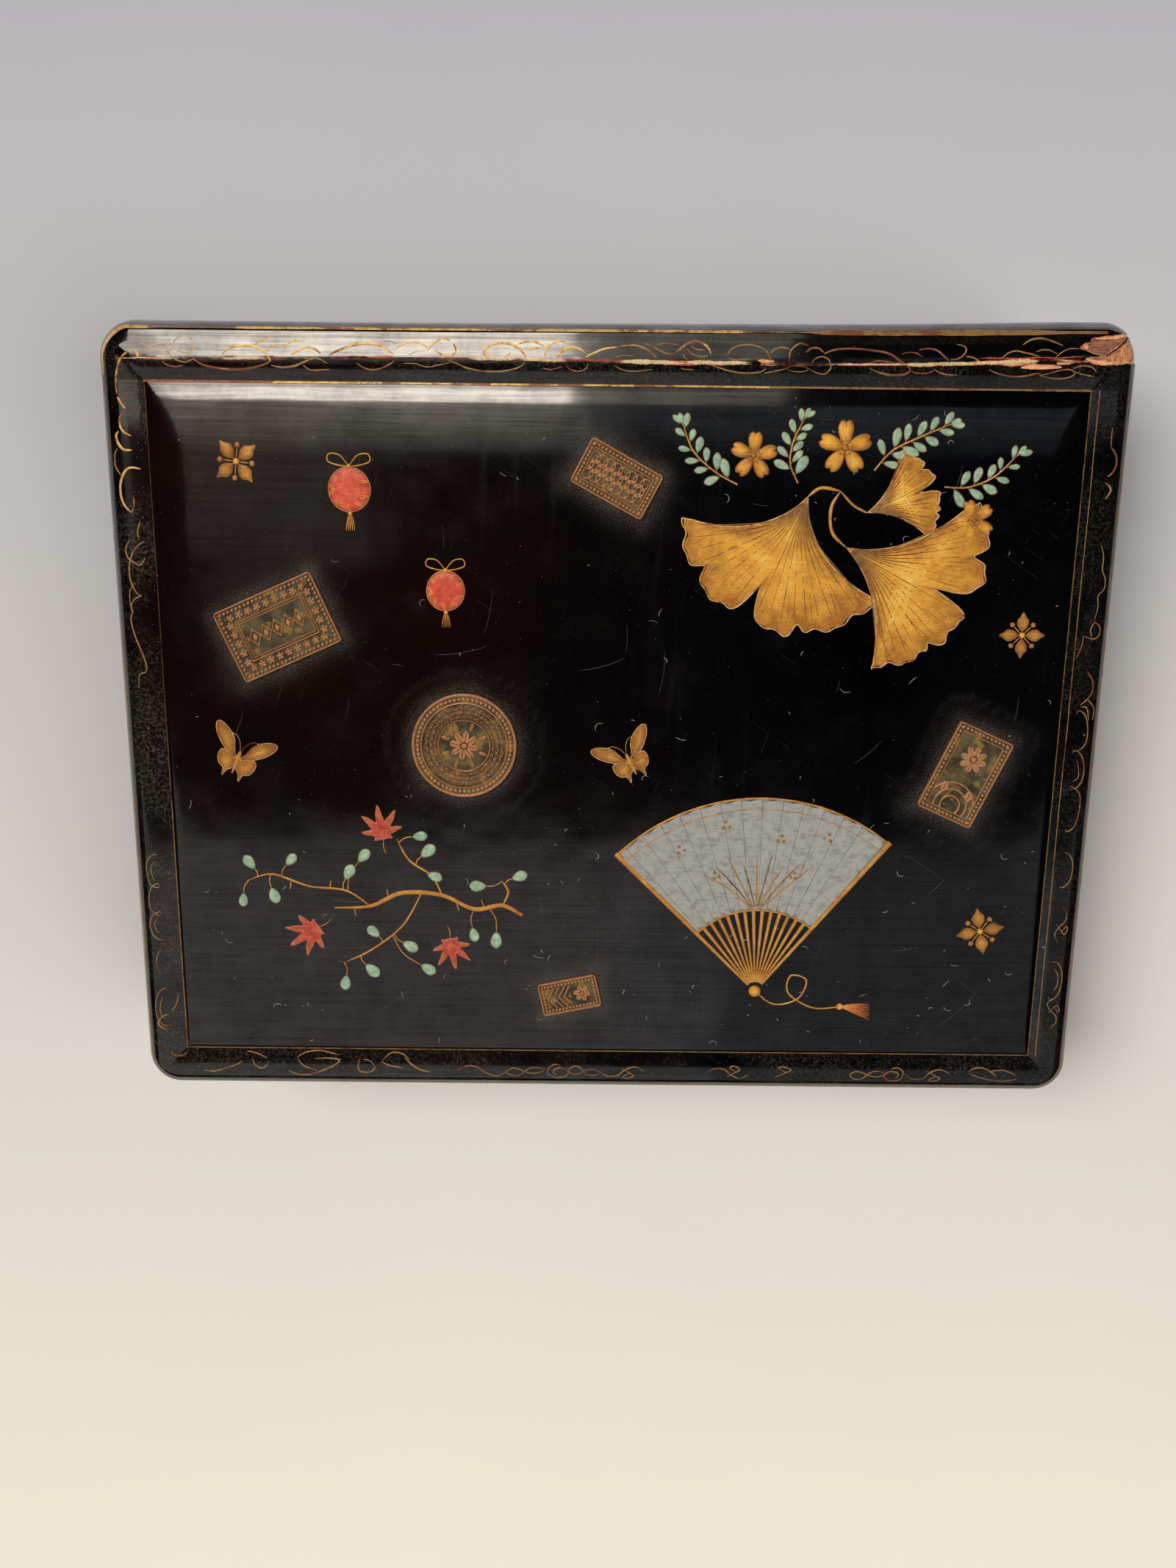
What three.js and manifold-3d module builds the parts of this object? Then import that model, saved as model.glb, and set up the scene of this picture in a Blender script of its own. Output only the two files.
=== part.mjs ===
// Lacquered writing box lying flat, ready for use.
// Millimetres, +Z up through the lid. Origin at the centre of the underside.
// X is the width, Y the depth, with the worn, split long edge of the lid at +Y.
// The box is a base with a thin standing lip, a flush lid with a cushion
// moulding round a low crowned panel, and lift-out trays with the utensils.
import * as THREE from 'three';
import { mergeVertices } from 'three/addons/utils/BufferGeometryUtils.js';
import Module from 'manifold-3d';

const wasm = await Module();
wasm.setup();

// ---- driving dimensions -------------------------------------------------
const WIDTH = 240;            // outside, along X
const DEPTH = 191;            // outside, along Y
const CORNER_R = 9;           // outside corner radius in plan
const FIT = 0.3;              // gap kept between pieces that touch

const BASE_TOP = 34.5;        // height of the base walls
const WALL_T = 5.9;           // base wall thickness
const BOTTOM_T = 3.5;         // base board thickness
const LIP_T = 1.8;            // standing lip that locates the lid
const LIP_TOP = 38.8;

const LID_RIM = BASE_TOP + FIT;   // lower edge of the lid sides
const LID_T = 5.6;            // lid side thickness, out to the split line
const CREST = 45.4;           // top of the cushion moulding
const CURVE_LOW = 38.4;       // where the moulding meets the upright rim
const BOARD_UNDER = 40.4;     // underside of the lid board
const PANEL_TOP = 46;         // flat of the crowned panel
const VALLEY_IN = 5.5;        // board edge to the gold line round the panel
const VALLEY_REAR = 9.7;      // the same along the rear, where the rail is broader
const VALLEY_Z = 44.5;

const RELIEF_SEAT = PANEL_TOP + 0.05;
const MEDALLION_R = 12.7;

const TRAY_W = 50;
const TRAY_D = 173.4;
const TRAY_H = 20;
const TRAY_T = 2;
const FLOOR_Z = BOTTOM_T + FIT;   // everything inside stands here

// ---- materials ----------------------------------------------------------
const mat = (color, roughness, metalness = 0) =>
  new THREE.MeshStandardMaterial({ color, roughness, metalness });
const M = {
  lacquer: mat(0x120d0c, 0.16),
  inner: mat(0x16100e, 0.3),
  relief: mat(0x8a6040, 0.42, 0.7),
  nashiji: mat(0x2a1a0e, 0.25),
  stone: mat(0x2f3236, 0.7),
  copper: mat(0x8c5a38, 0.35, 0.85),
  bamboo: mat(0xc29a58, 0.45),
  ferrule: mat(0x1a1412, 0.25),
  hair: mat(0xd9c8a4, 0.8),
  ink: mat(0x141416, 0.4),
  steel: mat(0xa9adb0, 0.3, 0.9),
};

const box = new THREE.Group();
function add(name, geometry, material, parent = box) {
  const mesh = new THREE.Mesh(geometry, material);
  mesh.name = name;
  parent.add(mesh);
  return mesh;
}

// ---- solids and booleans ------------------------------------------------
function solid(geometry) {
  const g = geometry.clone();
  g.deleteAttribute('normal');
  g.deleteAttribute('uv');
  const m = mergeVertices(g, 1e-4);
  return new wasm.Manifold(new wasm.Mesh({
    numProp: 3,
    vertProperties: new Float32Array(m.attributes.position.array),
    triVerts: new Uint32Array(m.index.array),
  }));
}
function geometryOf(manifold) {
  const mesh = manifold.getMesh();
  const g = new THREE.BufferGeometry();
  g.setAttribute('position', new THREE.BufferAttribute(new Float32Array(mesh.vertProperties), 3));
  g.setIndex(new THREE.BufferAttribute(new Uint32Array(mesh.triVerts), 1));
  return g;
}

// ---- plan shapes --------------------------------------------------------
function roundRect(w, d, r) {
  const s = new THREE.Shape();
  const x = w / 2, y = d / 2;
  s.moveTo(-x + r, -y);
  s.lineTo(x - r, -y);
  s.absarc(x - r, -y + r, r, -Math.PI / 2, 0, false);
  s.lineTo(x, y - r);
  s.absarc(x - r, y - r, r, 0, Math.PI / 2, false);
  s.lineTo(-x + r, y);
  s.absarc(-x + r, y - r, r, Math.PI / 2, Math.PI, false);
  s.lineTo(-x, -y + r);
  s.absarc(-x + r, -y + r, r, Math.PI, 1.5 * Math.PI, false);
  return s;
}
function plate(w, d, t, r, segments = 4) {
  return new THREE.ExtrudeGeometry(roundRect(w, d, r), {
    depth: t, bevelEnabled: false, curveSegments: segments,
  });
}
// a plate with its top and bottom edges eased
function easedPlate(w, d, t, r, ease, segments = 4) {
  const g = new THREE.ExtrudeGeometry(roundRect(w - 2 * ease, d - 2 * ease, Math.max(r - ease, 0.2)), {
    depth: t - 2 * ease, bevelEnabled: true, bevelThickness: ease, bevelSize: ease,
    bevelSegments: 2, curveSegments: segments,
  });
  g.translate(0, 0, ease);
  return g;
}

// A side board. The profile is a closed loop of [inset from the outside, z].
// It runs along +Y's side and turns half of each rounded corner, so four of
// them meet in mitres.
function sideBoard(halfLength, halfDepth, radius, profile, mitreGap) {
  const stations = [];
  const steps = 4;
  const first = Math.PI / 4 + mitreGap;
  for (let i = 0; i <= steps; i++) {
    stations.push([1, first + (Math.PI / 2 - first) * (i / steps)]);
  }
  for (let i = 0; i <= steps; i++) {
    stations.push([-1, Math.PI / 2 + (Math.PI / 2 - first) * (i / steps)]);
  }
  const pts = [];
  for (const [side, a] of stations) {
    const cx = side * (halfLength - radius), cy = halfDepth - radius;
    for (const [inset, z] of profile) {
      pts.push(cx + (radius - inset) * Math.cos(a), cy + (radius - inset) * Math.sin(a), z);
    }
  }
  const n = profile.length, index = [];
  for (let s = 0; s < stations.length - 1; s++) {
    for (let i = 0; i < n; i++) {
      const j = (i + 1) % n;
      const a = s * n + i, b = s * n + j, c = (s + 1) * n + i, d = (s + 1) * n + j;
      index.push(a, b, d, a, d, c);
    }
  }
  const loop = profile.map(([u, v]) => new THREE.Vector2(u, v));
  const caps = THREE.ShapeUtils.triangulateShape(loop, []);
  const last = (stations.length - 1) * n;
  for (const [a, b, c] of caps) {
    index.push(a, c, b);
    index.push(last + a, last + b, last + c);
  }
  const g = new THREE.BufferGeometry();
  g.setAttribute('position', new THREE.BufferAttribute(new Float32Array(pts), 3));
  g.setIndex(index);
  return outward(g);
}

// turns a closed indexed mesh inside out if its volume comes out negative
function outward(g) {
  const p = g.attributes.position, ix = g.index.array;
  const a = new THREE.Vector3(), b = new THREE.Vector3(), c = new THREE.Vector3();
  let v = 0;
  for (let i = 0; i < ix.length; i += 3) {
    a.fromBufferAttribute(p, ix[i]);
    b.fromBufferAttribute(p, ix[i + 1]);
    c.fromBufferAttribute(p, ix[i + 2]);
    v += a.dot(b.cross(c));
  }
  if (v < 0) {
    for (let i = 0; i < ix.length; i += 3) {
      const t = ix[i + 1]; ix[i + 1] = ix[i + 2]; ix[i + 2] = t;
    }
  }
  return g;
}

// A solid built of stacked closed rings with flat ends.
function rings(list) {
  const n = list[0].length, pts = [], index = [];
  for (const ring of list) for (const p of ring) pts.push(...p);
  for (let s = 0; s < list.length - 1; s++) {
    for (let i = 0; i < n; i++) {
      const j = (i + 1) % n;
      const a = s * n + i, b = s * n + j, c = a + n, d = b + n;
      index.push(a, b, d, a, d, c);
    }
  }
  const cap = (ring, base, flip) => {
    const tri = THREE.ShapeUtils.triangulateShape(ring.map((p) => new THREE.Vector2(p[0], p[1])), []);
    for (const [a, b, c] of tri) {
      if (flip) index.push(base + a, base + c, base + b);
      else index.push(base + a, base + b, base + c);
    }
  };
  cap(list[0], 0, true);
  cap(list[list.length - 1], (list.length - 1) * n, false);
  const g = new THREE.BufferGeometry();
  g.setAttribute('position', new THREE.BufferAttribute(new Float32Array(pts), 3));
  g.setIndex(index);
  return outward(g);
}
function rectRing(hx, hy, r, z, cy = 0, arc = 3) {
  const out = [];
  const corners = [[1, -1, -90], [1, 1, 0], [-1, 1, 90], [-1, -1, 180]];
  for (const [sx, sy, start] of corners) {
    for (let i = 0; i <= arc; i++) {
      const a = (start + 90 * (i / arc)) * Math.PI / 180;
      out.push([sx * (hx - r) + r * Math.cos(a), cy + sy * (hy - r) + r * Math.sin(a), z]);
    }
  }
  return out;
}

// ---- base ---------------------------------------------------------------
const wallProfile = [
  [WALL_T, 0], [WALL_T, BASE_TOP], [0.4, BASE_TOP], [0, BASE_TOP - 0.4], [0, 0.8], [0.8, 0],
];
const sides = [
  ['rear', 0, WIDTH / 2, DEPTH / 2],
  ['left', Math.PI / 2, DEPTH / 2, WIDTH / 2],
  ['front', Math.PI, WIDTH / 2, DEPTH / 2],
  ['right', -Math.PI / 2, DEPTH / 2, WIDTH / 2],
];
for (const [side, turn, halfLength, halfDepth] of sides) {
  const g = sideBoard(halfLength, halfDepth, CORNER_R, wallProfile, 0.025);
  add(`base_${side}_wall`, g, M.lacquer).rotation.z = turn;
}
const insideX = WIDTH / 2 - WALL_T, insideY = DEPTH / 2 - WALL_T;   // 114.1 by 89.6
add('base_bottom_board',
  plate(2 * (insideX - FIT), 2 * (insideY - FIT), BOTTOM_T, CORNER_R - WALL_T - FIT), M.inner);

const lipH = LIP_TOP - FLOOR_Z;
const lipX = insideX - FIT, lipY = insideY - FIT;                   // outer faces of the lip
for (const s of [1, -1]) {
  const long = new THREE.BoxGeometry(2 * lipX - 4, LIP_T, lipH);
  add(s > 0 ? 'rear_lip_strip' : 'front_lip_strip', long, M.inner)
    .position.set(0, s * (lipY - LIP_T / 2), FLOOR_Z + lipH / 2);
  const short = new THREE.BoxGeometry(LIP_T, 2 * (lipY - LIP_T - FIT), lipH);
  add(s > 0 ? 'right_lip_strip' : 'left_lip_strip', short, M.inner)
    .position.set(s * (lipX - LIP_T / 2), 0, FLOOR_Z + lipH / 2);
}

// ---- lid ----------------------------------------------------------------
const moulding = [[LID_T, LID_RIM], [LID_T, CREST]];
const arcSteps = 7;
for (let i = 1; i <= arcSteps; i++) {
  const a = (Math.PI / 2) * (i / arcSteps);
  moulding.push([LID_T - LID_T * Math.sin(a), CURVE_LOW + (CREST - CURVE_LOW) * Math.cos(a)]);
}
moulding.push([0, LID_RIM + 0.5], [0.5, LID_RIM]);
for (const [side, turn, halfLength, halfDepth] of sides) {
  const g = sideBoard(halfLength, halfDepth, CORNER_R, moulding, 0.025);
  add(`lid_${side}_moulding`, g, M.lacquer).rotation.z = turn;
}

const bx = WIDTH / 2 - LID_T - FIT, by = DEPTH / 2 - LID_T - FIT;   // lid board half sizes
const boardR = CORNER_R - LID_T - FIT;
// [inset from the board's edge, z, corner radius, how much further in along the rear]
const broad = VALLEY_REAR - VALLEY_IN;
const boardRings = [
  [0, BOARD_UNDER, boardR, 0], [0, CREST - 0.05, boardR, 0], [1.2, CREST - 0.1, 2, 0.8],
  [3.4, CREST - 0.4, 1, 0.7 * broad],
  [VALLEY_IN, VALLEY_Z, 0.4, broad], [VALLEY_IN + 0.8, VALLEY_Z + 0.7, 0.9, broad],
  [VALLEY_IN + 3, VALLEY_Z + 1.1, 2, broad], [VALLEY_IN + 6, VALLEY_Z + 1.35, 3, broad],
  [VALLEY_IN + 11, PANEL_TOP, 4, broad],
].map(([inset, z, r, rear]) => rectRing(bx - inset, by - inset - rear / 2, r, z, -rear / 2));
add('lid_top_board', rings(boardRings), M.lacquer);

// relief pieces set on the panel
const medallion = new THREE.LatheGeometry([
  [0, 0], [MEDALLION_R, 0], [MEDALLION_R, 0.7], [MEDALLION_R - 0.5, 1.05],
  [MEDALLION_R - 1.1, 1.05], [MEDALLION_R - 1.5, 0.75], [0, 0.75],
].map(([r, z]) => new THREE.Vector2(r, z)), 48);
medallion.rotateX(Math.PI / 2);
add('relief_medallion', medallion, M.relief).position.set(-36, -4, RELIEF_SEAT);
const tablets = [
  ['relief_tablet_large', 25.6, 17.9, -80, 24, 24],
  ['relief_tablet_tall', 23, 14.6, 86, -10, 66],
  ['relief_tablet_medium', 18.8, 11.3, 0, 59, -28],
  ['relief_tablet_small', 15, 8.6, -10, -68, 12],
];
for (const [name, w, d, x, y, turn] of tablets) {
  const m = add(name, easedPlate(w, d, 0.9, 0.9, 0.2, 3), M.relief);
  m.position.set(x, y, RELIEF_SEAT);
  m.rotation.z = turn * Math.PI / 180;
}

// ---- trays --------------------------------------------------------------
function tray(prefix, cx) {
  const g = new THREE.Group();
  g.position.set(cx, 0, FLOOR_Z);
  box.add(g);
  add(`${prefix}_floor`, plate(TRAY_W, TRAY_D, TRAY_T, 1.5, 3), M.nashiji, g);
  const h = TRAY_H - TRAY_T - FIT, z = TRAY_T + FIT + h / 2;
  for (const s of [1, -1]) {
    const long = new THREE.BoxGeometry(TRAY_T, TRAY_D, h);
    add(`${prefix}_${s > 0 ? 'right' : 'left'}_wall`, long, M.nashiji, g)
      .position.set(s * (TRAY_W / 2 - TRAY_T / 2), 0, z);
    const short = new THREE.BoxGeometry(TRAY_W - 2 * TRAY_T - 2 * FIT, TRAY_T, h);
    add(`${prefix}_${s > 0 ? 'rear' : 'front'}_wall`, short, M.nashiji, g)
      .position.set(0, s * (TRAY_D / 2 - TRAY_T / 2), z);
  }
  return g;
}
const TRAY_X = 86.2;
const toolTray = tray('tool_tray', -TRAY_X);
const brushTray = tray('brush_tray', TRAY_X);
const inTray = TRAY_T + FIT;      // resting height inside a tray

// ---- ink board, inkstone and water dropper ------------------------------
const BOARD_W = 120, BOARD_D = TRAY_D, BOARD_T = 6, POCKET = 1.2;
const STONE_W = 68, STONE_D = 106, STONE_T = 15, STONE_Y = -22;
const DROP_R = 17, DROP_Y = 55;
let board = solid(easedPlate(BOARD_W, BOARD_D, BOARD_T, 2, 0.6, 3));
const stonePocket = plate(STONE_W + 1, STONE_D + 1, 5, 4.5, 4);
stonePocket.translate(0, STONE_Y, BOARD_T - POCKET);
const dropPocket = new THREE.CylinderGeometry(DROP_R + 0.5, DROP_R + 0.5, 5, 40);
dropPocket.rotateX(Math.PI / 2);
dropPocket.translate(0, DROP_Y, BOARD_T - POCKET + 2.5);
board = board.subtract(solid(stonePocket)).subtract(solid(dropPocket));
const inkBoard = add('ink_board', geometryOf(board), M.nashiji);
inkBoard.position.z = FLOOR_Z;

const seat = FLOOR_Z + BOARD_T - POCKET + FIT;
let stone = solid(easedPlate(STONE_W, STONE_D, STONE_T, 4, 0.8, 5));
const well = easedPlate(STONE_W - 14, 24, 14, 7, 3, 6);       // deep well at the far end
well.translate(0, STONE_D / 2 - 19, STONE_T - 8.5);
const land = easedPlate(STONE_W - 14, STONE_D - 16, 8, 7, 1, 6);   // shallow grinding flat
land.translate(0, 0, STONE_T - 2.2);
stone = stone.subtract(solid(well)).subtract(solid(land));
add('inkstone', geometryOf(stone), M.stone).position.set(0, STONE_Y, seat);

// hollow round dropper, filled and poured through the pin hole in its crown
{
  const shell = solid(closedLathe([
    [1.3, 13.2], [1.3, 12], [5.8, 11.7], [10.6, 10.7], [14, 8.7], [15.7, 6.1], [15.2, 3], [12.4, 1.2], [0, 1.2],
  ], [
    [0, 0], [13, 0], [16.4, 2.6], [DROP_R, 6.2], [15, 9.6], [11, 11.9], [6, 12.9], [1.3, 13.2],
  ], 36));
  add('water_dropper', geometryOf(shell), M.copper).position.set(0, DROP_Y, seat);
}
// A vessel turned about Z: `inside` runs from the mouth down to the axis,
// `outside` from the axis back up to the mouth.
function closedLathe(inside, outside, segments) {
  const profile = [...outside, ...inside.slice(1)];
  const g = new THREE.LatheGeometry(profile.map(([r, z]) => new THREE.Vector2(r, z)), segments);
  g.rotateX(Math.PI / 2);
  g.deleteAttribute('normal');
  g.deleteAttribute('uv');
  const m = mergeVertices(g, 1e-4);
  const ix = [], src = m.index.array;
  for (let i = 0; i < src.length; i += 3) {
    if (src[i] !== src[i + 1] && src[i + 1] !== src[i + 2] && src[i] !== src[i + 2]) {
      ix.push(src[i], src[i + 1], src[i + 2]);
    }
  }
  m.setIndex(ix);
  return outward(m);
}

// ---- brushes ------------------------------------------------------------
function turned(points, segments = 20) {
  const g = new THREE.LatheGeometry(points.map(([r, y]) => new THREE.Vector2(r, y)), segments);
  return g;   // axis along +Y, open ends closed on the axis
}
function brush(name, x, length, r, flip) {
  const g = new THREE.Group();
  g.position.set(x, 0, inTray + r + 0.6);
  if (flip) g.rotation.z = Math.PI;
  brushTray.add(g);
  const y0 = -length / 2, cap = 12, tuft = 30;
  add(`${name}_shaft`, turned([[0, y0], [r - 0.5, y0], [r, y0 + 1], [r, y0 + length - cap - tuft - FIT], [0, y0 + length - cap - tuft - FIT]]), M.bamboo, g);
  const y1 = y0 + length - cap - tuft;
  add(`${name}_ferrule`, turned([[0, y1], [r + 0.2, y1], [r + 0.6, y1 + 2], [r + 0.6, y1 + cap - 1], [r + 0.1, y1 + cap - FIT], [0, y1 + cap - FIT]]), M.ferrule, g);
  const y2 = y1 + cap;
  add(`${name}_tuft`, turned([[0, y2], [r - 0.6, y2], [r, y2 + 7], [r - 0.4, y2 + 14], [r - 1.8, y2 + 22], [0.5, y2 + tuft - 0.5], [0, y2 + tuft]]), M.hair, g);
}
brush('large_brush', -11, 162, 4.6, false);
brush('small_brush', 6, 154, 3.4, false);

// ---- ink stick, paper knife and awl -------------------------------------
{
  const stick = add('ink_stick', easedPlate(15, 74, 9, 1.6, 0.8, 3), M.ink, toolTray);
  stick.position.set(-11.5, -40, inTray);
}
{
  const knife = new THREE.Group();
  knife.position.set(12.5, 0, inTray);
  toolTray.add(knife);
  const handle = easedPlate(11, 88, 6.5, 3, 1.4, 4);
  handle.translate(0, -32, 0);
  add('paper_knife_handle', handle, M.lacquer, knife);
  const s = new THREE.Shape();
  s.moveTo(-4.2, 12.4);
  s.lineTo(4.2, 12.4);
  s.lineTo(4.2, 60);
  s.quadraticCurveTo(3.2, 70, -4.2, 76);
  s.closePath();
  const blade = new THREE.ExtrudeGeometry(s, { depth: 1.2, bevelEnabled: false, curveSegments: 8 });
  blade.translate(0, 0, 2.6);
  add('paper_knife_blade', blade, M.steel, knife);
}
{
  const awl = new THREE.Group();
  awl.position.set(-11.5, 46, inTray + 4.2);
  toolTray.add(awl);
  add('awl_handle', turned([[0, -30], [3.2, -30], [4.1, -27], [3.4, -8], [4.0, 0], [2.6, 4], [0, 4]]), M.lacquer, awl);
  add('awl_spike', turned([[0, 4.3], [1.2, 4.3], [1.1, 14], [0.4, 33], [0, 35]], 10), M.steel, awl);
}

export default box;
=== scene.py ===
import math
import random

import bpy
import bmesh
import numpy as np
from mathutils import Matrix, Vector, noise


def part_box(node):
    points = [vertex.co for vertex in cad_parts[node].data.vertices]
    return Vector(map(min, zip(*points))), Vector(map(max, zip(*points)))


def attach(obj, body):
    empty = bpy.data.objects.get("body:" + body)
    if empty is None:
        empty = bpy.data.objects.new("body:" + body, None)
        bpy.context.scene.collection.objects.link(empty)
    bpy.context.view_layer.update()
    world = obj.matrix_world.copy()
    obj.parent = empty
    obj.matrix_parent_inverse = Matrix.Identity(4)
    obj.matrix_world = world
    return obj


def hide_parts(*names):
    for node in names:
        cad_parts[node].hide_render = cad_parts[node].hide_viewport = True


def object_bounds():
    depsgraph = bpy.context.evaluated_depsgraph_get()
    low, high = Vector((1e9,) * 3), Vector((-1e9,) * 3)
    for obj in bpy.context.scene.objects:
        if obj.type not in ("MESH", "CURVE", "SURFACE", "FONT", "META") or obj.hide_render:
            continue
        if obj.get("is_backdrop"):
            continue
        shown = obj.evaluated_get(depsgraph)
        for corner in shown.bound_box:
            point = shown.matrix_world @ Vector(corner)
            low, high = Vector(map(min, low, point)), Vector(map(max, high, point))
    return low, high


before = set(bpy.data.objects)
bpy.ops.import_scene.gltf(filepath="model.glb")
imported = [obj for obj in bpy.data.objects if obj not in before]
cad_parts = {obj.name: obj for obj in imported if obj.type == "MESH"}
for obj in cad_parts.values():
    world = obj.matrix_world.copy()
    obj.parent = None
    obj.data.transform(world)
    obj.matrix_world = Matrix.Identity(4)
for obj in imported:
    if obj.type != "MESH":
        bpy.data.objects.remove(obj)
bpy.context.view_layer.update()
MM = 0.001

# ---------------------------------------------------------------- sizes, mm
WIDTH, DEPTH, CORNER = 240.0, 191.0, 9.0
BASE_TOP, RIM, CREST, CURVE_LOW = 34.5, 34.8, 45.4, 38.4
SIDE_T = 5.6                     # lid side board, out to the joint line
BX, BY = 114.1, 89.6             # lid board half sizes
VX = 108.6                       # gold line round the panel, left and right
VF, VR = -84.1, 79.9             # the same, front and rear: the rear rail is the broadest
VC, VH = (VF + VR) / 2, (VR - VF) / 2
RAIL_W = 11.4                    # the other three rails
VALLEY_Z, PANEL_Z = 44.5, 46.0


def lerp(a, b, t):
    return a + (b - a) * t


def smooth(a, b, x):
    t = min(1.0, max(0.0, (x - a) / (b - a)))
    return t * t * (3 - 2 * t)


def steps(pts, x):
    if x <= pts[0][0]:
        return pts[0][1]
    for a, b in zip(pts, pts[1:]):
        if x <= b[0]:
            return lerp(a[1], b[1], (x - a[0]) / (b[0] - a[0]))
    return pts[-1][1]


def rear_dy(x):
    """How far the rear edge stands off its nominal line: sprung out towards the right end."""
    pts = [(-120, -1.66), (-45, -1.66), (10, -1.26), (61, -0.86), (92, -0.12), (110, 0.20), (120, 0.20)]
    return sum(steps(pts, x + o) for o in (-12, -8, -4, 0, 4, 8, 12)) / 7


def n1(x, seed=0.0):
    return noise.noise(Vector((x, seed * 7.31 + 0.37, seed * 3.7)))


def crack_y(x):
    """Centre line of the opened joint in the rear rail."""
    pts = [(-120, 84.4), (-106, 84.5), (-89, 84.55), (-60, 85.1), (-38, 85.2), (-13, 85.1), (23, 84.7), (44, 84.6),
           (70, 84.9), (87, 85.5), (100, 85.65), (107, 86.1), (120, 86.1)]
    y = sum(steps(pts, x + o) for o in (-3, 0, 3)) / 3
    k = 1 - smooth(104, 109, abs(x))
    return y + k * (0.16 * n1(x * 0.21, 21) + 0.09 * n1(x * 0.9, 22))


def n2(x, y, seed=0.0):
    return noise.noise(Vector((x, y, seed * 5.17 + 0.11)))


# ---------------------------------------------------------------- materials
def srgb(r, g, b):
    def f(c):
        c /= 255.0
        return c / 12.92 if c <= 0.04045 else ((c + 0.055) / 1.055) ** 2.4
    return (f(r), f(g), f(b), 1.0)


class Nodes:
    """A small helper round a material's node tree."""

    def __init__(self, name):
        self.mat = bpy.data.materials.new(name)
        self.mat.use_nodes = True
        self.t = self.mat.node_tree
        self.t.nodes.clear()
        self.out = self.new("ShaderNodeOutputMaterial")
        self.bsdf = self.new("ShaderNodeBsdfPrincipled")
        self.link(self.bsdf.outputs[0], self.out.inputs["Surface"])
        self.coord = self.new("ShaderNodeTexCoord")
        m = self.new("ShaderNodeMapping")
        m.inputs["Scale"].default_value = (1000, 1000, 1000)     # metres to mm
        self.link(self.coord.outputs["Object"], m.inputs["Vector"])
        self.mm = m.outputs[0]

    def new(self, kind, **props):
        n = self.t.nodes.new(kind)
        for k, v in props.items():
            setattr(n, k, v)
        return n

    def link(self, a, b):
        self.t.links.new(a, b)
        return b

    def put(self, socket, value):
        if isinstance(value, bpy.types.NodeSocket):
            self.link(value, socket)
        else:
            socket.default_value = value

    def set(self, **values):
        names = {"color": "Base Color", "rough": "Roughness", "metal": "Metallic", "ior": "IOR",
                 "coat": "Coat Weight", "coat_rough": "Coat Roughness", "coat_ior": "Coat IOR", "spec": "Specular IOR Level",
                 "sheen": "Sheen Weight", "normal": "Normal", "sss": "Subsurface Weight", "aniso": "Anisotropic"}
        for k, v in values.items():
            self.put(self.bsdf.inputs[names[k]], v)
        return self

    def mapped(self, scale, rotation=(0, 0, 0), location=(0, 0, 0)):
        m = self.new("ShaderNodeMapping")
        m.inputs["Scale"].default_value = scale
        m.inputs["Rotation"].default_value = rotation
        m.inputs["Location"].default_value = location
        self.link(self.mm, m.inputs["Vector"])
        return m.outputs[0]

    def noise(self, scale=1.0, detail=3.0, rough=0.55, stretch=None, distortion=0.0, location=(0, 0, 0), turn=0.0):
        n = self.new("ShaderNodeTexNoise")
        n.inputs["Scale"].default_value = scale
        n.inputs["Detail"].default_value = detail
        n.inputs["Roughness"].default_value = rough
        n.inputs["Distortion"].default_value = distortion
        v = self.mm
        if turn:
            r = self.new("ShaderNodeMapping")
            r.inputs["Rotation"].default_value = (0, 0, math.radians(turn))
            self.link(v, r.inputs["Vector"])
            v = r.outputs[0]
        k = self.new("ShaderNodeMapping")
        k.inputs["Scale"].default_value = stretch or (1, 1, 1)
        k.inputs["Location"].default_value = location
        self.link(v, k.inputs["Vector"])
        self.link(k.outputs[0], n.inputs["Vector"])
        return n.outputs[0]

    def voronoi(self, scale, feature="F1", stretch=None, randomness=1.0):
        n = self.new("ShaderNodeTexVoronoi", feature=feature)
        n.inputs["Scale"].default_value = scale
        n.inputs["Randomness"].default_value = randomness
        self.link(self.mapped(stretch or (1, 1, 1)), n.inputs["Vector"])
        return n

    def ramp(self, fac, stops, interpolation="LINEAR"):
        n = self.new("ShaderNodeValToRGB")
        cr = n.color_ramp
        cr.interpolation = interpolation
        while len(cr.elements) > 1:
            cr.elements.remove(cr.elements[-1])
        first = True
        for pos, col in stops:
            if not isinstance(col, (tuple, list)):
                col = (col, col, col, 1)
            if first:
                e = cr.elements[0]
                e.position = pos
                first = False
            else:
                e = cr.elements.new(pos)
            e.color = col
        self.link(fac, n.inputs[0])
        return n.outputs[0]

    def mix(self, fac, a, b, blend="MIX"):
        n = self.new("ShaderNodeMix", data_type="RGBA", blend_type=blend)
        self.put(n.inputs[0], fac)
        self.put(n.inputs[6], a)
        self.put(n.inputs[7], b)
        return n.outputs[2]

    def math(self, op, a, b=0.0, clamp=False, c=None):
        n = self.new("ShaderNodeMath", operation=op, use_clamp=clamp)
        self.put(n.inputs[0], a)
        self.put(n.inputs[1], b)
        if c is not None:
            self.put(n.inputs[2], c)
        return n.outputs[0]

    def range(self, value, a, b, c=0.0, d=1.0):
        n = self.new("ShaderNodeMapRange")
        n.clamp = True
        self.put(n.inputs[0], value)
        for i, v in enumerate((a, b, c, d)):
            n.inputs[i + 1].default_value = v
        return n.outputs[0]

    def attr(self, name):
        n = self.new("ShaderNodeAttribute", attribute_name=name)
        return n.outputs["Fac"]

    def xyz(self):
        n = self.new("ShaderNodeSeparateXYZ")
        self.link(self.mm, n.inputs[0])
        return n.outputs

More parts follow.
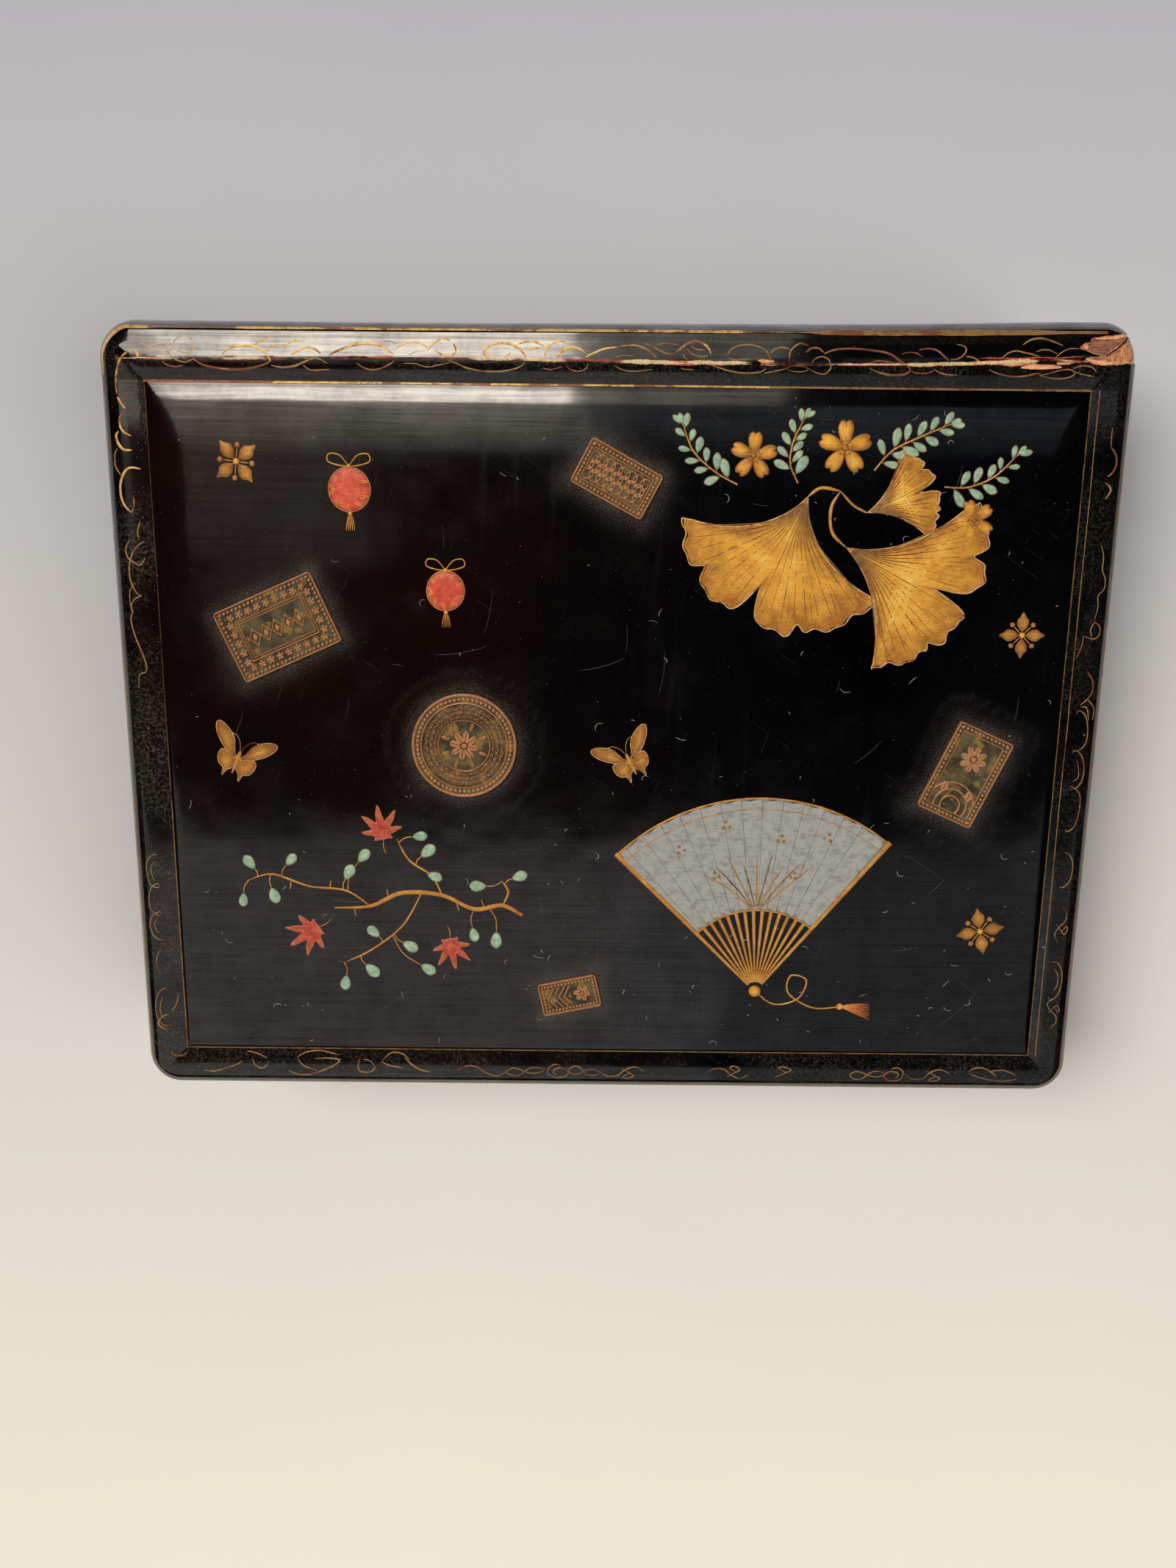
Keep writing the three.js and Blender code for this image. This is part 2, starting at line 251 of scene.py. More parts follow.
    def bump(self, height, strength=0.3, distance=0.1, normal=None):
        n = self.new("ShaderNodeBump")
        n.inputs["Strength"].default_value = strength
        n.inputs["Distance"].default_value = distance * MM
        self.link(height, n.inputs["Height"])
        if normal is not None:
            self.link(normal, n.inputs["Normal"])
        return n.outputs[0]


def specks(m, scale, size, keep, seed_shift=(0, 0, 0)):
    """Small dots: a mask of 1 on dots of radius about `size` mm, on the share `keep` of the cells."""
    v = m.new("ShaderNodeTexVoronoi", feature="F1")
    v.inputs["Scale"].default_value = scale
    m.link(m.mapped((1, 1, 1), location=seed_shift), v.inputs["Vector"])
    sep = m.new("ShaderNodeSeparateColor")
    m.link(v.outputs["Color"], sep.inputs[0])
    d = m.math("DIVIDE", v.outputs["Distance"], scale)
    radius = m.math("MULTIPLY", sep.outputs[1], size * 1.6)
    inside = m.math("LESS_THAN", d, radius)
    chosen = m.math("LESS_THAN", sep.outputs[0], keep)
    return m.math("MULTIPLY", inside, chosen)


def lacquer(name, brown=0.5, dust=0.5, halo=False, joint=False, chip=False, dull=0.0, polish=None):
    m = Nodes(name)
    x, y, z = m.xyz()
    big = m.noise(0.02, 3, 0.5)
    warm = m.mix(m.range(big, 0.35, 0.7), srgb(20, 7, 6), srgb(10, 6, 6))
    cool = m.mix(m.range(big, 0.3, 0.7), srgb(2, 2, 4), srgb(6, 6, 7))
    across = m.math("ADD", m.range(x, -110, 60), m.math("MULTIPLY", m.math("SUBTRACT", big, 0.5), 0.5))
    base = m.mix(m.range(across, 0.25 - 0.0, 0.85), warm, cool) if brown > 0.4 else m.mix(0.7, warm, cool)
    # rubbed, slightly grey patches
    rub = m.noise(0.08, 5, 0.62, stretch=(1, 1, 1), location=(31, 7, 3))
    base = m.mix(m.math("MULTIPLY", m.range(rub, 0.52, 0.78), 0.12 + 0.4 * dull), base, srgb(40, 35, 33))
    # fine dust
    field = m.range(m.noise(0.035, 3, 0.6, location=(5, 2, 9)), 0.34, 0.62)
    d1 = m.math("MULTIPLY", specks(m, 0.62, 0.11, 0.30), field)
    d2 = specks(m, 0.22, 0.17, 0.22, (13.7, 4.1, 2.2))
    d3 = m.math("MULTIPLY", specks(m, 1.5, 0.055, 0.35, (3.1, 8.4, 1.7)), field)
    dots = m.math("MAXIMUM", m.math("MAXIMUM", m.math("MULTIPLY", d1, 0.5), m.math("MULTIPLY", d2, 0.75)), m.math("MULTIPLY", d3, 0.35))
    dots = m.math("MULTIPLY", dots, dust, clamp=True)
    base = m.mix(dots, base, srgb(150, 142, 134))
    # streaks wiped down the panel and hairline scratches
    streak = m.noise(1.0, 3, 0.6, stretch=(0.30, 0.02, 0.3), location=(2, 5, 0), turn=4)
    smear = m.math("MULTIPLY", m.range(streak, 0.56, 0.8), m.range(m.noise(0.013, 2, 0.5, location=(9, 1, 4)), 0.45, 0.62))
    rough = m.math("ADD", m.range(rub, 0.3, 0.8, 0.09, 0.19), m.math("MULTIPLY", smear, 0.08))
    base = m.mix(m.math("MULTIPLY", smear, 0.045), base, srgb(70, 72, 80))
    scr = m.noise(1.0, 2, 0.5, stretch=(0.06, 3.0, 1), location=(0, 3, 0), distortion=0.5, turn=34)
    scr2 = m.noise(1.0, 2, 0.5, stretch=(2.6, 0.07, 1), location=(4, 1, 0), distortion=0.6, turn=19)
    scratch = m.math("MAXIMUM", m.range(scr, 0.71, 0.73), m.range(scr2, 0.72, 0.74))
    scratch = m.math("MULTIPLY", scratch, m.range(m.noise(0.05, 2, 0.5, location=(1, 8, 2)), 0.5, 0.66))
    base = m.mix(m.math("MULTIPLY", scratch, 0.12), base, srgb(120, 112, 106))
    if halo:
        h = m.attr("halo")
        grain = m.noise(2.3, 5, 0.85, location=(7, 7, 7))
        hz = m.math("MULTIPLY", h, m.range(grain, 0.42, 0.62))
        base = m.mix(m.math("MULTIPLY", hz, 0.60, clamp=True), base, srgb(106, 96, 86))
        rough = m.math("ADD", rough, m.math("MULTIPLY", h, 0.20))
    if dull or halo:
        grit = m.noise(1.4, 6, 0.8, location=(3, 3, 1))
        patch = m.range(m.noise(0.05, 4, 0.6, location=(8, 3, 6)), 0.36, 0.56)
        g = m.math("MULTIPLY", m.range(grit, 0.47, 0.66), patch)
        g = m.math("MULTIPLY", g, m.attr("grit") if halo else dull)
        tint = m.mix(m.range(m.noise(0.4, 4, 0.6, location=(1, 6, 6)), 0.4, 0.6), srgb(78, 74, 58), srgb(92, 82, 66))
        base = m.mix(m.math("MULTIPLY", g, 0.66), base, tint)
        rough = m.math("ADD", rough, m.math("MULTIPLY", g, 0.25))
        white = m.math("MULTIPLY", specks(m, 1.9, 0.075, 0.22, (7.1, 2.4, 4.7)), m.attr("grit") if halo else dull)
        base = m.mix(m.math("MULTIPLY", white, 0.5, clamp=True), base, srgb(160, 152, 140))
    metal = None
    height = m.math("ADD", m.math("MULTIPLY", m.noise(0.035, 2, 0.5, location=(2, 9, 1)), 1.4),
                    m.math("MULTIPLY", m.noise(0.35, 3, 0.5), 0.035))
    normal = m.bump(height, 0.55, 0.55)
    if joint:
        # lacquer flaked off along the opened joint, with the ground coats showing
        wob = m.math("MULTIPLY", m.math("SUBTRACT", m.noise(1.0, 4, 0.7, stretch=(0.75, 0.75, 0.2)), 0.5), 0.75)
        edge = m.math("ADD", m.math("ABSOLUTE", m.attr("off")), wob)
        width = m.attr("flake")
        mask = m.math("LESS_THAN", edge, width)
        seg = m.noise(1.0, 4, 0.65, stretch=(0.16, 0.4, 0.3), location=(12, 2, 0))
        col = m.ramp(seg, [(0.30, srgb(84, 36, 26)), (0.40, srgb(162, 66, 46)), (0.47, srgb(196, 144, 92)),
                           (0.56, srgb(222, 188, 132)), (0.66, srgb(186, 122, 78)), (0.76, srgb(126, 56, 40))])
        fine = m.noise(2.6, 4, 0.7)
        col = m.mix(m.range(fine, 0.35, 0.7, 0.0, 0.45), col, srgb(96, 62, 44))
        base = m.mix(mask, base, col)
        rough = m.mix(mask, rough, (0.75, 0.75, 0.75, 1))
        red = m.math("MULTIPLY", m.math("LESS_THAN", m.math("ABSOLUTE", m.math("SUBTRACT", edge, width)), 0.10),
                     m.math("GREATER_THAN", m.noise(1.0, 2, 0.5, stretch=(0.12, 0.1, 0.1), location=(1, 1, 5)), 0.5))
        base = m.mix(red, base, srgb(140, 52, 38))
        normal = m.bump(m.math("SUBTRACT", 1.0, mask), 0.7, 0.12, normal)
    if chip:
        c = m.attr("chip")                     # mm inside the broken area
        ragged = m.math("ADD", c, m.math("MULTIPLY", m.math("SUBTRACT", m.noise(1.0, 5, 0.75, stretch=(0.8, 1.5, 1)), 0.5), 1.3))
        mask = m.math("GREATER_THAN", ragged, 0.0)
        # the rear board's grain runs along the edge, the right one's across it
        grain = m.noise(1.0, 5, 0.65, stretch=(0.20, 3.4, 2.0), distortion=0.4)
        wood = m.ramp(grain, [(0.30, srgb(84, 42, 32)), (0.42, srgb(128, 70, 52)), (0.52, srgb(158, 100, 76)),
                              (0.62, srgb(186, 128, 98)), (0.74, srgb(112, 58, 44))])
        grain2 = m.noise(1.0, 5, 0.65, stretch=(2.6, 0.5, 2.0), location=(3, 9, 4), distortion=0.4)
        wood2 = m.ramp(grain2, [(0.32, srgb(150, 82, 46)), (0.46, srgb(196, 122, 72)), (0.58, srgb(222, 160, 104)), (0.72, srgb(170, 98, 58))])
        other = m.math("GREATER_THAN", m.math("SUBTRACT", m.math("MULTIPLY", m.math("SUBTRACT", x, 111.0), 0.754), m.math("SUBTRACT", y, 87.3)), 0.0)
        wood = m.mix(other, wood, wood2)
        dirt = m.noise(1.0, 5, 0.8, stretch=(0.8, 0.8, 0.8), location=(6, 6, 2))
        wood = m.mix(m.range(dirt, 0.50, 0.62, 0.0, 0.85), wood, srgb(66, 56, 50))
        rim = m.math("LESS_THAN", m.math("ABSOLUTE", ragged), 0.22)
        wood = m.mix(m.math("MULTIPLY", rim, 0.7), wood, srgb(206, 142, 96))
        base = m.mix(mask, base, wood)
        rough = m.mix(mask, rough, (0.82, 0.82, 0.82, 1))
        hh = m.math("ADD", m.math("MULTIPLY", m.math("SUBTRACT", 1.0, mask), 0.4), m.math("MULTIPLY", m.math("MULTIPLY", grain, mask), 0.6))
        normal = m.bump(hh, 0.8, 0.25, normal)
    brushed = m.noise(1.0, 4, 0.65, stretch=(0.035, 1.6, 1.0), location=(2, 3, 7))
    blot = m.noise(0.11, 4, 0.7, location=(12, 4, 3))
    gloss = m.math("ADD", m.math("MULTIPLY", brushed, 0.55), m.math("MULTIPLY", blot, 0.45))
    if polish:
        coat = m.math("MULTIPLY", m.range(gloss, 0.36, 0.62, 0.30, 1.0), m.attr("polish"))
    else:
        coat = m.range(gloss, 0.36, 0.62, 0.12, 0.50)
    m.set(color=base, rough=rough, normal=normal, ior=1.55, coat=coat, coat_rough=0.06, coat_ior=polish or 1.5,
          spec=m.range(gloss, 0.36, 0.62, 0.34, 0.60))
    return m.mat


def gold(name, bright=1.0, wear=0.5, red=0.4, metal=0.55, scale=1.0, tones=None):
    """Gold powder on lacquer, rubbed through in places."""
    m = Nodes(name)
    tone = m.noise(0.35 * scale, 4, 0.65)
    fine = m.noise(3.2, 4, 0.7)
    a = srgb(236, 196, 116) if bright > 0.8 else srgb(176, 134, 78)
    b = srgb(196, 134, 62) if bright > 0.8 else srgb(128, 88, 50)
    c = srgb(120, 62, 30) if bright > 0.8 else srgb(84, 52, 32)
    if tones:
        a, b, c = tones
    col = m.ramp(tone, [(0.34, b), (0.5, a), (0.66, b)])
    col = m.mix(m.range(fine, 0.4, 0.75, 0.0, 0.5), col, c)
    worn = m.noise(1.0, 4, 0.6, stretch=(0.11, 0.11, 0.3), location=(4, 9, 2))
    speck = m.noise(1.0, 4, 0.75, stretch=(1.6, 1.6, 1.6), location=(1, 5, 2))
    wmask = m.math("ADD", worn, m.math("MULTIPLY", m.math("SUBTRACT", speck, 0.5), 0.35))
    col = m.mix(m.range(wmask, 0.60 - 0.16 * red, 0.64 - 0.16 * red, 0.0, 0.9), col, srgb(126, 64, 44))
    gone = m.range(wmask, 0.80 - 0.2 * wear, 0.82 - 0.2 * wear)
    col = m.mix(gone, col, srgb(26, 16, 12))
    inv = m.math("SUBTRACT", 1.0, gone)
    m.set(color=col, metal=m.math("MULTIPLY", inv, metal), rough=m.range(fine, 0.3, 0.7, 0.32, 0.5),
          normal=m.bump(fine, 0.35, 0.05))
    return m.mat


def painted_gold(name, light, mid, dark, metal=0.45, line=False):
    """The broad gold areas: brushed powder that shades to brown, with a tone attribute towards the edges."""
    m = Nodes(name)
    tone = m.attr("tone")
    n = m.noise(0.22, 5, 0.6, location=(2, 1, 1))
    fine = m.noise(2.4, 5, 0.75)
    brush = m.noise(1.0, 4, 0.6, stretch=(0.5, 2.2, 1), distortion=0.4)
    f = m.math("ADD", m.math("MULTIPLY", tone, 0.55), m.math("MULTIPLY", n, 0.75))
    f = m.math("ADD", f, m.math("MULTIPLY", m.math("SUBTRACT", brush, 0.5), 0.35))
    col = m.ramp(f, [(0.28, light), (0.52, mid), (0.86, dark)])
    col = m.mix(m.range(fine, 0.52, 0.74, 0.0, 0.55), col, dark)
    powder = m.noise(5.5, 3, 0.8, location=(8, 2, 2))
    col = m.mix(m.range(powder, 0.50, 0.66, 0.0, 0.45), col, srgb(122, 66, 20))
    col = m.mix(m.range(powder, 0.46, 0.34, 0.0, 0.35), col, srgb(255, 226, 140))
    col = m.mix(m.range(m.noise(1.1, 5, 0.8, location=(5, 5, 5)), 0.64, 0.72, 0.0, 0.8), col, srgb(96, 52, 24))
    m.set(color=col, metal=metal, rough=m.range(fine, 0.3, 0.7, 0.36, 0.55), normal=m.bump(fine, 0.4, 0.06))
    return m.mat


def pigment(name, light, mid, dark, edge, rough=0.5, streaks=0.3):
    m = Nodes(name)
    tone = m.attr("tone")
    n = m.noise(0.5, 5, 0.65)
    st = m.noise(1.0, 4, 0.6, stretch=(0.35, 1.9, 1), distortion=0.6)
    f = m.math("ADD", m.math("MULTIPLY", n, 0.7), m.math("MULTIPLY", st, streaks))
    col = m.ramp(f, [(0.32, dark), (0.5, mid), (0.66, light)])
    col = m.mix(m.range(tone, 0.72, 1.0, 0.0, 0.8), col, edge)
    worn = m.noise(1.7, 5, 0.8, location=(3, 2, 8))
    col = m.mix(m.range(worn, 0.66, 0.71, 0.0, 0.75), col, srgb(46, 34, 28))
    m.set(color=col, rough=rough, normal=m.bump(m.noise(1.5, 4, 0.7), 0.35, 0.08), coat=0.2, coat_rough=0.2)
    return m.mat


def relief_metal(name):
    m = Nodes(name)
    h = m.attr("relief")
    n = m.noise(0.22, 4, 0.6)
    fine = m.noise(2.2, 5, 0.75)
    ground = m.mix(m.range(n, 0.4, 0.62), srgb(46, 40, 28), srgb(88, 76, 48))
    ground = m.mix(m.range(m.noise(0.35, 3, 0.5, location=(4, 4, 4)), 0.56, 0.68, 0.0, 0.8), ground, srgb(140, 106, 44))
    raised = m.mix(m.range(fine, 0.35, 0.7), srgb(204, 144, 96), srgb(138, 90, 58))
    k = m.range(m.math("ADD", h, m.math("MULTIPLY", m.math("SUBTRACT", fine, 0.5), 0.25)), 0.16, 0.55)
    col = m.mix(k, ground, raised)
    col = m.mix(m.range(m.noise(0.6, 5, 0.7, location=(9, 1, 3)), 0.60, 0.72, 0.0, 0.6), col, srgb(60, 52, 42))
    m.set(color=col, metal=m.math("MULTIPLY", k, 0.35), rough=m.range(fine, 0.3, 0.7, 0.34, 0.56),
          normal=m.bump(fine, 0.5, 0.06))
    return m.mat


def gold_fleck(name, dark=srgb(30, 16, 10), mid=srgb(58, 30, 14), amount=0.5):
    """Brown-black lacquer with sprinkled gold flakes under the top coat."""
    m = Nodes(name)
    base = m.mix(m.range(m.noise(0.05, 4, 0.6), 0.35, 0.65), dark, mid)
    f1 = specks(m, 1.1, 0.24, amount)
    f2 = specks(m, 2.3, 0.13, amount * 1.2, (4, 2, 9))
    f3 = specks(m, 0.5, 0.34, amount * 0.4, (1, 12, 3))
    f = m.math("MAXIMUM", m.math("MAXIMUM", f1, m.math("MULTIPLY", f2, 0.7)), f3)
    flake = m.mix(m.noise(0.9, 2, 0.5), srgb(216, 160, 72), srgb(150, 92, 34))
    base = m.mix(m.math("MULTIPLY", f, 0.85), base, flake)
    rub = m.noise(0.25, 5, 0.7, location=(4, 2, 1))
    m.set(color=base, metal=m.math("MULTIPLY", f, 0.7), rough=m.range(rub, 0.3, 0.75, 0.2, 0.38), coat=0.5, coat_rough=0.12,
          normal=m.bump(m.noise(0.5, 3, 0.5), 0.25, 0.1))
    return m.mat


MAT = {}


def build_materials():
    MAT["panel"] = lacquer("lacquer_panel", brown=0.8, dust=0.75, halo=True, joint=True, chip=True, dull=0.0, polish=2.2)
    MAT["rear"] = lacquer("lacquer_rear", brown=0.3, dust=0.55, chip=True, dull=0.2, polish=2.8)
    MAT["left"] = lacquer("lacquer_left", brown=0.3, dust=0.6, dull=0.75)
    MAT["front"] = lacquer("lacquer_front", brown=0.3, dust=0.35, dull=0.5)
    MAT["right"] = lacquer("lacquer_right", brown=0.3, dust=0.45, dull=0.4, chip=True)
    MAT["wall"] = lacquer("lacquer_wall", brown=0.3, dust=0.3, dull=0.25)
    MAT["inner"] = gold_fleck("lacquer_inner", srgb(12, 9, 8), srgb(22, 13, 9), 0.22)
    MAT["fleck"] = gold_fleck("lacquer_fleck", srgb(34, 17, 9), srgb(66, 34, 15), 0.6)
    MAT["gold_line"] = gold("gold_line", 1.0, 0.3, 0.6, metal=0.35)
    MAT["gold_scroll"] = gold("gold_scroll", 1.0, 0.4, 0.45, metal=0.35, scale=1.3)
    MAT["gold_dull"] = gold("gold_dull", 0.5, 0.6, 0.2, metal=0.35)
    MAT["gold_art"] = painted_gold("gold_art", srgb(255, 212, 100), srgb(236, 168, 56), srgb(164, 98, 26), metal=0.22)
    MAT["gold_deep"] = painted_gold("gold_deep", srgb(222, 166, 76), srgb(184, 118, 44), srgb(108, 62, 22), metal=0.28)
    MAT["gold_bronze"] = gold("gold_bronze", 0.7, 0.3, 0.4, metal=0.3, scale=1.3)
    MAT["gold_pale"] = gold("gold_pale", 0.6, 0.35, 0.3, metal=0.3, scale=1.3, tones=(srgb(214, 176, 140), srgb(176, 138, 104), srgb(110, 84, 66)))
    MAT["gold_copper"] = gold("gold_copper", 0.5, 0.5, 0.5, metal=0.3, tones=(srgb(176, 106, 78), srgb(124, 66, 46), srgb(70, 36, 28)))
    MAT["gold_brass"] = gold("gold_brass", 0.6, 0.35, 0.3, metal=0.3, tones=(srgb(170, 126, 72), srgb(128, 90, 48), srgb(76, 50, 30)))
    MAT["gold_vein"] = gold("gold_vein", 1.0, 0.1, 0.1, metal=0.3)
    MAT["gold_brown"] = gold("gold_brown", 0.5, 0.25, 0.3, metal=0.45)
    MAT["green"] = pigment("green", srgb(178, 196, 160), srgb(140, 166, 136), srgb(98, 132, 112), srgb(66, 100, 88))
    MAT["red"] = pigment("red", srgb(198, 96, 74), srgb(172, 66, 50), srgb(118, 42, 34), srgb(204, 120, 94))
    MAT["vermilion"] = pigment("vermilion", srgb(220, 104, 74), srgb(200, 74, 52), srgb(156, 48, 38), srgb(120, 38, 30))
    MAT["slate_blue"] = pigment("slate_blue", srgb(156, 154, 146), srgb(130, 132, 126), srgb(96, 101, 100), srgb(86, 86, 82), streaks=0.55)
    MAT["relief"] = relief_metal("relief_copper")

    m = Nodes("slate")
    n = m.noise(0.6, 6, 0.7)
    x, y, z = m.xyz()
    # darker towards the bottom by height: near black at and below about 19 mm up, fading out by about 25 mm, in the
    # well and down the stone's lower sides alike
    darker_low = m.range(m.math("ADD", z, m.math("MULTIPLY", m.noise(0.25, 4, 0.6), 4.0)), 19, 25, 1.0, 0.0)
    col = m.mix(m.range(n, 0.35, 0.7), srgb(62, 66, 72), srgb(86, 88, 92))
    col = m.mix(m.math("MULTIPLY", darker_low, 0.85), col, srgb(14, 14, 17))
    col = m.mix(m.range(m.voronoi(0.9).outputs["Distance"], 0.0, 0.12, 0.35, 0.0), col, srgb(150, 148, 140))
    m.set(color=col, rough=m.range(n, 0.3, 0.7, 0.5, 0.72), normal=m.bump(n, 0.4, 0.15))
    MAT["slate"] = m.mat

    m = Nodes("dropper_copper")
    n = m.noise(0.18, 5, 0.65)
    ham = m.voronoi(0.34, "SMOOTH_F1").outputs["Distance"]
    col = m.ramp(n, [(0.3, srgb(70, 38, 26)), (0.5, srgb(140, 78, 50)), (0.7, srgb(176, 112, 74))])
    col = m.mix(m.range(m.noise(0.5, 5, 0.8, location=(2, 7, 1)), 0.62, 0.72, 0.0, 0.5), col, srgb(72, 104, 88))
    m.set(color=col, metal=0.85, rough=m.range(n, 0.3, 0.7, 0.3, 0.45), normal=m.bump(ham, 0.5, 0.5))
    MAT["copper"] = m.mat

    m = Nodes("bamboo")
    st = m.noise(1.0, 5, 0.6, stretch=(2.4, 0.05, 2.4))
    node = m.attr("node")
    col = m.ramp(st, [(0.3, srgb(168, 122, 66)), (0.5, srgb(206, 164, 98)), (0.7, srgb(222, 188, 124))])
    col = m.mix(m.range(m.noise(0.12, 4, 0.6), 0.45, 0.7, 0.0, 0.5), col, srgb(140, 88, 44))
    col = m.mix(node, col, srgb(92, 56, 28))
    m.set(color=col, rough=0.34, coat=0.4, coat_rough=0.15, normal=m.bump(st, 0.25, 0.08))
    MAT["bamboo"] = m.mat

    m = Nodes("horn")
    st = m.noise(1.0, 4, 0.6, stretch=(1.5, 0.12, 1.5))
    m.set(color=m.ramp(st, [(0.35, srgb(16, 11, 9)), (0.6, srgb(40, 26, 20)), (0.8, srgb(84, 58, 42))]), rough=0.22, coat=0.3,
          coat_rough=0.1, normal=m.bump(st, 0.1, 0.05))
    MAT["horn"] = m.mat

    m = Nodes("brush_hair")
    st = m.noise(1.0, 5, 0.7, stretch=(5.0, 0.12, 5.0))
    ink = m.math("ADD", m.attr("tip"), m.math("MULTIPLY", m.math("SUBTRACT", st, 0.5), 0.35))
    col = m.ramp(st, [(0.3, srgb(150, 118, 78)), (0.5, srgb(206, 182, 140)), (0.7, srgb(232, 216, 182))])
    col = m.mix(m.range(ink, 0.42, 0.66), col, srgb(20, 19, 22))
    m.set(color=col, rough=0.62, sheen=0.3, normal=m.bump(st, 0.8, 0.25))
    MAT["hair"] = m.mat

    m = Nodes("ink_cake")
    n = m.noise(0.8, 5, 0.7)
    m.set(color=m.mix(m.range(n, 0.35, 0.7), srgb(20, 20, 24), srgb(36, 35, 38)), rough=m.range(n, 0.3, 0.7, 0.34, 0.5),
          normal=m.bump(n, 0.3, 0.1))
    MAT["ink"] = m.mat

    m = Nodes("tool_steel")
    st = m.noise(1.0, 4, 0.6, stretch=(0.25, 4.0, 1.0))
    rust = m.noise(0.4, 6, 0.75, location=(3, 8, 1))
    col = m.mix(m.range(st, 0.3, 0.7), srgb(150, 152, 154), srgb(190, 190, 190))
    col = m.mix(m.range(rust, 0.58, 0.72, 0.0, 0.8), col, srgb(104, 66, 44))
    m.set(color=col, metal=m.range(rust, 0.58, 0.72, 0.95, 0.2), rough=m.range(rust, 0.4, 0.72, 0.26, 0.7), normal=m.bump(st, 0.2, 0.04))
    MAT["steel"] = m.mat

    m = Nodes("raw_wood")
    grain = m.noise(1.0, 5, 0.6, stretch=(0.18, 2.8, 2.8), distortion=0.4)
    col = m.ramp(grain, [(0.28, srgb(88, 44, 30)), (0.45, srgb(150, 84, 56)), (0.6, srgb(204, 140, 94)), (0.75, srgb(132, 70, 46))])
    m.set(color=col, rough=0.82, normal=m.bump(grain, 0.7, 0.3))
    MAT["wood"] = m.mat

    m = Nodes("pale_wood")
    grain = m.noise(1.0, 5, 0.7, stretch=(0.4, 2.6, 2.6), distortion=0.5)
    m.set(color=m.ramp(grain, [(0.3, srgb(172, 98, 62)), (0.46, srgb(224, 150, 108)), (0.62, srgb(238, 184, 140)), (0.76, srgb(190, 112, 74))]), rough=0.8,
          normal=m.bump(grain, 0.5, 0.2))
    MAT["peach"] = m.mat

    m = Nodes("joint_filler")
    grain = m.noise(1.4, 5, 0.75, distortion=0.3)
    m.set(color=m.ramp(grain, [(0.32, srgb(150, 110, 72)), (0.45, srgb(206, 172, 122)), (0.6, srgb(230, 202, 156)), (0.74, srgb(164, 92, 60))]), rough=0.85,
          normal=m.bump(grain, 0.7, 0.2))
    MAT["filler"] = m.mat

    m = Nodes("red_ground_coat")
    grain = m.noise(1.2, 4, 0.7)
    m.set(color=m.mix(m.range(grain, 0.35, 0.65), srgb(150, 46, 30), srgb(196, 84, 56)), rough=0.6)
    MAT["red_coat"] = m.mat

    m = Nodes("lint")
    m.set(color=m.mix(m.noise(0.5, 2, 0.5), srgb(205, 200, 192), srgb(150, 146, 140)), rough=0.8)
    MAT["lint"] = m.mat

    m = Nodes("scratch_mark")
    m.set(color=m.mix(m.noise(0.8, 3, 0.6), srgb(86, 82, 80), srgb(48, 44, 44)), rough=0.45)
    MAT["scratch"] = m.mat

    # dark brown for the split lines, and for the sheet in the opened joint that stands in for its shadow (painted
    # shadow)
    m = Nodes("crack_line_and_painted_shadow")
    m.set(color=m.mix(m.noise(0.7, 4, 0.7, stretch=(0.3, 2, 2)), srgb(24, 12, 9), srgb(60, 26, 18)), rough=0.9)
    MAT["crack"] = m.mat

    # the floor: a pale table top, lighter and warmer towards the front, darker and greyer towards the rear, partly a
    # grey backdrop cloth's own colour and partly painted shade
    m = Nodes("floor")
    x, y, z = m.xyz()
    col = m.ramp(m.range(y, -290, 180), [(0.0, srgb(238, 231, 214)), (0.45, srgb(214, 209, 203)), (1.0, srgb(178, 177, 184))])
    col = m.mix(m.range(m.noise(0.006, 4, 0.55), 0.3, 0.7, 0.0, 0.12), col, srgb(206, 204, 200))
    m.set(color=col, rough=0.62, spec=0.1, normal=m.bump(m.noise(0.25, 4, 0.6), 0.12, 0.2))
    MAT["floor"] = m.mat


build_materials()


# ---------------------------------------------------------------- mesh making
class Bag:
    """Collects closed shapes, in mm, into one object."""

    def __init__(self):
        self.v, self.f, self.a = [], [], {}
        self.names = set()
        self.mi = []

    def add(self, verts, faces, attrs=None, mat=0):
        base = len(self.v)
        self.v.extend(verts)
        self.f.extend([tuple(i + base for i in f) for f in faces])
        self.mi.extend([mat] * len(faces))
        for k, vals in (attrs or {}).items():
            lst = self.a.setdefault(k, [0.0] * base)
            lst.extend([0.0] * (base - len(lst)))
            lst.extend(vals)
        for k in self.a:
            self.a[k].extend([0.0] * (len(self.v) - len(self.a[k])))

    def make(self, name, mats, body, replaces=(), slot=None, smooth_angle=40):
        me = bpy.data.meshes.new(name)
        me.from_pydata([(p[0] * MM, p[1] * MM, p[2] * MM) for p in self.v], [], self.f)
        for k, vals in self.a.items():
            at = me.attributes.new(k, "FLOAT", "POINT")
            at.data.foreach_set("value", np.array(vals, np.float32))
        me.polygons.foreach_set("use_smooth", [True] * len(me.polygons))
        if not isinstance(mats, (list, tuple)):
            mats = [mats]
        for mm in mats:
            me.materials.append(mm)
        if len(mats) > 1:
            me.polygons.foreach_set("material_index", self.mi)
        me.update()
        me.validate()
        bm = bmesh.new()
        bm.from_mesh(me)
        bmesh.ops.recalc_face_normals(bm, faces=bm.faces)
        bm.to_mesh(me)
        bm.free()
        if smooth_angle is not None:
            me.set_sharp_from_angle(angle=math.radians(smooth_angle))
        ob = bpy.data.objects.new(name, me)
        bpy.context.scene.collection.objects.link(ob)
        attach(ob, body)
        if replaces:
            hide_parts(*([replaces] if isinstance(replaces, str) else replaces))
        return ob


PILLOW = [(0.0, 0.0), (0.35, 0.30), (0.8, 0.60), (1.5, 0.82), (2.6, 0.98), (4.0, 1.12), (6.0, 1.25), (8.5, 1.37), (11.5, 1.47), (15.0, 1.53)]


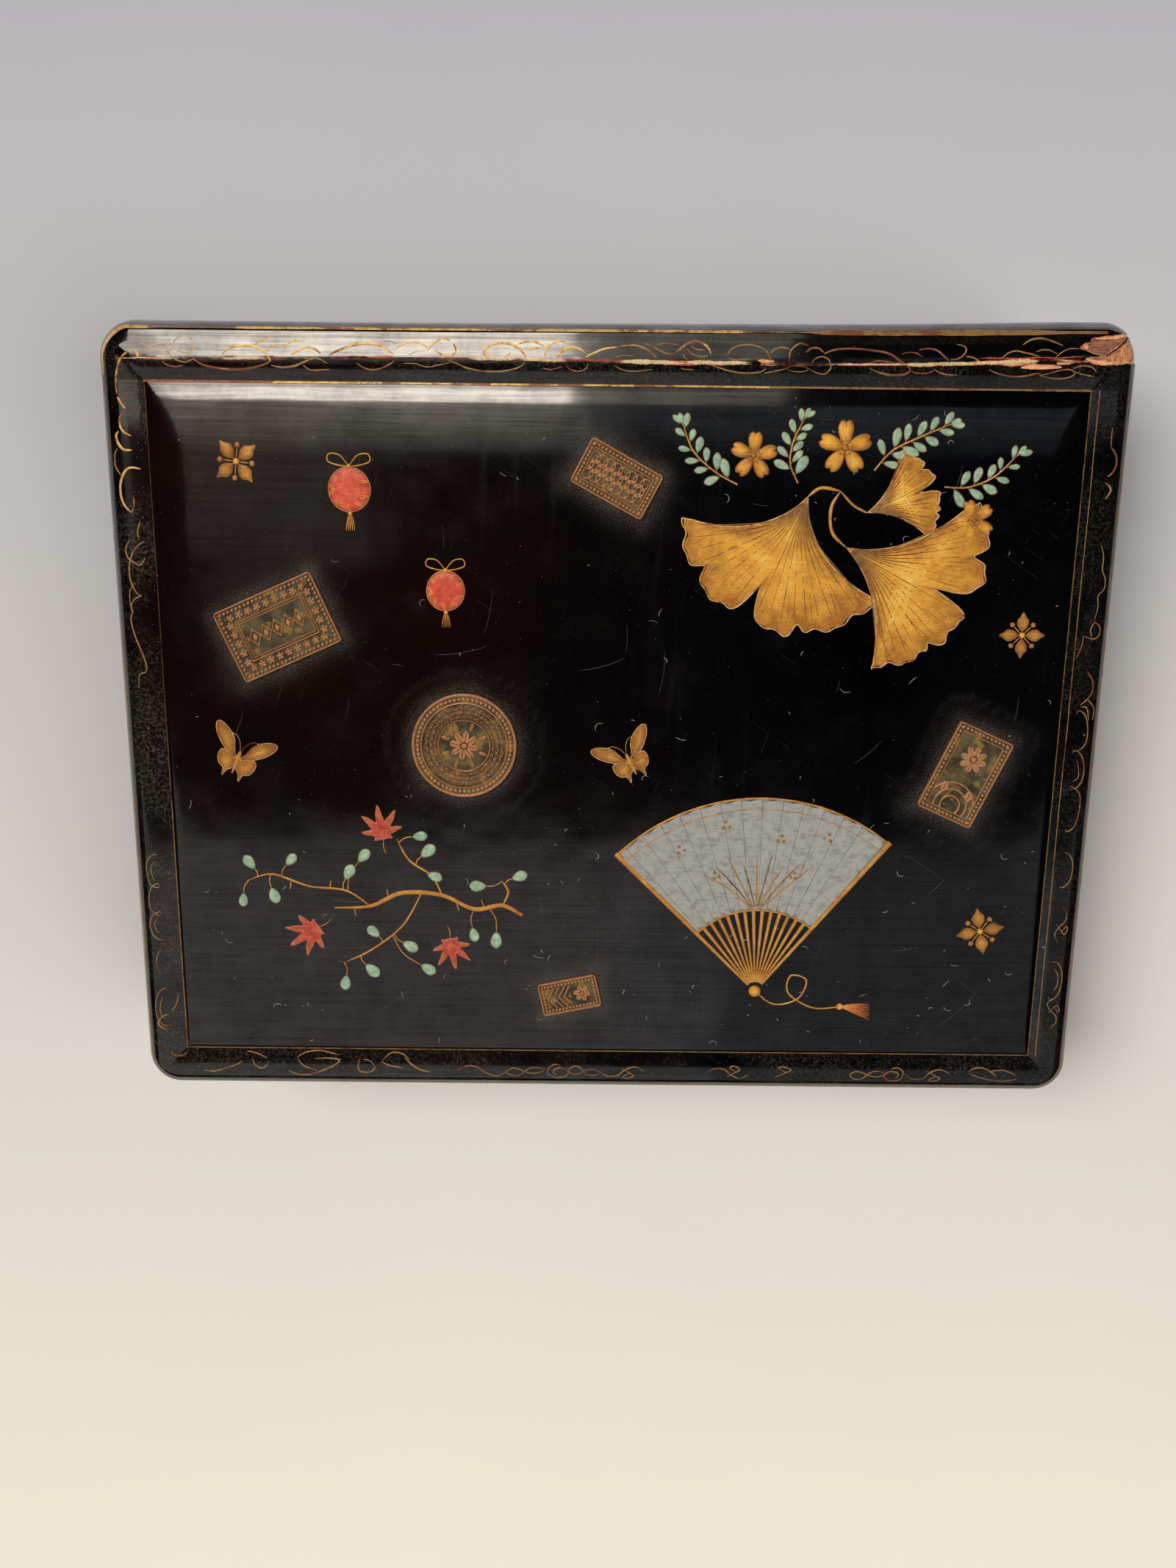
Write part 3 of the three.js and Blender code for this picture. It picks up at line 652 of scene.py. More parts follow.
def pillow(t):
    """Height of the panel's crowned edge at a distance in from the gold line."""
    if t >= 15:
        return 1.53
    # monotone smooth steps between the listed heights
    for k in range(len(PILLOW) - 1):
        a, b = PILLOW[k], PILLOW[k + 1]
        if t <= b[0]:
            h = b[0] - a[0]
            d = (b[1] - a[1]) / h
            d0 = d if k == 0 else 0.5 * (d + (a[1] - PILLOW[k - 1][1]) / (a[0] - PILLOW[k - 1][0]))
            d1 = 0.0 if k == len(PILLOW) - 2 else 0.5 * (d + (PILLOW[k + 2][1] - b[1]) / (PILLOW[k + 2][0] - b[0]))
            u = (t - a[0]) / h
            return ((2 * u ** 3 - 3 * u ** 2 + 1) * a[1] + (u ** 3 - 2 * u ** 2 + u) * h * d0
                    + (3 * u ** 2 - 2 * u ** 3) * b[1] + (u ** 3 - u ** 2) * h * d1)
    return 1.53


def curve_z(inset):
    """Height of the rounded outer side, as a distance in from the outside."""
    if inset >= SIDE_T:
        return CREST
    k = 1 - max(0.0, inset) / SIDE_T
    return CURVE_LOW + (CREST - CURVE_LOW) * math.sqrt(max(0.0, 1 - k * k))


def inner_z(d, w):
    """Height of a rail's inner slope, falling from the crest to the gold line."""
    return VALLEY_Z + (CREST - VALLEY_Z) * math.sin(min(1.0, max(0.0, (w - d) / (w - SIDE_T))) * math.pi / 2)


def rear_z(d, w=None):
    """Height of the broad rear rail: it goes on rising gently past the edge of its board, up to the opened joint."""
    a, c, k = 5.17, 9.6, 0.096
    if d <= a:
        return curve_z(d)
    t = min(1.0, (d - a) / (c - a))
    z = curve_z(a) + k * (c - a) * (t - t ** 4 / 4)
    if d <= c:
        return z
    return VALLEY_Z + (z - VALLEY_Z) * math.sin(min(1.0, max(0.0, (w - d) / (w - c))) * math.pi / 2)


def panel_z(x, y):
    a, b = VX - abs(x), VH - abs(y - VC)
    if a <= 0 or b <= 0:
        back = DEPTH / 2 + rear_dy(x)
        side = WIDTH / 2 - abs(x)
        end = back - y if y > 0 else DEPTH / 2 + y
        w_end = back - VR if y > 0 else DEPTH / 2 + VF
        inset = min(side, end)
        if side < CORNER and end < CORNER:
            inset = CORNER - math.hypot(CORNER - side, CORNER - end)
        k = smooth(-0.08, 0.08, side / RAIL_W - end / w_end)
        rise = rear_z(end, w_end) - curve_z(end) + CREST if y > 0 else inner_z(end, w_end)
        return curve_z(inset) + lerp(inner_z(side, RAIL_W), rise, k) - CREST
    t = ((1.7 * a) ** -4 + b ** -4) ** -0.25
    z = VALLEY_Z + pillow(t)
    return z + 0.12 * max(0, 1 - (x / 100) ** 2) * max(0, 1 - ((y - VC) / 76) ** 2)


def plan(x, y, lift=0.0):
    return Vector((x, y, panel_z(x, y) + lift)), Vector((0, 0, 1))


def on_lid(x, y):
    """Point and normal anywhere on the lid's top."""
    e = 0.12
    z = panel_z(x, y)
    n = Vector((panel_z(x - e, y) - panel_z(x + e, y), panel_z(x, y - e) - panel_z(x, y + e), 2 * e)).normalized()
    return Vector((x, y, z)), n


def ribbon(bag, pts, widths, height=0.12, sink=0.12, mat=0, tone=None):
    """A closed flat strip: pts is a list of (position, surface normal)."""
    n = len(pts)
    if n < 2:
        return
    verts, tones = [], []
    for i, (p, nn) in enumerate(pts):
        a = pts[max(0, i - 1)][0]
        b = pts[min(n - 1, i + 1)][0]
        t = (b - a)
        if t.length < 1e-9:
            t = Vector((1, 0, 0))
        t.normalize()
        side = nn.cross(t).normalized()
        w = (widths[i] if isinstance(widths, (list, tuple)) else widths) / 2
        verts += [p - side * w - nn * 0.01, p - side * w * 0.55 + nn * height * 0.8, p + side * w * 0.55 + nn * height * 0.8,
                  p + side * w - nn * 0.01, p - nn * sink]
        tones += [0.8, 0.1, 0.1, 0.8, 0.9]
    k = 5
    faces = []
    for i in range(n - 1):
        for j in range(k):
            a, b = i * k + j, i * k + (j + 1) % k
            faces.append((a, b, b + k, a + k))
    faces.append(tuple(reversed(range(k))))
    faces.append(tuple(range((n - 1) * k, n * k)))
    bag.add([tuple(v) for v in verts], faces, {"tone": tones}, mat)


def fill(bag, outline, centre, mapf, crown=0.25, rings=5, layer=0.0, mat=0, tone=(0.0, 1.0), wave=None):
    """A closed, slightly crowned patch whose outline is star-shaped about the centre."""
    n = len(outline)
    verts, tones = [], []
    c, cn = mapf(centre[0], centre[1])
    top = crown + layer
    verts.append(tuple(c + cn * top))
    tones.append(tone[0])
    for r in range(1, rings + 1):
        t = r / rings
        for (x, y) in outline:
            px, py = lerp(centre[0], x, t), lerp(centre[1], y, t)
            q, nn = mapf(px, py)
            h = layer + crown * (1 - t ** 3) + (0.05 if r < rings else -0.02)
            if wave and r < rings:
                h += wave(px, py, t)
            verts.append(tuple(q + nn * h))
            tones.append(lerp(tone[0], tone[1], t ** 1.5))
    base = len(verts)
    for (x, y) in outline:
        q, nn = mapf(x, y)
        verts.append(tuple(q - nn * 0.15))
        tones.append(tone[1])
    verts.append(tuple(c - cn * 0.15))
    tones.append(0.5)
    bottom = len(verts) - 1
    faces = []
    for i in range(n):
        j = (i + 1) % n
        faces.append((0, 1 + i, 1 + j))
        for r in range(rings - 1):
            a, b = 1 + r * n + i, 1 + r * n + j
            faces.append((a, a + n, b + n, b))
        a, b = 1 + (rings - 1) * n + i, 1 + (rings - 1) * n + j
        faces.append((a, base + i, base + j, b))
        faces.append((base + i, bottom, base + j))
    bag.add(verts, faces, {"tone": tones}, mat)


def curve_pts(ctrl, n=24):
    """Catmull-Rom through 2-D control points."""
    P = [ctrl[0]] + list(ctrl) + [ctrl[-1]]
    out = []
    seg = max(2, n // (len(ctrl) - 1))
    for i in range(1, len(P) - 2):
        p0, p1, p2, p3 = P[i - 1], P[i], P[i + 1], P[i + 2]
        for k in range(seg):
            t = k / seg
            out.append(tuple(0.5 * ((2 * p1[d]) + (-p0[d] + p2[d]) * t + (2 * p0[d] - 5 * p1[d] + 4 * p2[d] - p3[d]) * t * t
                                    + (-p0[d] + 3 * p1[d] - 3 * p2[d] + p3[d]) * t ** 3) for d in range(2)))
    out.append(tuple(ctrl[-1]))
    return out


def stroke(bag, ctrl, w, mapf=plan, taper=(0.3, 0.3), n=24, height=0.12, mat=0, lift=0.0, rng=None):
    pts2 = curve_pts(ctrl, n)
    m = len(pts2)
    pts, ws = [], []
    for i, (x, y) in enumerate(pts2):
        q, nn = mapf(x, y)
        pts.append((q + nn * lift, nn))
        t = i / (m - 1)
        k = min(1.0, lerp(taper[0], 1, min(1, t / 0.25)), lerp(taper[1], 1, min(1, (1 - t) / 0.25)))
        ws.append(w * k * (1 + 0.18 * n1(i * 0.6 + x, 3.0)))
    ribbon(bag, pts, ws, height, mat=mat)


def sweep_side(bag, side, profile, stations, keep=None):
    """A closed board whose profile [(inset, z)] runs along one side and half of each corner.
    With keep, the face at that inset stays on its nominal line."""
    half_l, half_d, turn = {"rear": (WIDTH / 2, DEPTH / 2, 0), "left": (DEPTH / 2, WIDTH / 2, 1),
                            "front": (WIDTH / 2, DEPTH / 2, 2), "right": (DEPTH / 2, WIDTH / 2, 3)}[side]
    verts = []
    n = len(profile)
    for (kind, val) in stations:
        for (inset, z) in profile:
            if kind == "line":
                x, y = val, half_d - inset
            else:
                sgn = 1 if kind == "right" else -1
                x = sgn * (half_l - CORNER) + (CORNER - inset) * math.cos(val)
                y = half_d - CORNER + (CORNER - inset) * math.sin(val)
            for _ in range(turn):
                x, y = -y, x
            if y > 60:
                share = 1 - min(1.0, max(0.0, inset) / keep) if keep else 1.0
                y += rear_dy(x) * smooth(60, 86.5, y) * share
            verts.append((x, y, z))
    faces = []
    m = len(stations)
    for s in range(m - 1):
        for i in range(n):
            j = (i + 1) % n
            faces.append((s * n + i, s * n + j, (s + 1) * n + j, (s + 1) * n + i))
    faces.append(tuple(range(n)))
    faces.append(tuple(reversed(range((m - 1) * n, m * n))))
    return verts, faces


def side_stations(side, step=4.0, arc=10, fine=None, gap=0.0):
    half_l = WIDTH / 2 if side in ("rear", "front") else DEPTH / 2
    st = []
    a0 = math.pi / 4 + gap
    for i in range(arc):
        st.append(("right", lerp(a0, math.pi / 2, i / arc)))
    x = half_l - CORNER
    end = -x
    while x > end + 1e-6:
        st.append(("line", x))
        s = step
        if fine and fine[0] < x <= fine[1] + 1e-6:
            s = fine[2]
        x -= s
    st.append(("line", end))
    for i in range(1, arc + 1):
        st.append(("left", lerp(math.pi / 2, math.pi - a0, i / arc)))
    return st


# ---------------------------------------------------------------- lid board
def poly_distance(poly, x, y):
    """Signed distance, positive inside."""
    inside, best = False, 1e9
    n = len(poly)
    for i in range(n):
        x1, y1 = poly[i]
        x2, y2 = poly[(i + 1) % n]
        if (y1 > y) != (y2 > y) and x < (x2 - x1) * (y - y1) / (y2 - y1) + x1:
            inside = not inside
        dx, dy = x2 - x1, y2 - y1
        t = max(0, min(1, ((x - x1) * dx + (y - y1) * dy) / (dx * dx + dy * dy)))
        best = min(best, math.hypot(x - x1 - t * dx, y - y1 - t * dy))
    return best if inside else -best


def span(x, a, b, soft=1.0):
    return smooth(a - soft, a + soft, x) * (1 - smooth(b - soft, b + soft, x))


def flake_width(x):
    """Half width, in mm, of the lacquer lost along the opened joint."""
    w = 0.09 + 0.08 * max(0, n1(x * 0.11, 1)) + 0.12 * max(0, n1(x * 0.31, 2))
    w += 0.12 * span(x, -113, -101) + 0.16 * span(x, -90, -80) + 0.22 * span(x, -34, -12) * (0.6 + n1(x * 0.5, 8))
    w += 0.34 * span(x, 0, 30) * (0.7 + n1(x * 0.23, 6)) + 0.2 * span(x, 30, 36)
    w += 0.10 * span(x, 50, 65) + 0.30 * span(x, 66, 90) + 0.48 * span(x, 88, 103)
    return max(0.08, w)


def crack_gap(x):
    """Open width of the joint."""
    g = 0.05 + 0.06 * max(0, n1(x * 0.13, 5))
    g += 0.10 * span(x, -79, -62) + 0.30 * span(x, -62, -57.5, 0.8) + 0.10 * span(x, -50, -40)
    g += 0.75 * span(x, 29.6, 33.2, 0.7) + 0.24 * span(x, 34, 48.5)
    g += 0.92 * span(x, 95.6, 100.4, 0.6)
    return g * (1 - smooth(103, 106, abs(x)))


PLAQUES = [(-36, -4, 12.7, 12.7, 0), (-80, 24, 12.8, 8.95, 24), (86, -10, 11.5, 7.3, 66), (0, 59, 9.4, 5.65, -28), (-10, -68, 7.5, 4.3, 12)]


def halo_at(x, y):
    h = 0.0
    for i, (cx, cy, hw, hh, turn) in enumerate(PLAQUES):
        a = math.radians(turn)
        dx, dy = x - cx, y - cy
        if i == 0:
            d = math.hypot(dx, dy) - hw
        else:
            lx = dx * math.cos(a) + dy * math.sin(a)
            ly = -dx * math.sin(a) + dy * math.cos(a)
            d = math.hypot(max(0, abs(lx) - hw), max(0, abs(ly) - hh))
        k = math.exp(-(max(0, d) / (2.3 + 1.3 * n2(x * 0.07, y * 0.07, i + 20))) ** 1.3) * (0.8 + 0.4 * n2(x * 0.2, y * 0.2, i))
        h = max(h, k)
        # a wider, fainter tide mark
        ring = math.exp(-((d - 6.0 - 1.6 * n2(x * 0.05, y * 0.05, 9)) / 0.7) ** 2) * 0.16
        if i in (0, 2):
            h = max(h, ring)
    # faint ring stain low on the right
    d = abs(math.hypot(x - 88, (y + 76) * 1.5) - 7.5)
    h = max(h, 0.24 * math.exp(-(d / 0.5) ** 2))
    return h


def make_panel():
    fine = [0, .15, .4, .8, 1.3, 1.9, 2.6, 3.3, 4.0, 4.6, 5.1, 5.4, 5.65, 5.8, 5.95, 6.2, 6.5, 6.9, 7.4, 8.0, 8.7, 9.6, 10.6, 11.7, 13, 14.5, 16.3, 18.3, 20.6]
    rear = [-15, -12.7, -10.5, -8.7, -7.1, -5.8, -4.7, -3.8, -3.0, -2.4, -1.8, -1.3, -.9, -.6, -.35, -.15, 0, .15, .4, .75, 1.1]

    edge_x = BX + 0.3
    inner = edge_x - fine[-1]
    k = int(round(2 * inner / 1.5))
    xs = [-edge_x + f for f in fine] + [-inner + 2 * inner * i / k for i in range(1, k)] + [edge_x - f for f in reversed(fine)]
    # across the depth: (kind, value); the joint's own lines follow its wandering course
    y0, y1 = -BY - 0.3 + fine[-1], VR - 15
    k = int(round((y1 - y0) / 1.5))
    rows = [("flat", -BY - 0.3 + f) for f in fine] + [("flat", lerp(y0, y1, i / k)) for i in range(1, k)]
    rows += [("flat", VR + f) for f in rear]
    rows += [("below", f) for f in (0.2, 0.4, 0.6, 0.8)]
    rows += [("joint", f) for f in (-1.1, -0.8, -0.55, "A", "B", "C", "D", 0.55, 0.8, 1.1)]
    rows += [("above", f) for f in (86.5, 87.0, 87.5, 88.0, 88.5, 89.0, 89.4, 89.7, 89.9)]
    nx, ny = len(xs), len(rows)
    r = CORNER - SIDE_T
    cx, cy = edge_x - r, BY + 0.3 - r

    def nest(x, y):
        """Round the outer corners to nest in the side boards."""
        if abs(x) > cx and abs(y) > cy:
            dx, dy = abs(x) - cx, abs(y) - cy
            m, l = max(dx, dy), math.hypot(dx, dy)
            if l > 1e-9:
                return math.copysign(cx + dx * m / l, x), math.copysign(cy + dy * m / l, y)
        return x, y
    verts, halo, flake, off, chip, grit, polish = [], [], [], [], [], [], []
    for kind, v in rows:
        for x in xs:
            yc = crack_y(x)
            g = crack_gap(x)
            corner = smooth(104, 111, abs(x))
            squeeze = 1 - 0.9 * corner
            px, sink, d = x, 0.0, 9.0
            if kind == "flat":
                px, py = nest(x, v)
                d = v - yc
            elif kind == "below":
                py = lerp(VR + 1.1, yc - 1.1 * squeeze, v)
            elif kind == "joint":
                if isinstance(v, str):
                    o = {"A": -g / 2 - 0.05, "B": -g / 2 + 0.01, "C": g / 2 - 0.01, "D": g / 2 + 0.05}[v]
                    if v in "BC" and g > 0.02:
                        sink = 0.25 + 1.6 * min(1.0, g / 0.7)
                    sink *= 1 - corner
                else:
                    room = {0.55: 0.14, 0.8: 0.30, 1.1: 0.5}[abs(v)]
                    o = math.copysign(max(abs(v), g / 2 + room), v)
                py = yc + o * squeeze
            else:
                plain = lerp(yc + 1.1 * squeeze, 89.9 + rear_dy(x), (v - 86.1) / 3.8)
                qx, qy = nest(x, v)
                px, py = qx, lerp(plain, qy + rear_dy(qx), corner)
            if kind in ("below", "joint", "above"):
                d = py - yc
            c = chip_at(px, py)
            z = panel_z(px, py) - sink - chip_drop(px, py, c)
            if abs(d) < 1.2 and corner < 1:
                # the lacquer edges stand up a little along the joint
                z += 0.07 * math.exp(-((abs(d) - g / 2 - 0.25) / 0.35) ** 2) * (0.4 + n1(x * 0.5, 31 if d > 0 else 33)) * (1 - corner)
            verts.append((px, py, z))
            halo.append(halo_at(x, py) if abs(x) < 108 and VF < py < VR else 0.0)
            flake.append(flake_width(x) * (1 - smooth(106, 110, abs(x))))
            off.append(d)
            chip.append(c)
            sides, ends = abs(px) - VX, max(VF - py, py - VR)
            polish.append(max(0.12, smooth(17, 7, VR - py) if py < VR else smooth(-0.4, 0.4, d)))
            if max(sides, ends) <= 0:
                grit.append(0.0)
            elif sides > ends:
                grit.append(1.0 if px < 0 else 0.45)
            else:
                grit.append(0.6 if py < 0 else 0.55 * smooth(0.6, -0.2, d))
    faces = []
    for j in range(ny - 1):
        for i in range(nx - 1):
            a = j * nx + i
            faces.append((a, a + 1, a + 1 + nx, a + nx))
    # skirt and underside
    border = [i for i in range(nx)] + [j * nx + nx - 1 for j in range(1, ny)] + \
             [(ny - 1) * nx + i for i in range(nx - 2, -1, -1)] + [j * nx for j in range(ny - 2, 0, -1)]
    base = len(verts)
    for b in border:
        x, y, z = verts[b]
        verts.append((x, y, 40.4))
        halo.append(0)
        flake.append(0)
        off.append(9)
        chip.append(-9)
        grit.append(0)
        polish.append(0.12)
    k = len(border)
    for i in range(k):
        j = (i + 1) % k
        faces.append((border[j], border[i], base + i, base + j))
    faces.append(tuple(base + i for i in range(k - 1, -1, -1)))
    bag = Bag()
    bag.add(verts, faces, {"halo": halo, "flake": flake, "off": off, "chip": chip, "grit": grit, "polish": polish})
    bag.make("panel_and_rail", MAT["panel"], "lid", "lid_top_board", "black_lacquer", smooth_angle=50)


# the broken corner: bare wood on the rear board and on the end of the right one, either side of the mitre
CHIP_REAR = [(104.6, 88.9), (105.6, 89.9), (106.8, 90.0), (107.4, 91.0), (110, 91.5), (113.2, 92.0), (116.6, 92.9), (118.4, 94.0), (119.0, 93.0), (117.1, 91.9),
             (111.0, 87.3), (108.2, 87.6), (106.2, 88.3)]
CHIP_RIGHT = [(106.0, 86.6), (108.4, 87.1), (111.0, 87.3), (117.1, 91.9), (118.8, 94.0), (124, 94), (124, 86.2), (119.3, 86.0), (115.7, 85.6), (110.8, 85.1),
              (108.0, 85.5)]


def chip_at(x, y):
    if x < 98 or y < 78:
        return -9.0
    return max(poly_distance(CHIP_REAR, x, y), poly_distance(CHIP_RIGHT, x, y))


def chip_drop(x, y, c):
    """How far the broken surface lies below the lacquer."""
    rag = c + 0.5 * n2(x * 0.7, y * 1.5, 2)
    if rag <= 0:
        return 0.0
    rear = (x - 111) * 0.754 - (y - 87.3) < 0
    d = min(0.55, rag * 1.1)
    if rear:
        return d + 0.16 * n2(x * 0.22, y * 3.2, 7) + 0.12 * max(0, n2(x * 0.5, y * 1.2, 5))
    return 0.75 * d + 0.12 * n2(x * 1.2, y * 0.8, 8)


def make_moulding(side):
    n = 26
    profile = [(SIDE_T, RIM), (SIDE_T, 44.2), (SIDE_T, CREST)]
    for i in range(1, n + 1):
        a = math.pi / 2 * i / n
        profile.append((SIDE_T - SIDE_T * math.sin(a), CURVE_LOW + (CREST - CURVE_LOW) * math.cos(a)))
    profile += [(0, 37.2), (0, 36.0), (0.0, 35.4), (0.15, 35.05), (0.5, RIM)]
    fine = {"rear": (100, 111, 0.45), "right": (-86.5, -70, 0.45)}.get(side)
    st = side_stations(side, 3.0, 22, fine, 0.0)
    bag = Bag()
    verts, faces = sweep_side(bag, side, profile, st)
    chip, out, polish = [], [], []
    np_ = len(profile)
    for k, (x, y, z) in enumerate(verts):
        inset = profile[k % np_][0]
        if side == "rear" and k % np_ >= 2 and inset > 5.0:
            z += (rear_z(inset) - curve_z(inset)) * smooth(112.5, 110, abs(x))
        c = chip_at(x, y) if side in ("rear", "right") else -9.0
        if z < 38.4:
            c = min(c, 0.25 * (z - 37.2) + (0.5 if side == "right" else -1.0))
        if k % np_ >= 2 and c > -1:
            drop = chip_drop(x, y, c)
            z -= drop * smooth(36.5, 40, z)
            if side == "right" and z > 36.5:
                k2 = drop * (1 - inset / SIDE_T) * smooth(36.5, 40, z)
                x -= 0.7 * k2
                y -= 0.5 * k2
        out.append((x, y, z))
        chip.append(c)
        polish.append(lerp(0.628, 1.0, smooth(4.8, 3.4, inset)))
    bag.add(out, faces, {"chip": chip, "polish": polish})
    bag.make(f"moulding_{side}", MAT[side], "lid", f"lid_{side}_moulding", "black_lacquer", smooth_angle=50)


make_panel()
for sd in ("rear", "left", "front", "right"):
    make_moulding(sd)

def lay(bag, pts2, widths, lift=0.02, height=0.10, sink=0.25, wave=0.0, seed=3):
    """A ribbon along plan points on the lid's surface."""
    pts = curve_pts(pts2, 12 * (len(pts2) - 1)) if len(pts2) > 2 else pts2
    n = len(pts)
    out, ws = [], []
    for i, (x, y) in enumerate(pts):
        q, nn = on_lid(x, y)
        t = i / (n - 1)
        w = steps([(k / (len(widths) - 1), v) for k, v in enumerate(widths)], t)
        out.append((q + nn * (lift - chip_drop(x, y, chip_at(x, y))), nn))
        ws.append(max(0.05, w * (1 + wave * n1(i * 0.7 + x, seed))))
    ribbon(bag, out, ws, height, sink)


# inside the opened joint: a dark sheet low in the gap, its painted shadow
bag = Bag()
for x0, x1 in ((-65, -55), (28, 51), (93, 104)):
    pts = []
    for i in range(25):
        x = lerp(x0, x1, i / 24)
        pts.append((Vector((x, crack_y(x), 44.05)), Vector((0, 0, 1))))
    ribbon(bag, pts, 1.5, 0.1, 0.3)
bag.make("joint_shadow", MAT["crack"], "lid", slot="black_lacquer")
# pale wood and filler left along it, and the torn edges of the broken corner
def along(bag, x0, x1, w, off=0.0, height=0.12, wave=0.5, seed=3, ends=0.25):
    k = max(3, int((x1 - x0) / 2.2))
    pts = [(lerp(x0, x1, i / k), crack_y(lerp(x0, x1, i / k)) + off + 0.12 * n1(i * 1.7 + x0, seed)) for i in range(k + 1)]
    ws = [w * (ends if i in (0, k) else 0.75 + 0.5 * abs(n1(i * 2.3 + x0, seed + 1))) for i in range(k + 1)]
    lay(bag, pts, ws, 0.02, height, wave=wave, seed=seed)


bag = Bag()
along(bag, 91.6, 100.8, 1.15, -1.05, 0.12, 0.3, 4)
along(bag, 31.6, 35.4, 0.9, 0.62, 0.16, 0.4, 6)
along(bag, -59.5, -57.2, 0.35, 0.35, 0.10, 0.4, 7)
lay(bag, [(106.2, 86.5), (108.2, 86.0), (110.8, 85.6), (113.4, 85.8)], [0.5, 0.9, 0.8, 0.3], 0.16, 0.12, wave=0.4, seed=5)
lay(bag, [(108.0, 90.95), (110.5, 91.15), (113.5, 91.6), (116.6, 92.5)], [0.25, 0.6, 0.75, 0.9], 0.22, 0.14, wave=0.35, seed=6)
lay(bag, [(105.2, 88.9), (106.0, 89.2), (106.6, 88.9)], [0.5, 1.1, 0.5], 0.3, 0.16, wave=0.4, seed=8)
bag.make("joint_wood", MAT["peach"], "lid", slot="black_lacquer", smooth_angle=60)
bag = Bag()
along(bag, -113.0, -101.5, 0.30, 0.0, 0.06, 0.6, 10)
along(bag, -89.8, -80.4, 0.52, 0.05, 0.10, 0.4, 11)
along(bag, -34.0, -23.0, 0.50, -0.05, 0.12, 0.8, 12)
along(bag, -22.0, -12.5, 0.62, -0.1, 0.12, 0.8, 13)
along(bag, 0.4, 15.0, 1.05, -0.1, 0.20, 0.5, 14)
along(bag, 15.5, 29.2, 0.95, 0.05, 0.20, 0.5, 15)
along(bag, 49.8, 65.0, 0.36, 0.0, 0.08, 0.4, 16)
along(bag, 64.5, 73.0, 0.55, 0.05, 0.12, 0.6, 17)
along(bag, 72.5, 88.0, 0.75, 0.0, 0.16, 0.5, 18)
along(bag, 86.0, 95.4, 1.15, 0.25, 0.22, 0.4, 19)
bag.make("joint_filler", MAT["filler"], "lid", slot="black_lacquer", smooth_angle=60)
bag = Bag()
along(bag, 82.0, 106.0, 0.34, 0.98, 0.12, 0.6, 20)
along(bag, -56.8, -50.2, 0.50, 0.05, 0.16, 0.4, 21)
along(bag, -12.0, -1.0, 0.32, 0.12, 0.10, 0.5, 22)
along(bag, 11.0, 18.0, 0.22, -0.55, 0.08, 0.5, 23)
bag.make("joint_red_coat", MAT["red_coat"], "lid", slot="black_lacquer", smooth_angle=60)
# the split mitre, and the hair crack carried across the left end
bag = Bag()
lay(bag, [(110.4, 86.9), (112.6, 88.5), (115.0, 90.4), (117.3, 92.4)], [0.22, 0.34, 0.42, 0.6], 0.02, 0.05, 0.4)
lay(bag, [(-106.5, 84.5), (-111, 84.55), (-115.5, 85.0), (-118.0, 85.4)], [0.12, 0.14, 0.12, 0.16], 0.0, 0.02, 0.3)
bag.make("split_mitre", MAT["crack"], "lid", slot="black_lacquer")


# ---------------------------------------------------------------- gold lines
def rim_loop(phis, step=2.0):
    """Closed loop round the lid's curve; phis gives the place on the curve for each side."""
    order = ["right", "rear", "left", "front"]
    out = []
    for k, s in enumerate(order):
        nxt = order[(k + 1) % 4]
        # straight run of side s, counter-clockwise
        L = (DEPTH if s in ("right", "left") else WIDTH) - 2 * CORNER
        m = int(L / step)
        for i in range(m + 1):
            v = -L / 2 + L * i / m
            out.append((s, v, None, phis[s]))
        for i in range(1, 12):
            t = i / 12
            out.append(("corner%d" % k, t, None, lerp(phis[s], phis[nxt], smooth(0, 1, t)) + (0.45 * math.sin(math.pi * t) if k == 1 else 0)))
    return out


def rim_point(item, lift=0.02):
    s, v, _, inset = item
    if s == "right":
        x, y = WIDTH / 2 - inset, v
    elif s == "rear":
        x = -v
        y = DEPTH / 2 + rear_dy(x) - inset
    elif s == "left":
        x, y = -WIDTH / 2 + inset, -v
    elif s == "front":
        x, y = v, -DEPTH / 2 + inset
    else:
        k = int(s[-1])
        a2 = math.radians(90 * k + 90 * v)
        x = (WIDTH / 2 - CORNER) * (1 if k in (0, 3) else -1) + (CORNER - inset) * math.cos(a2)
        y = (DEPTH / 2 - CORNER) * (1 if k in (0, 1) else -1) + (CORNER - inset) * math.sin(a2)
        if k in (0, 1):
            y += rear_dy(x)
    if s in ("left", "right") and y > 60:
        y += rear_dy(x) * smooth(60, 86.5, y)
    p, n = on_lid(x, y)
    return p + n * lift, n


# insets from the outside; along the rear the line keeps its own straight course
loop = rim_loop({"right": 1.95, "rear": 2.05, "left": 1.9, "front": 1.9})
loop = [(s, v, q, (DEPTH / 2 + rear_dy(-v) - steps([(-111, 91.5), (-60, 91.6), (60, 91.8), (111, 92.4)], -v)) if s == "rear" else i) for s, v, q, i in loop]
groups = {"gold_line": Bag(), "gold_dull": Bag(), "gold_copper": Bag(), "gold_brass": Bag()}
run, kind = [], None


def flush():
    global run, kind
    if len(run) > 1:
        ribbon(groups[kind], [r[0] for r in run], [r[1] for r in run], 0.05, 0.1)
    run = []


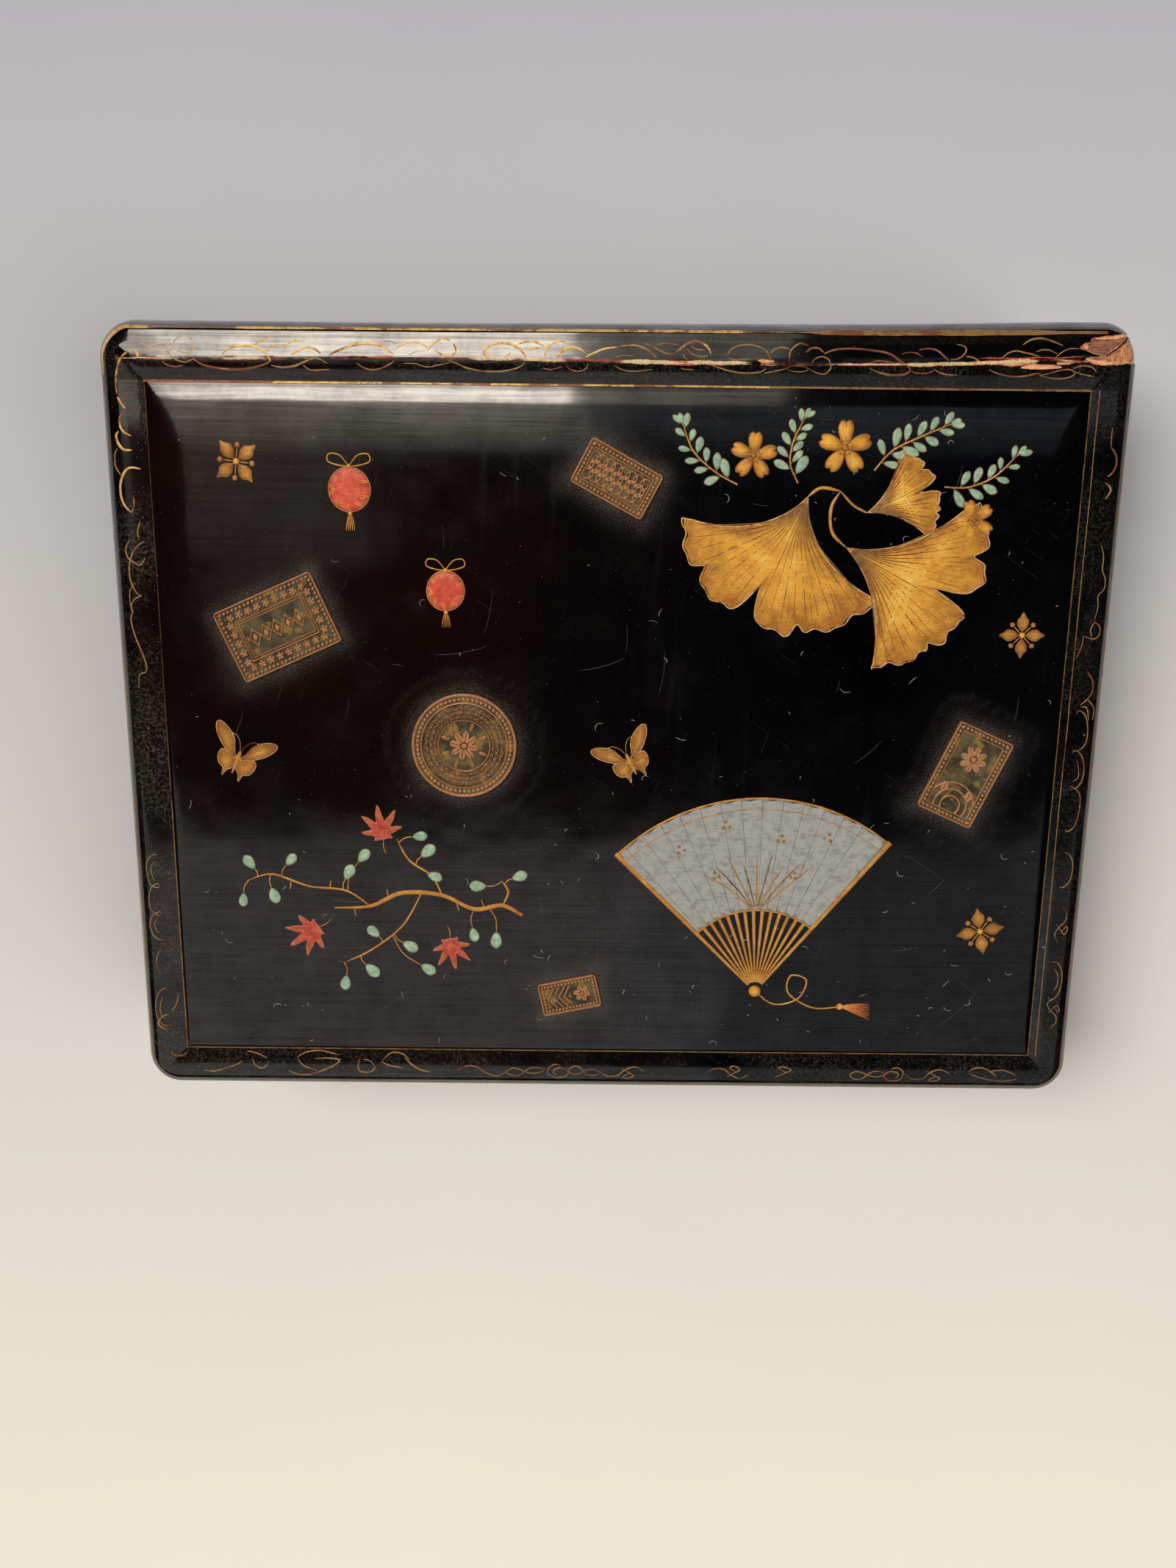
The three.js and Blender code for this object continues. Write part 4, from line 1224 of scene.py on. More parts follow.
for it in loop + [loop[0]]:
    s = it[0]
    p, nn = rim_point(it)
    kd, w = "gold_dull", 0.5
    if s == "rear":
        kd, w = ("gold_line" if p.x < 40 else "gold_brass"), 0.80
        if -105.5 < p.x < -86.5:
            kd, w = "gold_copper", 0.6
        w *= 1 - 0.72 * span(p.x, 30, 44, 3) + 0.95 * span(p.x, 46, 98, 5) + 0.3 * smooth(-104, -108, p.x)
    elif s == "corner1":
        kd, w = "gold_line", 1.15 + 0.55 * math.sin(math.pi * it[1])
    elif s == "left":
        w = 0.34 if p.y > -20 else 0.5
        if n1(p.y * 0.07, 15) > 0.22 and p.y > -50:
            kd = None
        if p.y > 82.5:
            kd, w = "gold_line", 1.1
    elif s in ("corner2", "corner3"):
        w = 0.6 + 0.6 * math.sin(math.pi * it[1])
    elif s == "right":
        w = 0.55
    if s == "corner0" or (s == "right" and p.y > 84.5):
        kd = None                                # lost with the broken corner
    if s == "rear" and p.x > 108:
        w = 0.85 * (1 - smooth(110, 116, p.x))
    w *= 1 + 0.22 * n1(p.x * 0.09 + p.y * 0.13, 8) + 0.14 * n1(p.x * 0.5 + p.y * 0.5, 9)
    if kd != kind:
        if run and kd is not None and kind is not None:
            run.append(((p, nn), w))
        flush()
        kind = kd
    if kd is not None:
        run.append(((p, nn), w))
flush()

# the line round the panel
for side in ("rear", "front", "left", "right"):
    hx = VX if side in ("rear", "front") else VH
    m = int(2 * hx / 1.5)
    pts, ws, kinds = [], [], []
    for i in range(m + 1):
        u = -hx + 2 * hx * i / m
        off = 0.05 + 0.10 * n1(u * 0.05, 4) + 0.05 * n1(u * 0.35, 6)
        if side == "rear":
            q = Vector((u, VR - 0.1 + off, 0))
        elif side == "front":
            q = Vector((-u, VF + 0.15 - off * 0.6, 0))
        elif side == "left":
            q = Vector((-VX + 0.15 - off * 0.6, VC + u, 0))
        else:
            q = Vector((VX - 0.15 + off * 0.6, VC - u, 0))
        q.z = panel_z(q.x, q.y) + 0.05
        out = Vector((q.x / VX if side in ("left", "right") else 0, (q.y - VC) / VH if side in ("rear", "front") else 0, 1.2)).normalized()
        pts.append((q, out))
        base_w = {"rear": 0.78, "front": 0.42, "left": 0.16, "right": 0.5}[side]
        ws.append(base_w * (1 + 0.2 * n1(u * 0.4, 2)))
        if side == "left":
            ws[-1] = lerp(0.05, 0.62, smooth(10, -60, q.y))
        kinds.append("gold_copper" if side == "rear" and u < -87.5 else "gold_line" if side == "rear" and u < 34 else "gold_dull")
    a = 0
    for i in range(1, m + 2):
        if i > m or kinds[i] != kinds[a]:
            ribbon(groups[kinds[a]], pts[a:min(i + 1, m + 1)], ws[a:min(i + 1, m + 1)], 0.1, 0.3)
            a = i
# a second, fainter line on the right rail
pts = []
for i in range(90):
    y = lerp(VR, VF, i / 89)
    x = VX + 1.75 + 0.12 * n1(y * 0.06, 3)
    pts.append((Vector((x, y, panel_z(x, y) + 0.02)), Vector((0, 0, 1))))
ribbon(groups["gold_dull"], pts, 0.22, 0.05)
groups["gold_copper"].make("gold_lines_copper", MAT["gold_copper"], "lid", slot="black_lacquer", smooth_angle=60)
groups["gold_brass"].make("gold_lines_brass", MAT["gold_brass"], "lid", slot="black_lacquer", smooth_angle=60)
groups["gold_line"].make("gold_lines", MAT["gold_line"], "lid", slot="black_lacquer", smooth_angle=60)
groups["gold_dull"].make("gold_lines_worn", MAT["gold_dull"], "lid", slot="black_lacquer", smooth_angle=60)


# ---------------------------------------------------------------- scrolls
def motif(rng, kind, L):
    """One freehand figure as strokes of ((along mm, across -1..1) points, weight)."""
    out = []
    j = lambda k=0.07: rng.uniform(-k, k)
    if kind == "lens":
        out.append(([(0, 0.0), (0.14 * L, 0.42 + j()), (0.40 * L, 0.74 + j()), (0.70 * L, 0.60 + j()), (0.93 * L, 0.12), (1.01 * L, -0.22)], 1.0))
        out.append(([(-0.02 * L, 0.22), (0.12 * L, -0.38 + j()), (0.42 * L, -0.82 + j()), (0.74 * L, -0.70 + j()), (0.96 * L, -0.20), (0.90 * L, 0.06)], 0.9))
    elif kind == "half":
        out.append(([(0, -0.1), (0.12 * L, 0.38 + j()), (0.42 * L, 0.68 + j()), (0.76 * L, 0.46 + j()), (L, -0.16), (0.95 * L, -0.42)], 1.0))
        out.append(([(0.30 * L, -0.30), (0.52 * L, -0.72 + j()), (0.82 * L, -0.66), (1.02 * L, -0.30)], 0.7))
    elif kind == "eight":
        s = rng.choice((1, -1))
        out.append(([(0, -0.05 * s), (0.18 * L, 0.22 * s), (0.42 * L, 0.14 * s), (0.60 * L, -0.14 * s), (0.82 * L, -0.24 * s), (0.99 * L, 0.08 * s),
                     (0.86 * L, 0.46 * s), (0.66 * L, 0.44 * s), (0.54 * L, 0.08 * s), (0.38 * L, -0.26 * s), (0.16 * L, -0.32 * s), (-0.04 * L, -0.08 * s)], 0.75))
    elif kind == "commas":
        n = rng.choice((2, 3, 3, 4))
        w = L / (n + 0.3)
        up = rng.choice((1, 1, -1))
        for k in range(n):
            h = 0.60 + j(0.12) - 0.10 * k * up
            out.append(([(k * w, -0.12 * up + j()), (k * w + 0.22 * w, 0.42 * h * up), (k * w + 0.62 * w, 0.95 * h * up), (k * w + 1.12 * w, 0.86 * h * up),
                         (k * w + 1.30 * w, 0.52 * h * up)], 0.8))
        out.append(([(0, -0.30 * up), (0.3 * L, -0.52 * up + j()), (0.62 * L, -0.34 * up), (0.92 * L, -0.02), (L, 0.26 * up)], 0.65))
    elif kind == "curl":
        s = rng.choice((1, -1))
        pts = []
        for i in range(13):
            a = math.pi * (1.15 - 2.5 * i / 12)
            rr = 1 - 0.56 * i / 12
            pts.append((0.48 * L + 0.46 * L * rr * math.cos(a), s * 0.62 * rr * math.sin(a) + 0.08 * s))
        out.append((pts, 0.8))
        out.append(([(0.02 * L, 0.0), (0.10 * L, -0.40 * s), (0.32 * L, -0.66 * s), (0.56 * L, -0.50 * s)], 0.6))
    elif kind == "scallop":
        out.append(([(0.02 * L, -0.40 + j()), (0.05 * L, 0.05), (0.24 * L, 0.48 + j()), (0.55 * L, 0.58 + j()), (0.86 * L, 0.30), (1.0 * L, -0.26), (0.93 * L, -0.48)], 1.0))
        if rng.random() < 0.6:
            out.append(([(0.22 * L, -0.22), (0.34 * L, 0.12 + j()), (0.58 * L, 0.20 + j()), (0.78 * L, -0.08)], 0.55))
    elif kind == "ripple":
        s = rng.choice((1, -1))
        out.append(([(0, 0.1 * s), (0.2 * L, 0.50 * s), (0.42 * L, 0.20 * s), (0.6 * L, -0.34 * s), (0.82 * L, -0.40 * s), (L, 0.05 * s)], 0.8))
        out.append(([(0.30 * L, -0.10 * s), (0.46 * L, -0.48 * s), (0.36 * L, -0.62 * s), (0.22 * L, -0.36 * s), (0.34 * L, -0.02 * s), (0.52 * L, 0.36 * s)], 0.6))
    return out


RUNS = {"rear": (("lens", 15), ("commas", 13), ("eight", 9), ("half", 14), ("curl", 8), ("lens", 13), ("commas", 11)),
        "left": (("scallop", 10), ("scallop", 8), ("curl", 6), ("scallop", 12)),
        "right": (("scallop", 9), ("scallop", 12), ("ripple", 9), ("scallop", 8)),
        "front": (("ripple", 12), ("curl", 6), ("commas", 12), ("scallop", 9), ("eight", 9), ("ripple", 14))}


def figures(rng, side, length):
    """Figures one after another along a side: (start, length, kind)."""
    out, u, last = [], 0.0, None
    while u < length - 5:
        kind, L = rng.choice(RUNS[side])
        if kind == last and kind in ("lens", "eight", "curl"):
            continue
        last = kind
        L *= rng.uniform(0.85, 1.2)
        if u + L > length:
            L = length - u
        out.append((u, L, kind))
        u += L + rng.choice((-1.2, -0.4, 0.0, 0.8, 2.5 if side == "rear" else 1.2, 5.0 if side != "rear" else 0.6))
    return out


def rail_map(side, half):
    """Maps (along, across) to the lid: across -1 is near the panel and 1 near the outer line."""
    def f(u, v):
        if side == "rear":
            return on_lid(min(110.0, u), 85.9 + 3.9 * v)
        if side == "front":
            return on_lid(-u, VF - 5.3 - 2.9 * v)
        if side == "left":
            return on_lid(-VX - 5.4 - 2.9 * v, u)
        return on_lid(VX + 4.9 + 2.8 * v, -u)
    return f


# the border's tendrils: (tone, width, plan points), freehand, one after another
BORDER = [
    ("b", 0.49, [(-114.7, 76.6), (-114.7, 79.8), (-113.8, 83.4), (-112.4, 85.2), (-110.4, 86.2)]),
    ("b", 0.57, [(-109.8, 86.2), (-109.4, 85.5), (-109.1, 84.4)]),
    ("p", 0.28, [(-108.7, 85.8), (-107.5, 86.8), (-105.6, 87.4), (-103.4, 87.5), (-101.9, 87.2), (-101.2, 86.7), (-102.7, 85.9), (-104.6, 85.9), (-106.4, 86.8), (-107.8, 87.5), (-109.3, 87.4), (-110.0, 86.4)]),
    ("p", 0.33, [(-101.4, 87.0), (-100.7, 88.4), (-99.2, 89.3), (-97.7, 89.3), (-96.6, 88.4)]),
    ("p", 0.41, [(-101.2, 87.0), (-99.8, 86.1), (-97.5, 85.9), (-96.3, 86.7), (-96.3, 87.6), (-97.2, 88.1)]),
    ("c", 0.33, [(-102.4, 85.9), (-101.0, 84.4), (-98.8, 83.7), (-97.3, 84.1), (-96.3, 84.6)]),
    ("c", 0.33, [(-103.8, 83.9), (-102.6, 83.0), (-100.7, 82.7), (-99.1, 83.0)]),
    ("c", 0.45, [(-96.6, 84.4), (-94.7, 83.2), (-91.4, 82.5), (-87.3, 82.2), (-83.5, 82.6), (-80.5, 83.4), (-79.1, 84.2)]),
    ("b", 0.61, [(-79.1, 84.1), (-80.0, 85.7), (-81.8, 86.9), (-84.4, 87.4), (-87.0, 87.2), (-88.9, 86.4), (-90.1, 85.5)]),
    ("b", 0.41, [(-82.6, 87.3), (-82.0, 88.1), (-80.3, 89.0), (-78.4, 89.5)]),
    ("b", 0.41, [(-79.8, 86.1), (-78.9, 87.2), (-77.3, 87.8), (-75.9, 87.7), (-75.6, 87.1), (-76.1, 85.7)]),
    ("b", 0.45, [(-75.3, 87.7), (-74.3, 88.4), (-73.0, 88.7), (-71.9, 88.5)]),
    ("b", 0.57, [(-74.3, 85.5), (-72.5, 86.6), (-70.7, 87.2), (-69.0, 86.8), (-67.6, 85.8)]),
    ("c", 0.49, [(-79.0, 83.2), (-76.8, 82.8), (-73.8, 83.1), (-71.5, 84.0), (-69.6, 84.7), (-67.8, 84.6), (-66.2, 83.7)]),
    ("d", 0.33, [(-71.8, 83.3), (-70.1, 82.3), (-67.9, 82.3), (-65.8, 82.5)]),
    ("b", 0.69, [(-65.8, 85.4), (-64.3, 86.3), (-62.0, 87.2), (-59.7, 87.9), (-57.1, 88.2), (-54.5, 87.9), (-52.7, 87.0), (-51.2, 85.9)]),
    ("c", 0.33, [(-59.5, 83.9), (-58.0, 82.9), (-55.8, 82.5), (-53.5, 83.0), (-51.6, 84.0), (-50.9, 84.7)]),
    ("c", 0.24, [(-53.4, 88.6), (-51.9, 88.7), (-50.1, 88.1)]),
    ("b", 0.41, [(-50.8, 86.9), (-49.3, 87.9), (-47.1, 88.6), (-45.2, 88.4), (-43.7, 87.6), (-42.9, 87.1)]),
    ("b", 0.28, [(-47.7, 85.7), (-46.0, 86.5), (-43.8, 86.7)]),
    ("b", 0.53, [(-43.4, 86.7), (-42.2, 88.2), (-40.7, 89.2), (-39.4, 89.4), (-38.3, 88.9)]),
    ("b", 0.57, [(-37.5, 88.3), (-37.0, 87.2), (-37.4, 86.1), (-38.8, 85.6), (-40.4, 86.0), (-41.7, 87.0)]),
    ("c", 0.37, [(-38.6, 84.7), (-36.7, 84.0), (-34.5, 83.1), (-31.1, 82.5), (-27.8, 82.4), (-24.4, 82.8), (-22.2, 83.6), (-21.3, 84.5)]),
    ("b", 0.65, [(-21.1, 84.8), (-21.4, 86.1), (-22.5, 87.3), (-24.4, 88.3), (-26.6, 88.6), (-28.9, 88.2), (-30.4, 87.1), (-30.4, 86.0), (-29.2, 85.3), (-27.6, 85.3)]),
    ("b", 0.41, [(-26.0, 85.4), (-25.3, 85.9), (-24.5, 86.4)]),
    ("b", 0.53, [(-22.9, 88.4), (-21.0, 88.9), (-18.8, 88.9), (-16.9, 87.9)]),
    ("b", 0.37, [(-21.0, 86.9), (-19.6, 87.5), (-17.6, 87.7)]),
    ("b", 0.57, [(-16.8, 85.7), (-16.4, 87.2), (-15.3, 88.5), (-13.6, 89.2), (-11.7, 88.8)]),
    ("b", 0.61, [(-14.0, 85.3), (-13.2, 86.6), (-11.7, 87.6), (-9.9, 87.8), (-8.4, 87.3), (-7.5, 86.5)]),
    ("d", 0.24, [(-17.3, 83.2), (-15.1, 83.0), (-12.5, 83.7)]),
    ("c", 0.28, [(-12.1, 83.9), (-10.6, 82.9), (-8.7, 82.7), (-7.2, 83.4), (-6.9, 84.3)]),
    ("d", 0.24, [(-49.0, 83.9), (-46.4, 83.9), (-43.5, 83.2), (-41.2, 83.6), (-38.2, 84.2)]),
    ("b", 0.49, [(-7.5, 85.7), (-5.7, 86.6), (-3.1, 87.6), (-0.1, 88.0)]),
    ("g", 0.53, [(0.3, 88.2), (3.6, 88.4), (5.9, 87.8), (7.6, 86.8), (8.6, 85.7)]),
    ("c", 0.24, [(-0.8, 85.8), (1.1, 86.2), (3.6, 86.0)]),
    ("g", 0.37, [(5.9, 88.8), (7.3, 88.4), (9.2, 87.4), (11.1, 86.7), (12.7, 86.8)]),
    ("g", 0.33, [(8.5, 88.6), (10.7, 88.9), (12.6, 88.7), (14.1, 88.3)]),
    ("b", 0.57, [(12.9, 86.9), (14.4, 88.1), (15.9, 89.0), (17.7, 89.5), (19.4, 88.8), (20.5, 87.8), (21.0, 86.6)]),
    ("g", 0.33, [(16.3, 88.5), (17.8, 87.7), (19.6, 87.6)]),
    ("g", 0.33, [(15.6, 87.6), (17.1, 86.5), (19.0, 86.1), (20.5, 86.4)]),
    ("d", 0.28, [(14.7, 86.5), (15.0, 85.9), (15.7, 85.4)]),
    ("g", 0.37, [(24.7, 86.5), (25.6, 87.8), (27.4, 88.6), (29.7, 88.8), (31.9, 88.4), (33.4, 87.6), (34.2, 86.5), (34.5, 85.6)]),
    ("c", 0.24, [(24.9, 85.9), (26.8, 85.5), (30.2, 85.8)]),
    ("g", 0.45, [(34.5, 86.9), (35.3, 87.8), (37.1, 88.3), (38.9, 88.0)]),
    ("g", 0.37, [(38.8, 85.3), (38.9, 87.1), (39.7, 88.3), (41.2, 89.2), (43.1, 88.7)]),
    ("g", 0.49, [(42.6, 87.3), (43.8, 88.2), (45.3, 88.2), (46.6, 87.3)]),
    ("g", 0.49, [(46.7, 87.0), (48.3, 87.7), (50.5, 88.1), (53.1, 88.2), (55.3, 88.1), (58.0, 87.9)]),
    ("g", 0.53, [(55.9, 88.0), (58.1, 87.8), (60.4, 87.5), (62.3, 86.8), (63.8, 85.8), (65.2, 85.0)]),
    ("g", 0.45, [(65.2, 85.0), (66.3, 84.0), (66.1, 83.2), (64.8, 82.7), (62.6, 82.6), (59.9, 83.0), (57.2, 83.9)]),
    ("g", 0.37, [(43.9, 85.0), (44.7, 85.9), (46.2, 86.4), (47.7, 85.8), (48.2, 84.7), (48.2, 83.7), (47.1, 82.7), (45.2, 82.9), (43.3, 83.8)]),
    ("d", 0.24, [(-0.8, 84.0), (0.4, 83.3), (2.6, 82.8), (5.2, 82.9), (7.8, 83.3)]),
    ("d", 0.20, [(14.2, 83.5), (15.7, 83.3), (17.2, 83.3)]),
    ("c", 0.33, [(20.9, 84.3), (23.1, 83.7), (25.4, 83.1), (28.4, 82.7), (32.1, 82.9), (33.7, 83.7)]),
    ("c", 0.28, [(33.3, 82.7), (35.9, 83.2), (38.2, 83.7)]),
    ("d", 0.24, [(38.1, 83.8), (39.5, 84.3), (41.8, 84.2), (43.3, 83.7), (41.9, 83.1), (39.6, 83.2), (38.1, 83.8)]),
    ("d", 0.28, [(64.3, 87.1), (65.6, 87.5), (67.5, 87.4), (69.0, 86.6)]),
    ("g", 0.41, [(68.2, 88.1), (70.4, 88.4), (72.3, 88.0), (73.8, 86.9), (75.1, 85.8)]),
    ("d", 0.33, [(75.4, 86.0), (77.2, 86.3), (78.5, 87.3), (78.9, 88.4), (78.1, 89.1), (76.6, 89.4)]),
    ("g", 0.37, [(78.9, 86.8), (80.4, 86.6), (82.1, 85.8)]),
    ("g", 0.33, [(66.6, 83.5), (68.1, 83.1), (70.4, 83.1), (71.9, 83.7)]),
    ("g", 0.37, [(71.7, 84.0), (73.4, 83.2), (75.3, 82.8), (77.3, 82.8)]),
    ("g", 0.37, [(84.3, 84.0), (86.5, 83.2), (89.5, 82.6), (92.5, 82.7), (95.1, 83.2), (96.4, 83.3)]),
    ("d", 0.37, [(87.1, 86.4), (88.3, 87.5), (90.1, 88.1), (92.4, 87.7), (94.3, 87.3), (95.7, 86.8)]),
    ("d", 0.45, [(91.7, 89.4), (93.3, 90.5), (95.5, 90.9), (97.7, 90.5), (100.7, 89.4)]),
    ("d", 0.33, [(94.8, 87.9), (96.1, 88.4), (97.9, 88.3), (99.6, 87.5)]),
    ("d", 0.28, [(99.2, 86.7), (100.6, 87.9), (102.4, 88.7), (104.5, 88.7)]),
    ("g", 0.33, [(95.8, 82.9), (98.5, 82.4), (101.5, 82.3), (103.5, 82.8), (104.0, 83.5), (102.8, 84.2), (100.6, 84.0), (98.0, 83.3), (96.2, 82.9)]),
    ("g", 0.33, [(103.5, 84.4), (105.3, 85.0), (107.6, 84.8), (108.9, 83.7)]),
    ("g", 0.33, [(104.0, 83.7), (105.9, 83.2), (108.4, 82.8)]),
    ("d", 0.24, [(57.2, 85.2), (59.0, 85.6), (61.6, 85.4), (63.1, 85.1)]),
    ("b", 0.54, [(-114.6, 76.0), (-113.9, 74.7), (-113.0, 73.5)]),
    ("b", 0.49, [(-113.3, 72.9), (-114.4, 71.5), (-114.4, 69.4), (-113.4, 68.1), (-112.1, 67.5)]),
    ("b", 0.65, [(-114.9, 68.5), (-115.6, 67.4), (-115.1, 65.6), (-113.9, 64.4), (-112.2, 64.3)]),
    ("c", 0.38, [(-115.5, 64.6), (-116.3, 63.2), (-116.3, 60.7), (-115.0, 58.6)]),
    ("b", 0.59, [(-110.6, 60.1), (-112.5, 60.4), (-114.0, 59.6), (-115.3, 56.8), (-115.4, 54.0), (-114.6, 51.7), (-113.1, 50.2)]),
    ("c", 0.32, [(-113.1, 50.2), (-112.5, 52.1), (-112.5, 54.0)]),
    ("d", 0.32, [(-111.4, 48.4), (-112.1, 46.0), (-112.0, 44.2)]),
    ("d", 0.38, [(-113.9, 44.1), (-115.1, 42.2), (-114.9, 40.1), (-113.6, 38.9), (-112.1, 38.2), (-110.8, 39.9)]),
    ("d", 0.38, [(-110.8, 43.7), (-113.1, 41.8), (-114.4, 38.9), (-114.7, 36.5), (-114.4, 34.1), (-113.3, 31.7), (-112.2, 31.0)]),
    ("d", 0.38, [(-113.6, 34.1), (-114.8, 32.2), (-115.0, 29.3), (-114.6, 27.3), (-115.1, 25.4), (-114.5, 22.0), (-113.3, 18.5), (-112.3, 15.1), (-112.4, 13.1), (-114.0, 12.1), (-114.3, 9.1)]),
    ("d", 0.32, [(-112.2, 31.0), (-113.9, 30.2), (-115.0, 28.3)]),
    ("g", 0.49, [(114.0, 67.3), (115.3, 65.7), (115.7, 63.9), (115.2, 62.0), (113.9, 60.7)]),
    ("g", 0.54, [(113.5, 59.4), (114.6, 58.5), (114.9, 57.4), (113.9, 55.7)]),
    ("d", 0.27, [(113.9, 71.6), (113.9, 69.4), (114.0, 67.3)]),
    ("d", 0.32, [(114.0, 45.1), (114.8, 42.8), (114.9, 39.4), (115.8, 37.5), (115.8, 35.1), (114.5, 33.4), (114.7, 30.8), (114.1, 27.6)]),
    ("d", 0.32, [(114.2, 27.3), (115.7, 26.1), (115.7, 24.2), (114.3, 23.3), (112.0, 23.9)]),
    ("d", 0.27, [(114.2, 27.3), (113.5, 25.4), (114.0, 23.7)]),
    ("d", 0.27, [(112.0, 23.9), (111.8, 21.4), (110.8, 18.5)]),
    ("d", 0.38, [(113.9, 15.3), (115.3, 13.1), (115.4, 10.6), (114.4, 8.8), (112.9, 7.4)]),
    ("d", 0.38, [(114.4, 8.8), (116.3, 6.6), (116.3, 3.7)]),
    ("d", 0.32, [(113.0, 7.0), (114.5, 6.6), (115.2, 3.6)]),
    ("d", 0.39, [(-104.4, -90.0), (-101.7, -90.3), (-98.7, -89.4), (-96.3, -88.6), (-94.5, -87.5)]),
    ("d", 0.39, [(-91.8, -87.0), (-90.9, -88.6), (-89.0, -89.3), (-87.5, -87.5)]),
    ("d", 0.29, [(-93.2, -84.9), (-90.8, -85.4), (-87.9, -86.7)]),
    ("c", 0.44, [(-82.5, -89.8), (-80.4, -90.9), (-77.0, -91.0), (-74.0, -89.9), (-71.1, -88.6), (-69.3, -87.0), (-72.4, -86.5), (-75.8, -86.7)]),
    ("d", 0.39, [(-80.2, -86.3), (-77.7, -85.0), (-73.8, -84.7), (-69.5, -85.7)]),
    ("d", 0.34, [(-80.2, -86.6), (-78.3, -88.7), (-75.0, -89.8)]),
    ("c", 0.39, [(-64.0, -86.7), (-64.5, -88.3), (-64.1, -89.8), (-61.9, -90.2), (-60.2, -89.0), (-61.3, -87.2), (-63.2, -86.7)]),
    ("d", 0.34, [(-58.4, -87.4), (-56.0, -88.4), (-53.1, -88.8)]),
    ("d", 0.34, [(-58.4, -87.2), (-55.9, -85.0), (-53.0, -85.3), (-51.1, -86.8)]),
    ("c", 0.44, [(-52.6, -86.0), (-50.7, -87.9), (-48.3, -89.4), (-45.9, -89.9)]),
    ("c", 0.44, [(-112.6, -74.8), (-114.3, -75.4), (-115.4, -77.2), (-114.5, -78.4), (-113.1, -78.9)]),
    ("d", 0.29, [(-109.9, -69.4), (-110.5, -72.0), (-111.8, -74.0)]),
    ("d", 0.39, [(-112.5, -84.9), (-112.1, -85.9), (-110.2, -86.3), (-108.7, -85.4)]),
]


def make_scrolls():
    rng = random.Random(23)
    bags = {k: Bag() for k in "bpcgd"}
    for key, w, ctrl in BORDER:
        stroke(bags[key], ctrl, w * 0.98, on_lid, (0.45, 0.4), max(30, 10 * len(ctrl)), 0.05)
    # the worn stretches of the other rails
    for side, a, b, w in (("left", -84, -26, 0.26), ("front", -106, 44, 0.30), ("right", -6, 76, 0.27)):
        f = rail_map(side, 0)
        for u0, L, kind in figures(rng, side, b - a):
            flip = rng.random() < 0.35
            lost = rng.random() < {"left": 0.4, "front": 0.15, "right": 0.3}[side]
            for ctrl, k in motif(rng, kind, L):
                if lost and rng.random() < 0.6:
                    continue
                pts = [(a + u0 + (L - p if flip else p) + rng.uniform(-0.15, 0.15), q + rng.uniform(-0.03, 0.03)) for p, q in ctrl]
                key = "c" if rng.random() < 0.35 and side == "front" else "d"
                stroke(bags[key], pts, w * (0.62 + 0.5 * k) * rng.uniform(0.85, 1.15), f, (0.4, 0.35), 42, 0.05)
    for key, mat, name in (("b", "gold_scroll", ""), ("p", "gold_pale", "_pale"), ("c", "gold_bronze", "_bronze"), ("g", "gold_brass", "_brass"), ("d", "gold_dull", "_worn")):
        bags[key].make("scroll_ornament" + name, MAT[mat], "lid", slot="black_lacquer", smooth_angle=60)


make_scrolls()


# ---------------------------------------------------------------- painted ornament
ART = {k: Bag() for k in ("gold_art", "gold_deep", "gold_vein", "gold_brown", "green", "red", "vermilion", "slate_blue")}


def frame2(cx, cy, ang, k=1.0):
    c, s = math.cos(ang) * k, math.sin(ang) * k
    return lambda x, y: (cx + x * c - y * s, cy + x * s + y * c)


def loop_stroke(bag, outline, w, height=0.10, lift=0.0, part=(0.0, 1.0)):
    n = len(outline)
    a, b = int(part[0] * n), int(part[1] * n)
    pts, ws = [], []
    for i in range(a, b + 1):
        x, y = outline[i % n]
        q, nn = plan(x, y, lift)
        pts.append((q, nn))
        ws.append(w * (1 + 0.25 * n1(i * 0.35 + x, 5)))
    ribbon(bag, pts, ws, height)


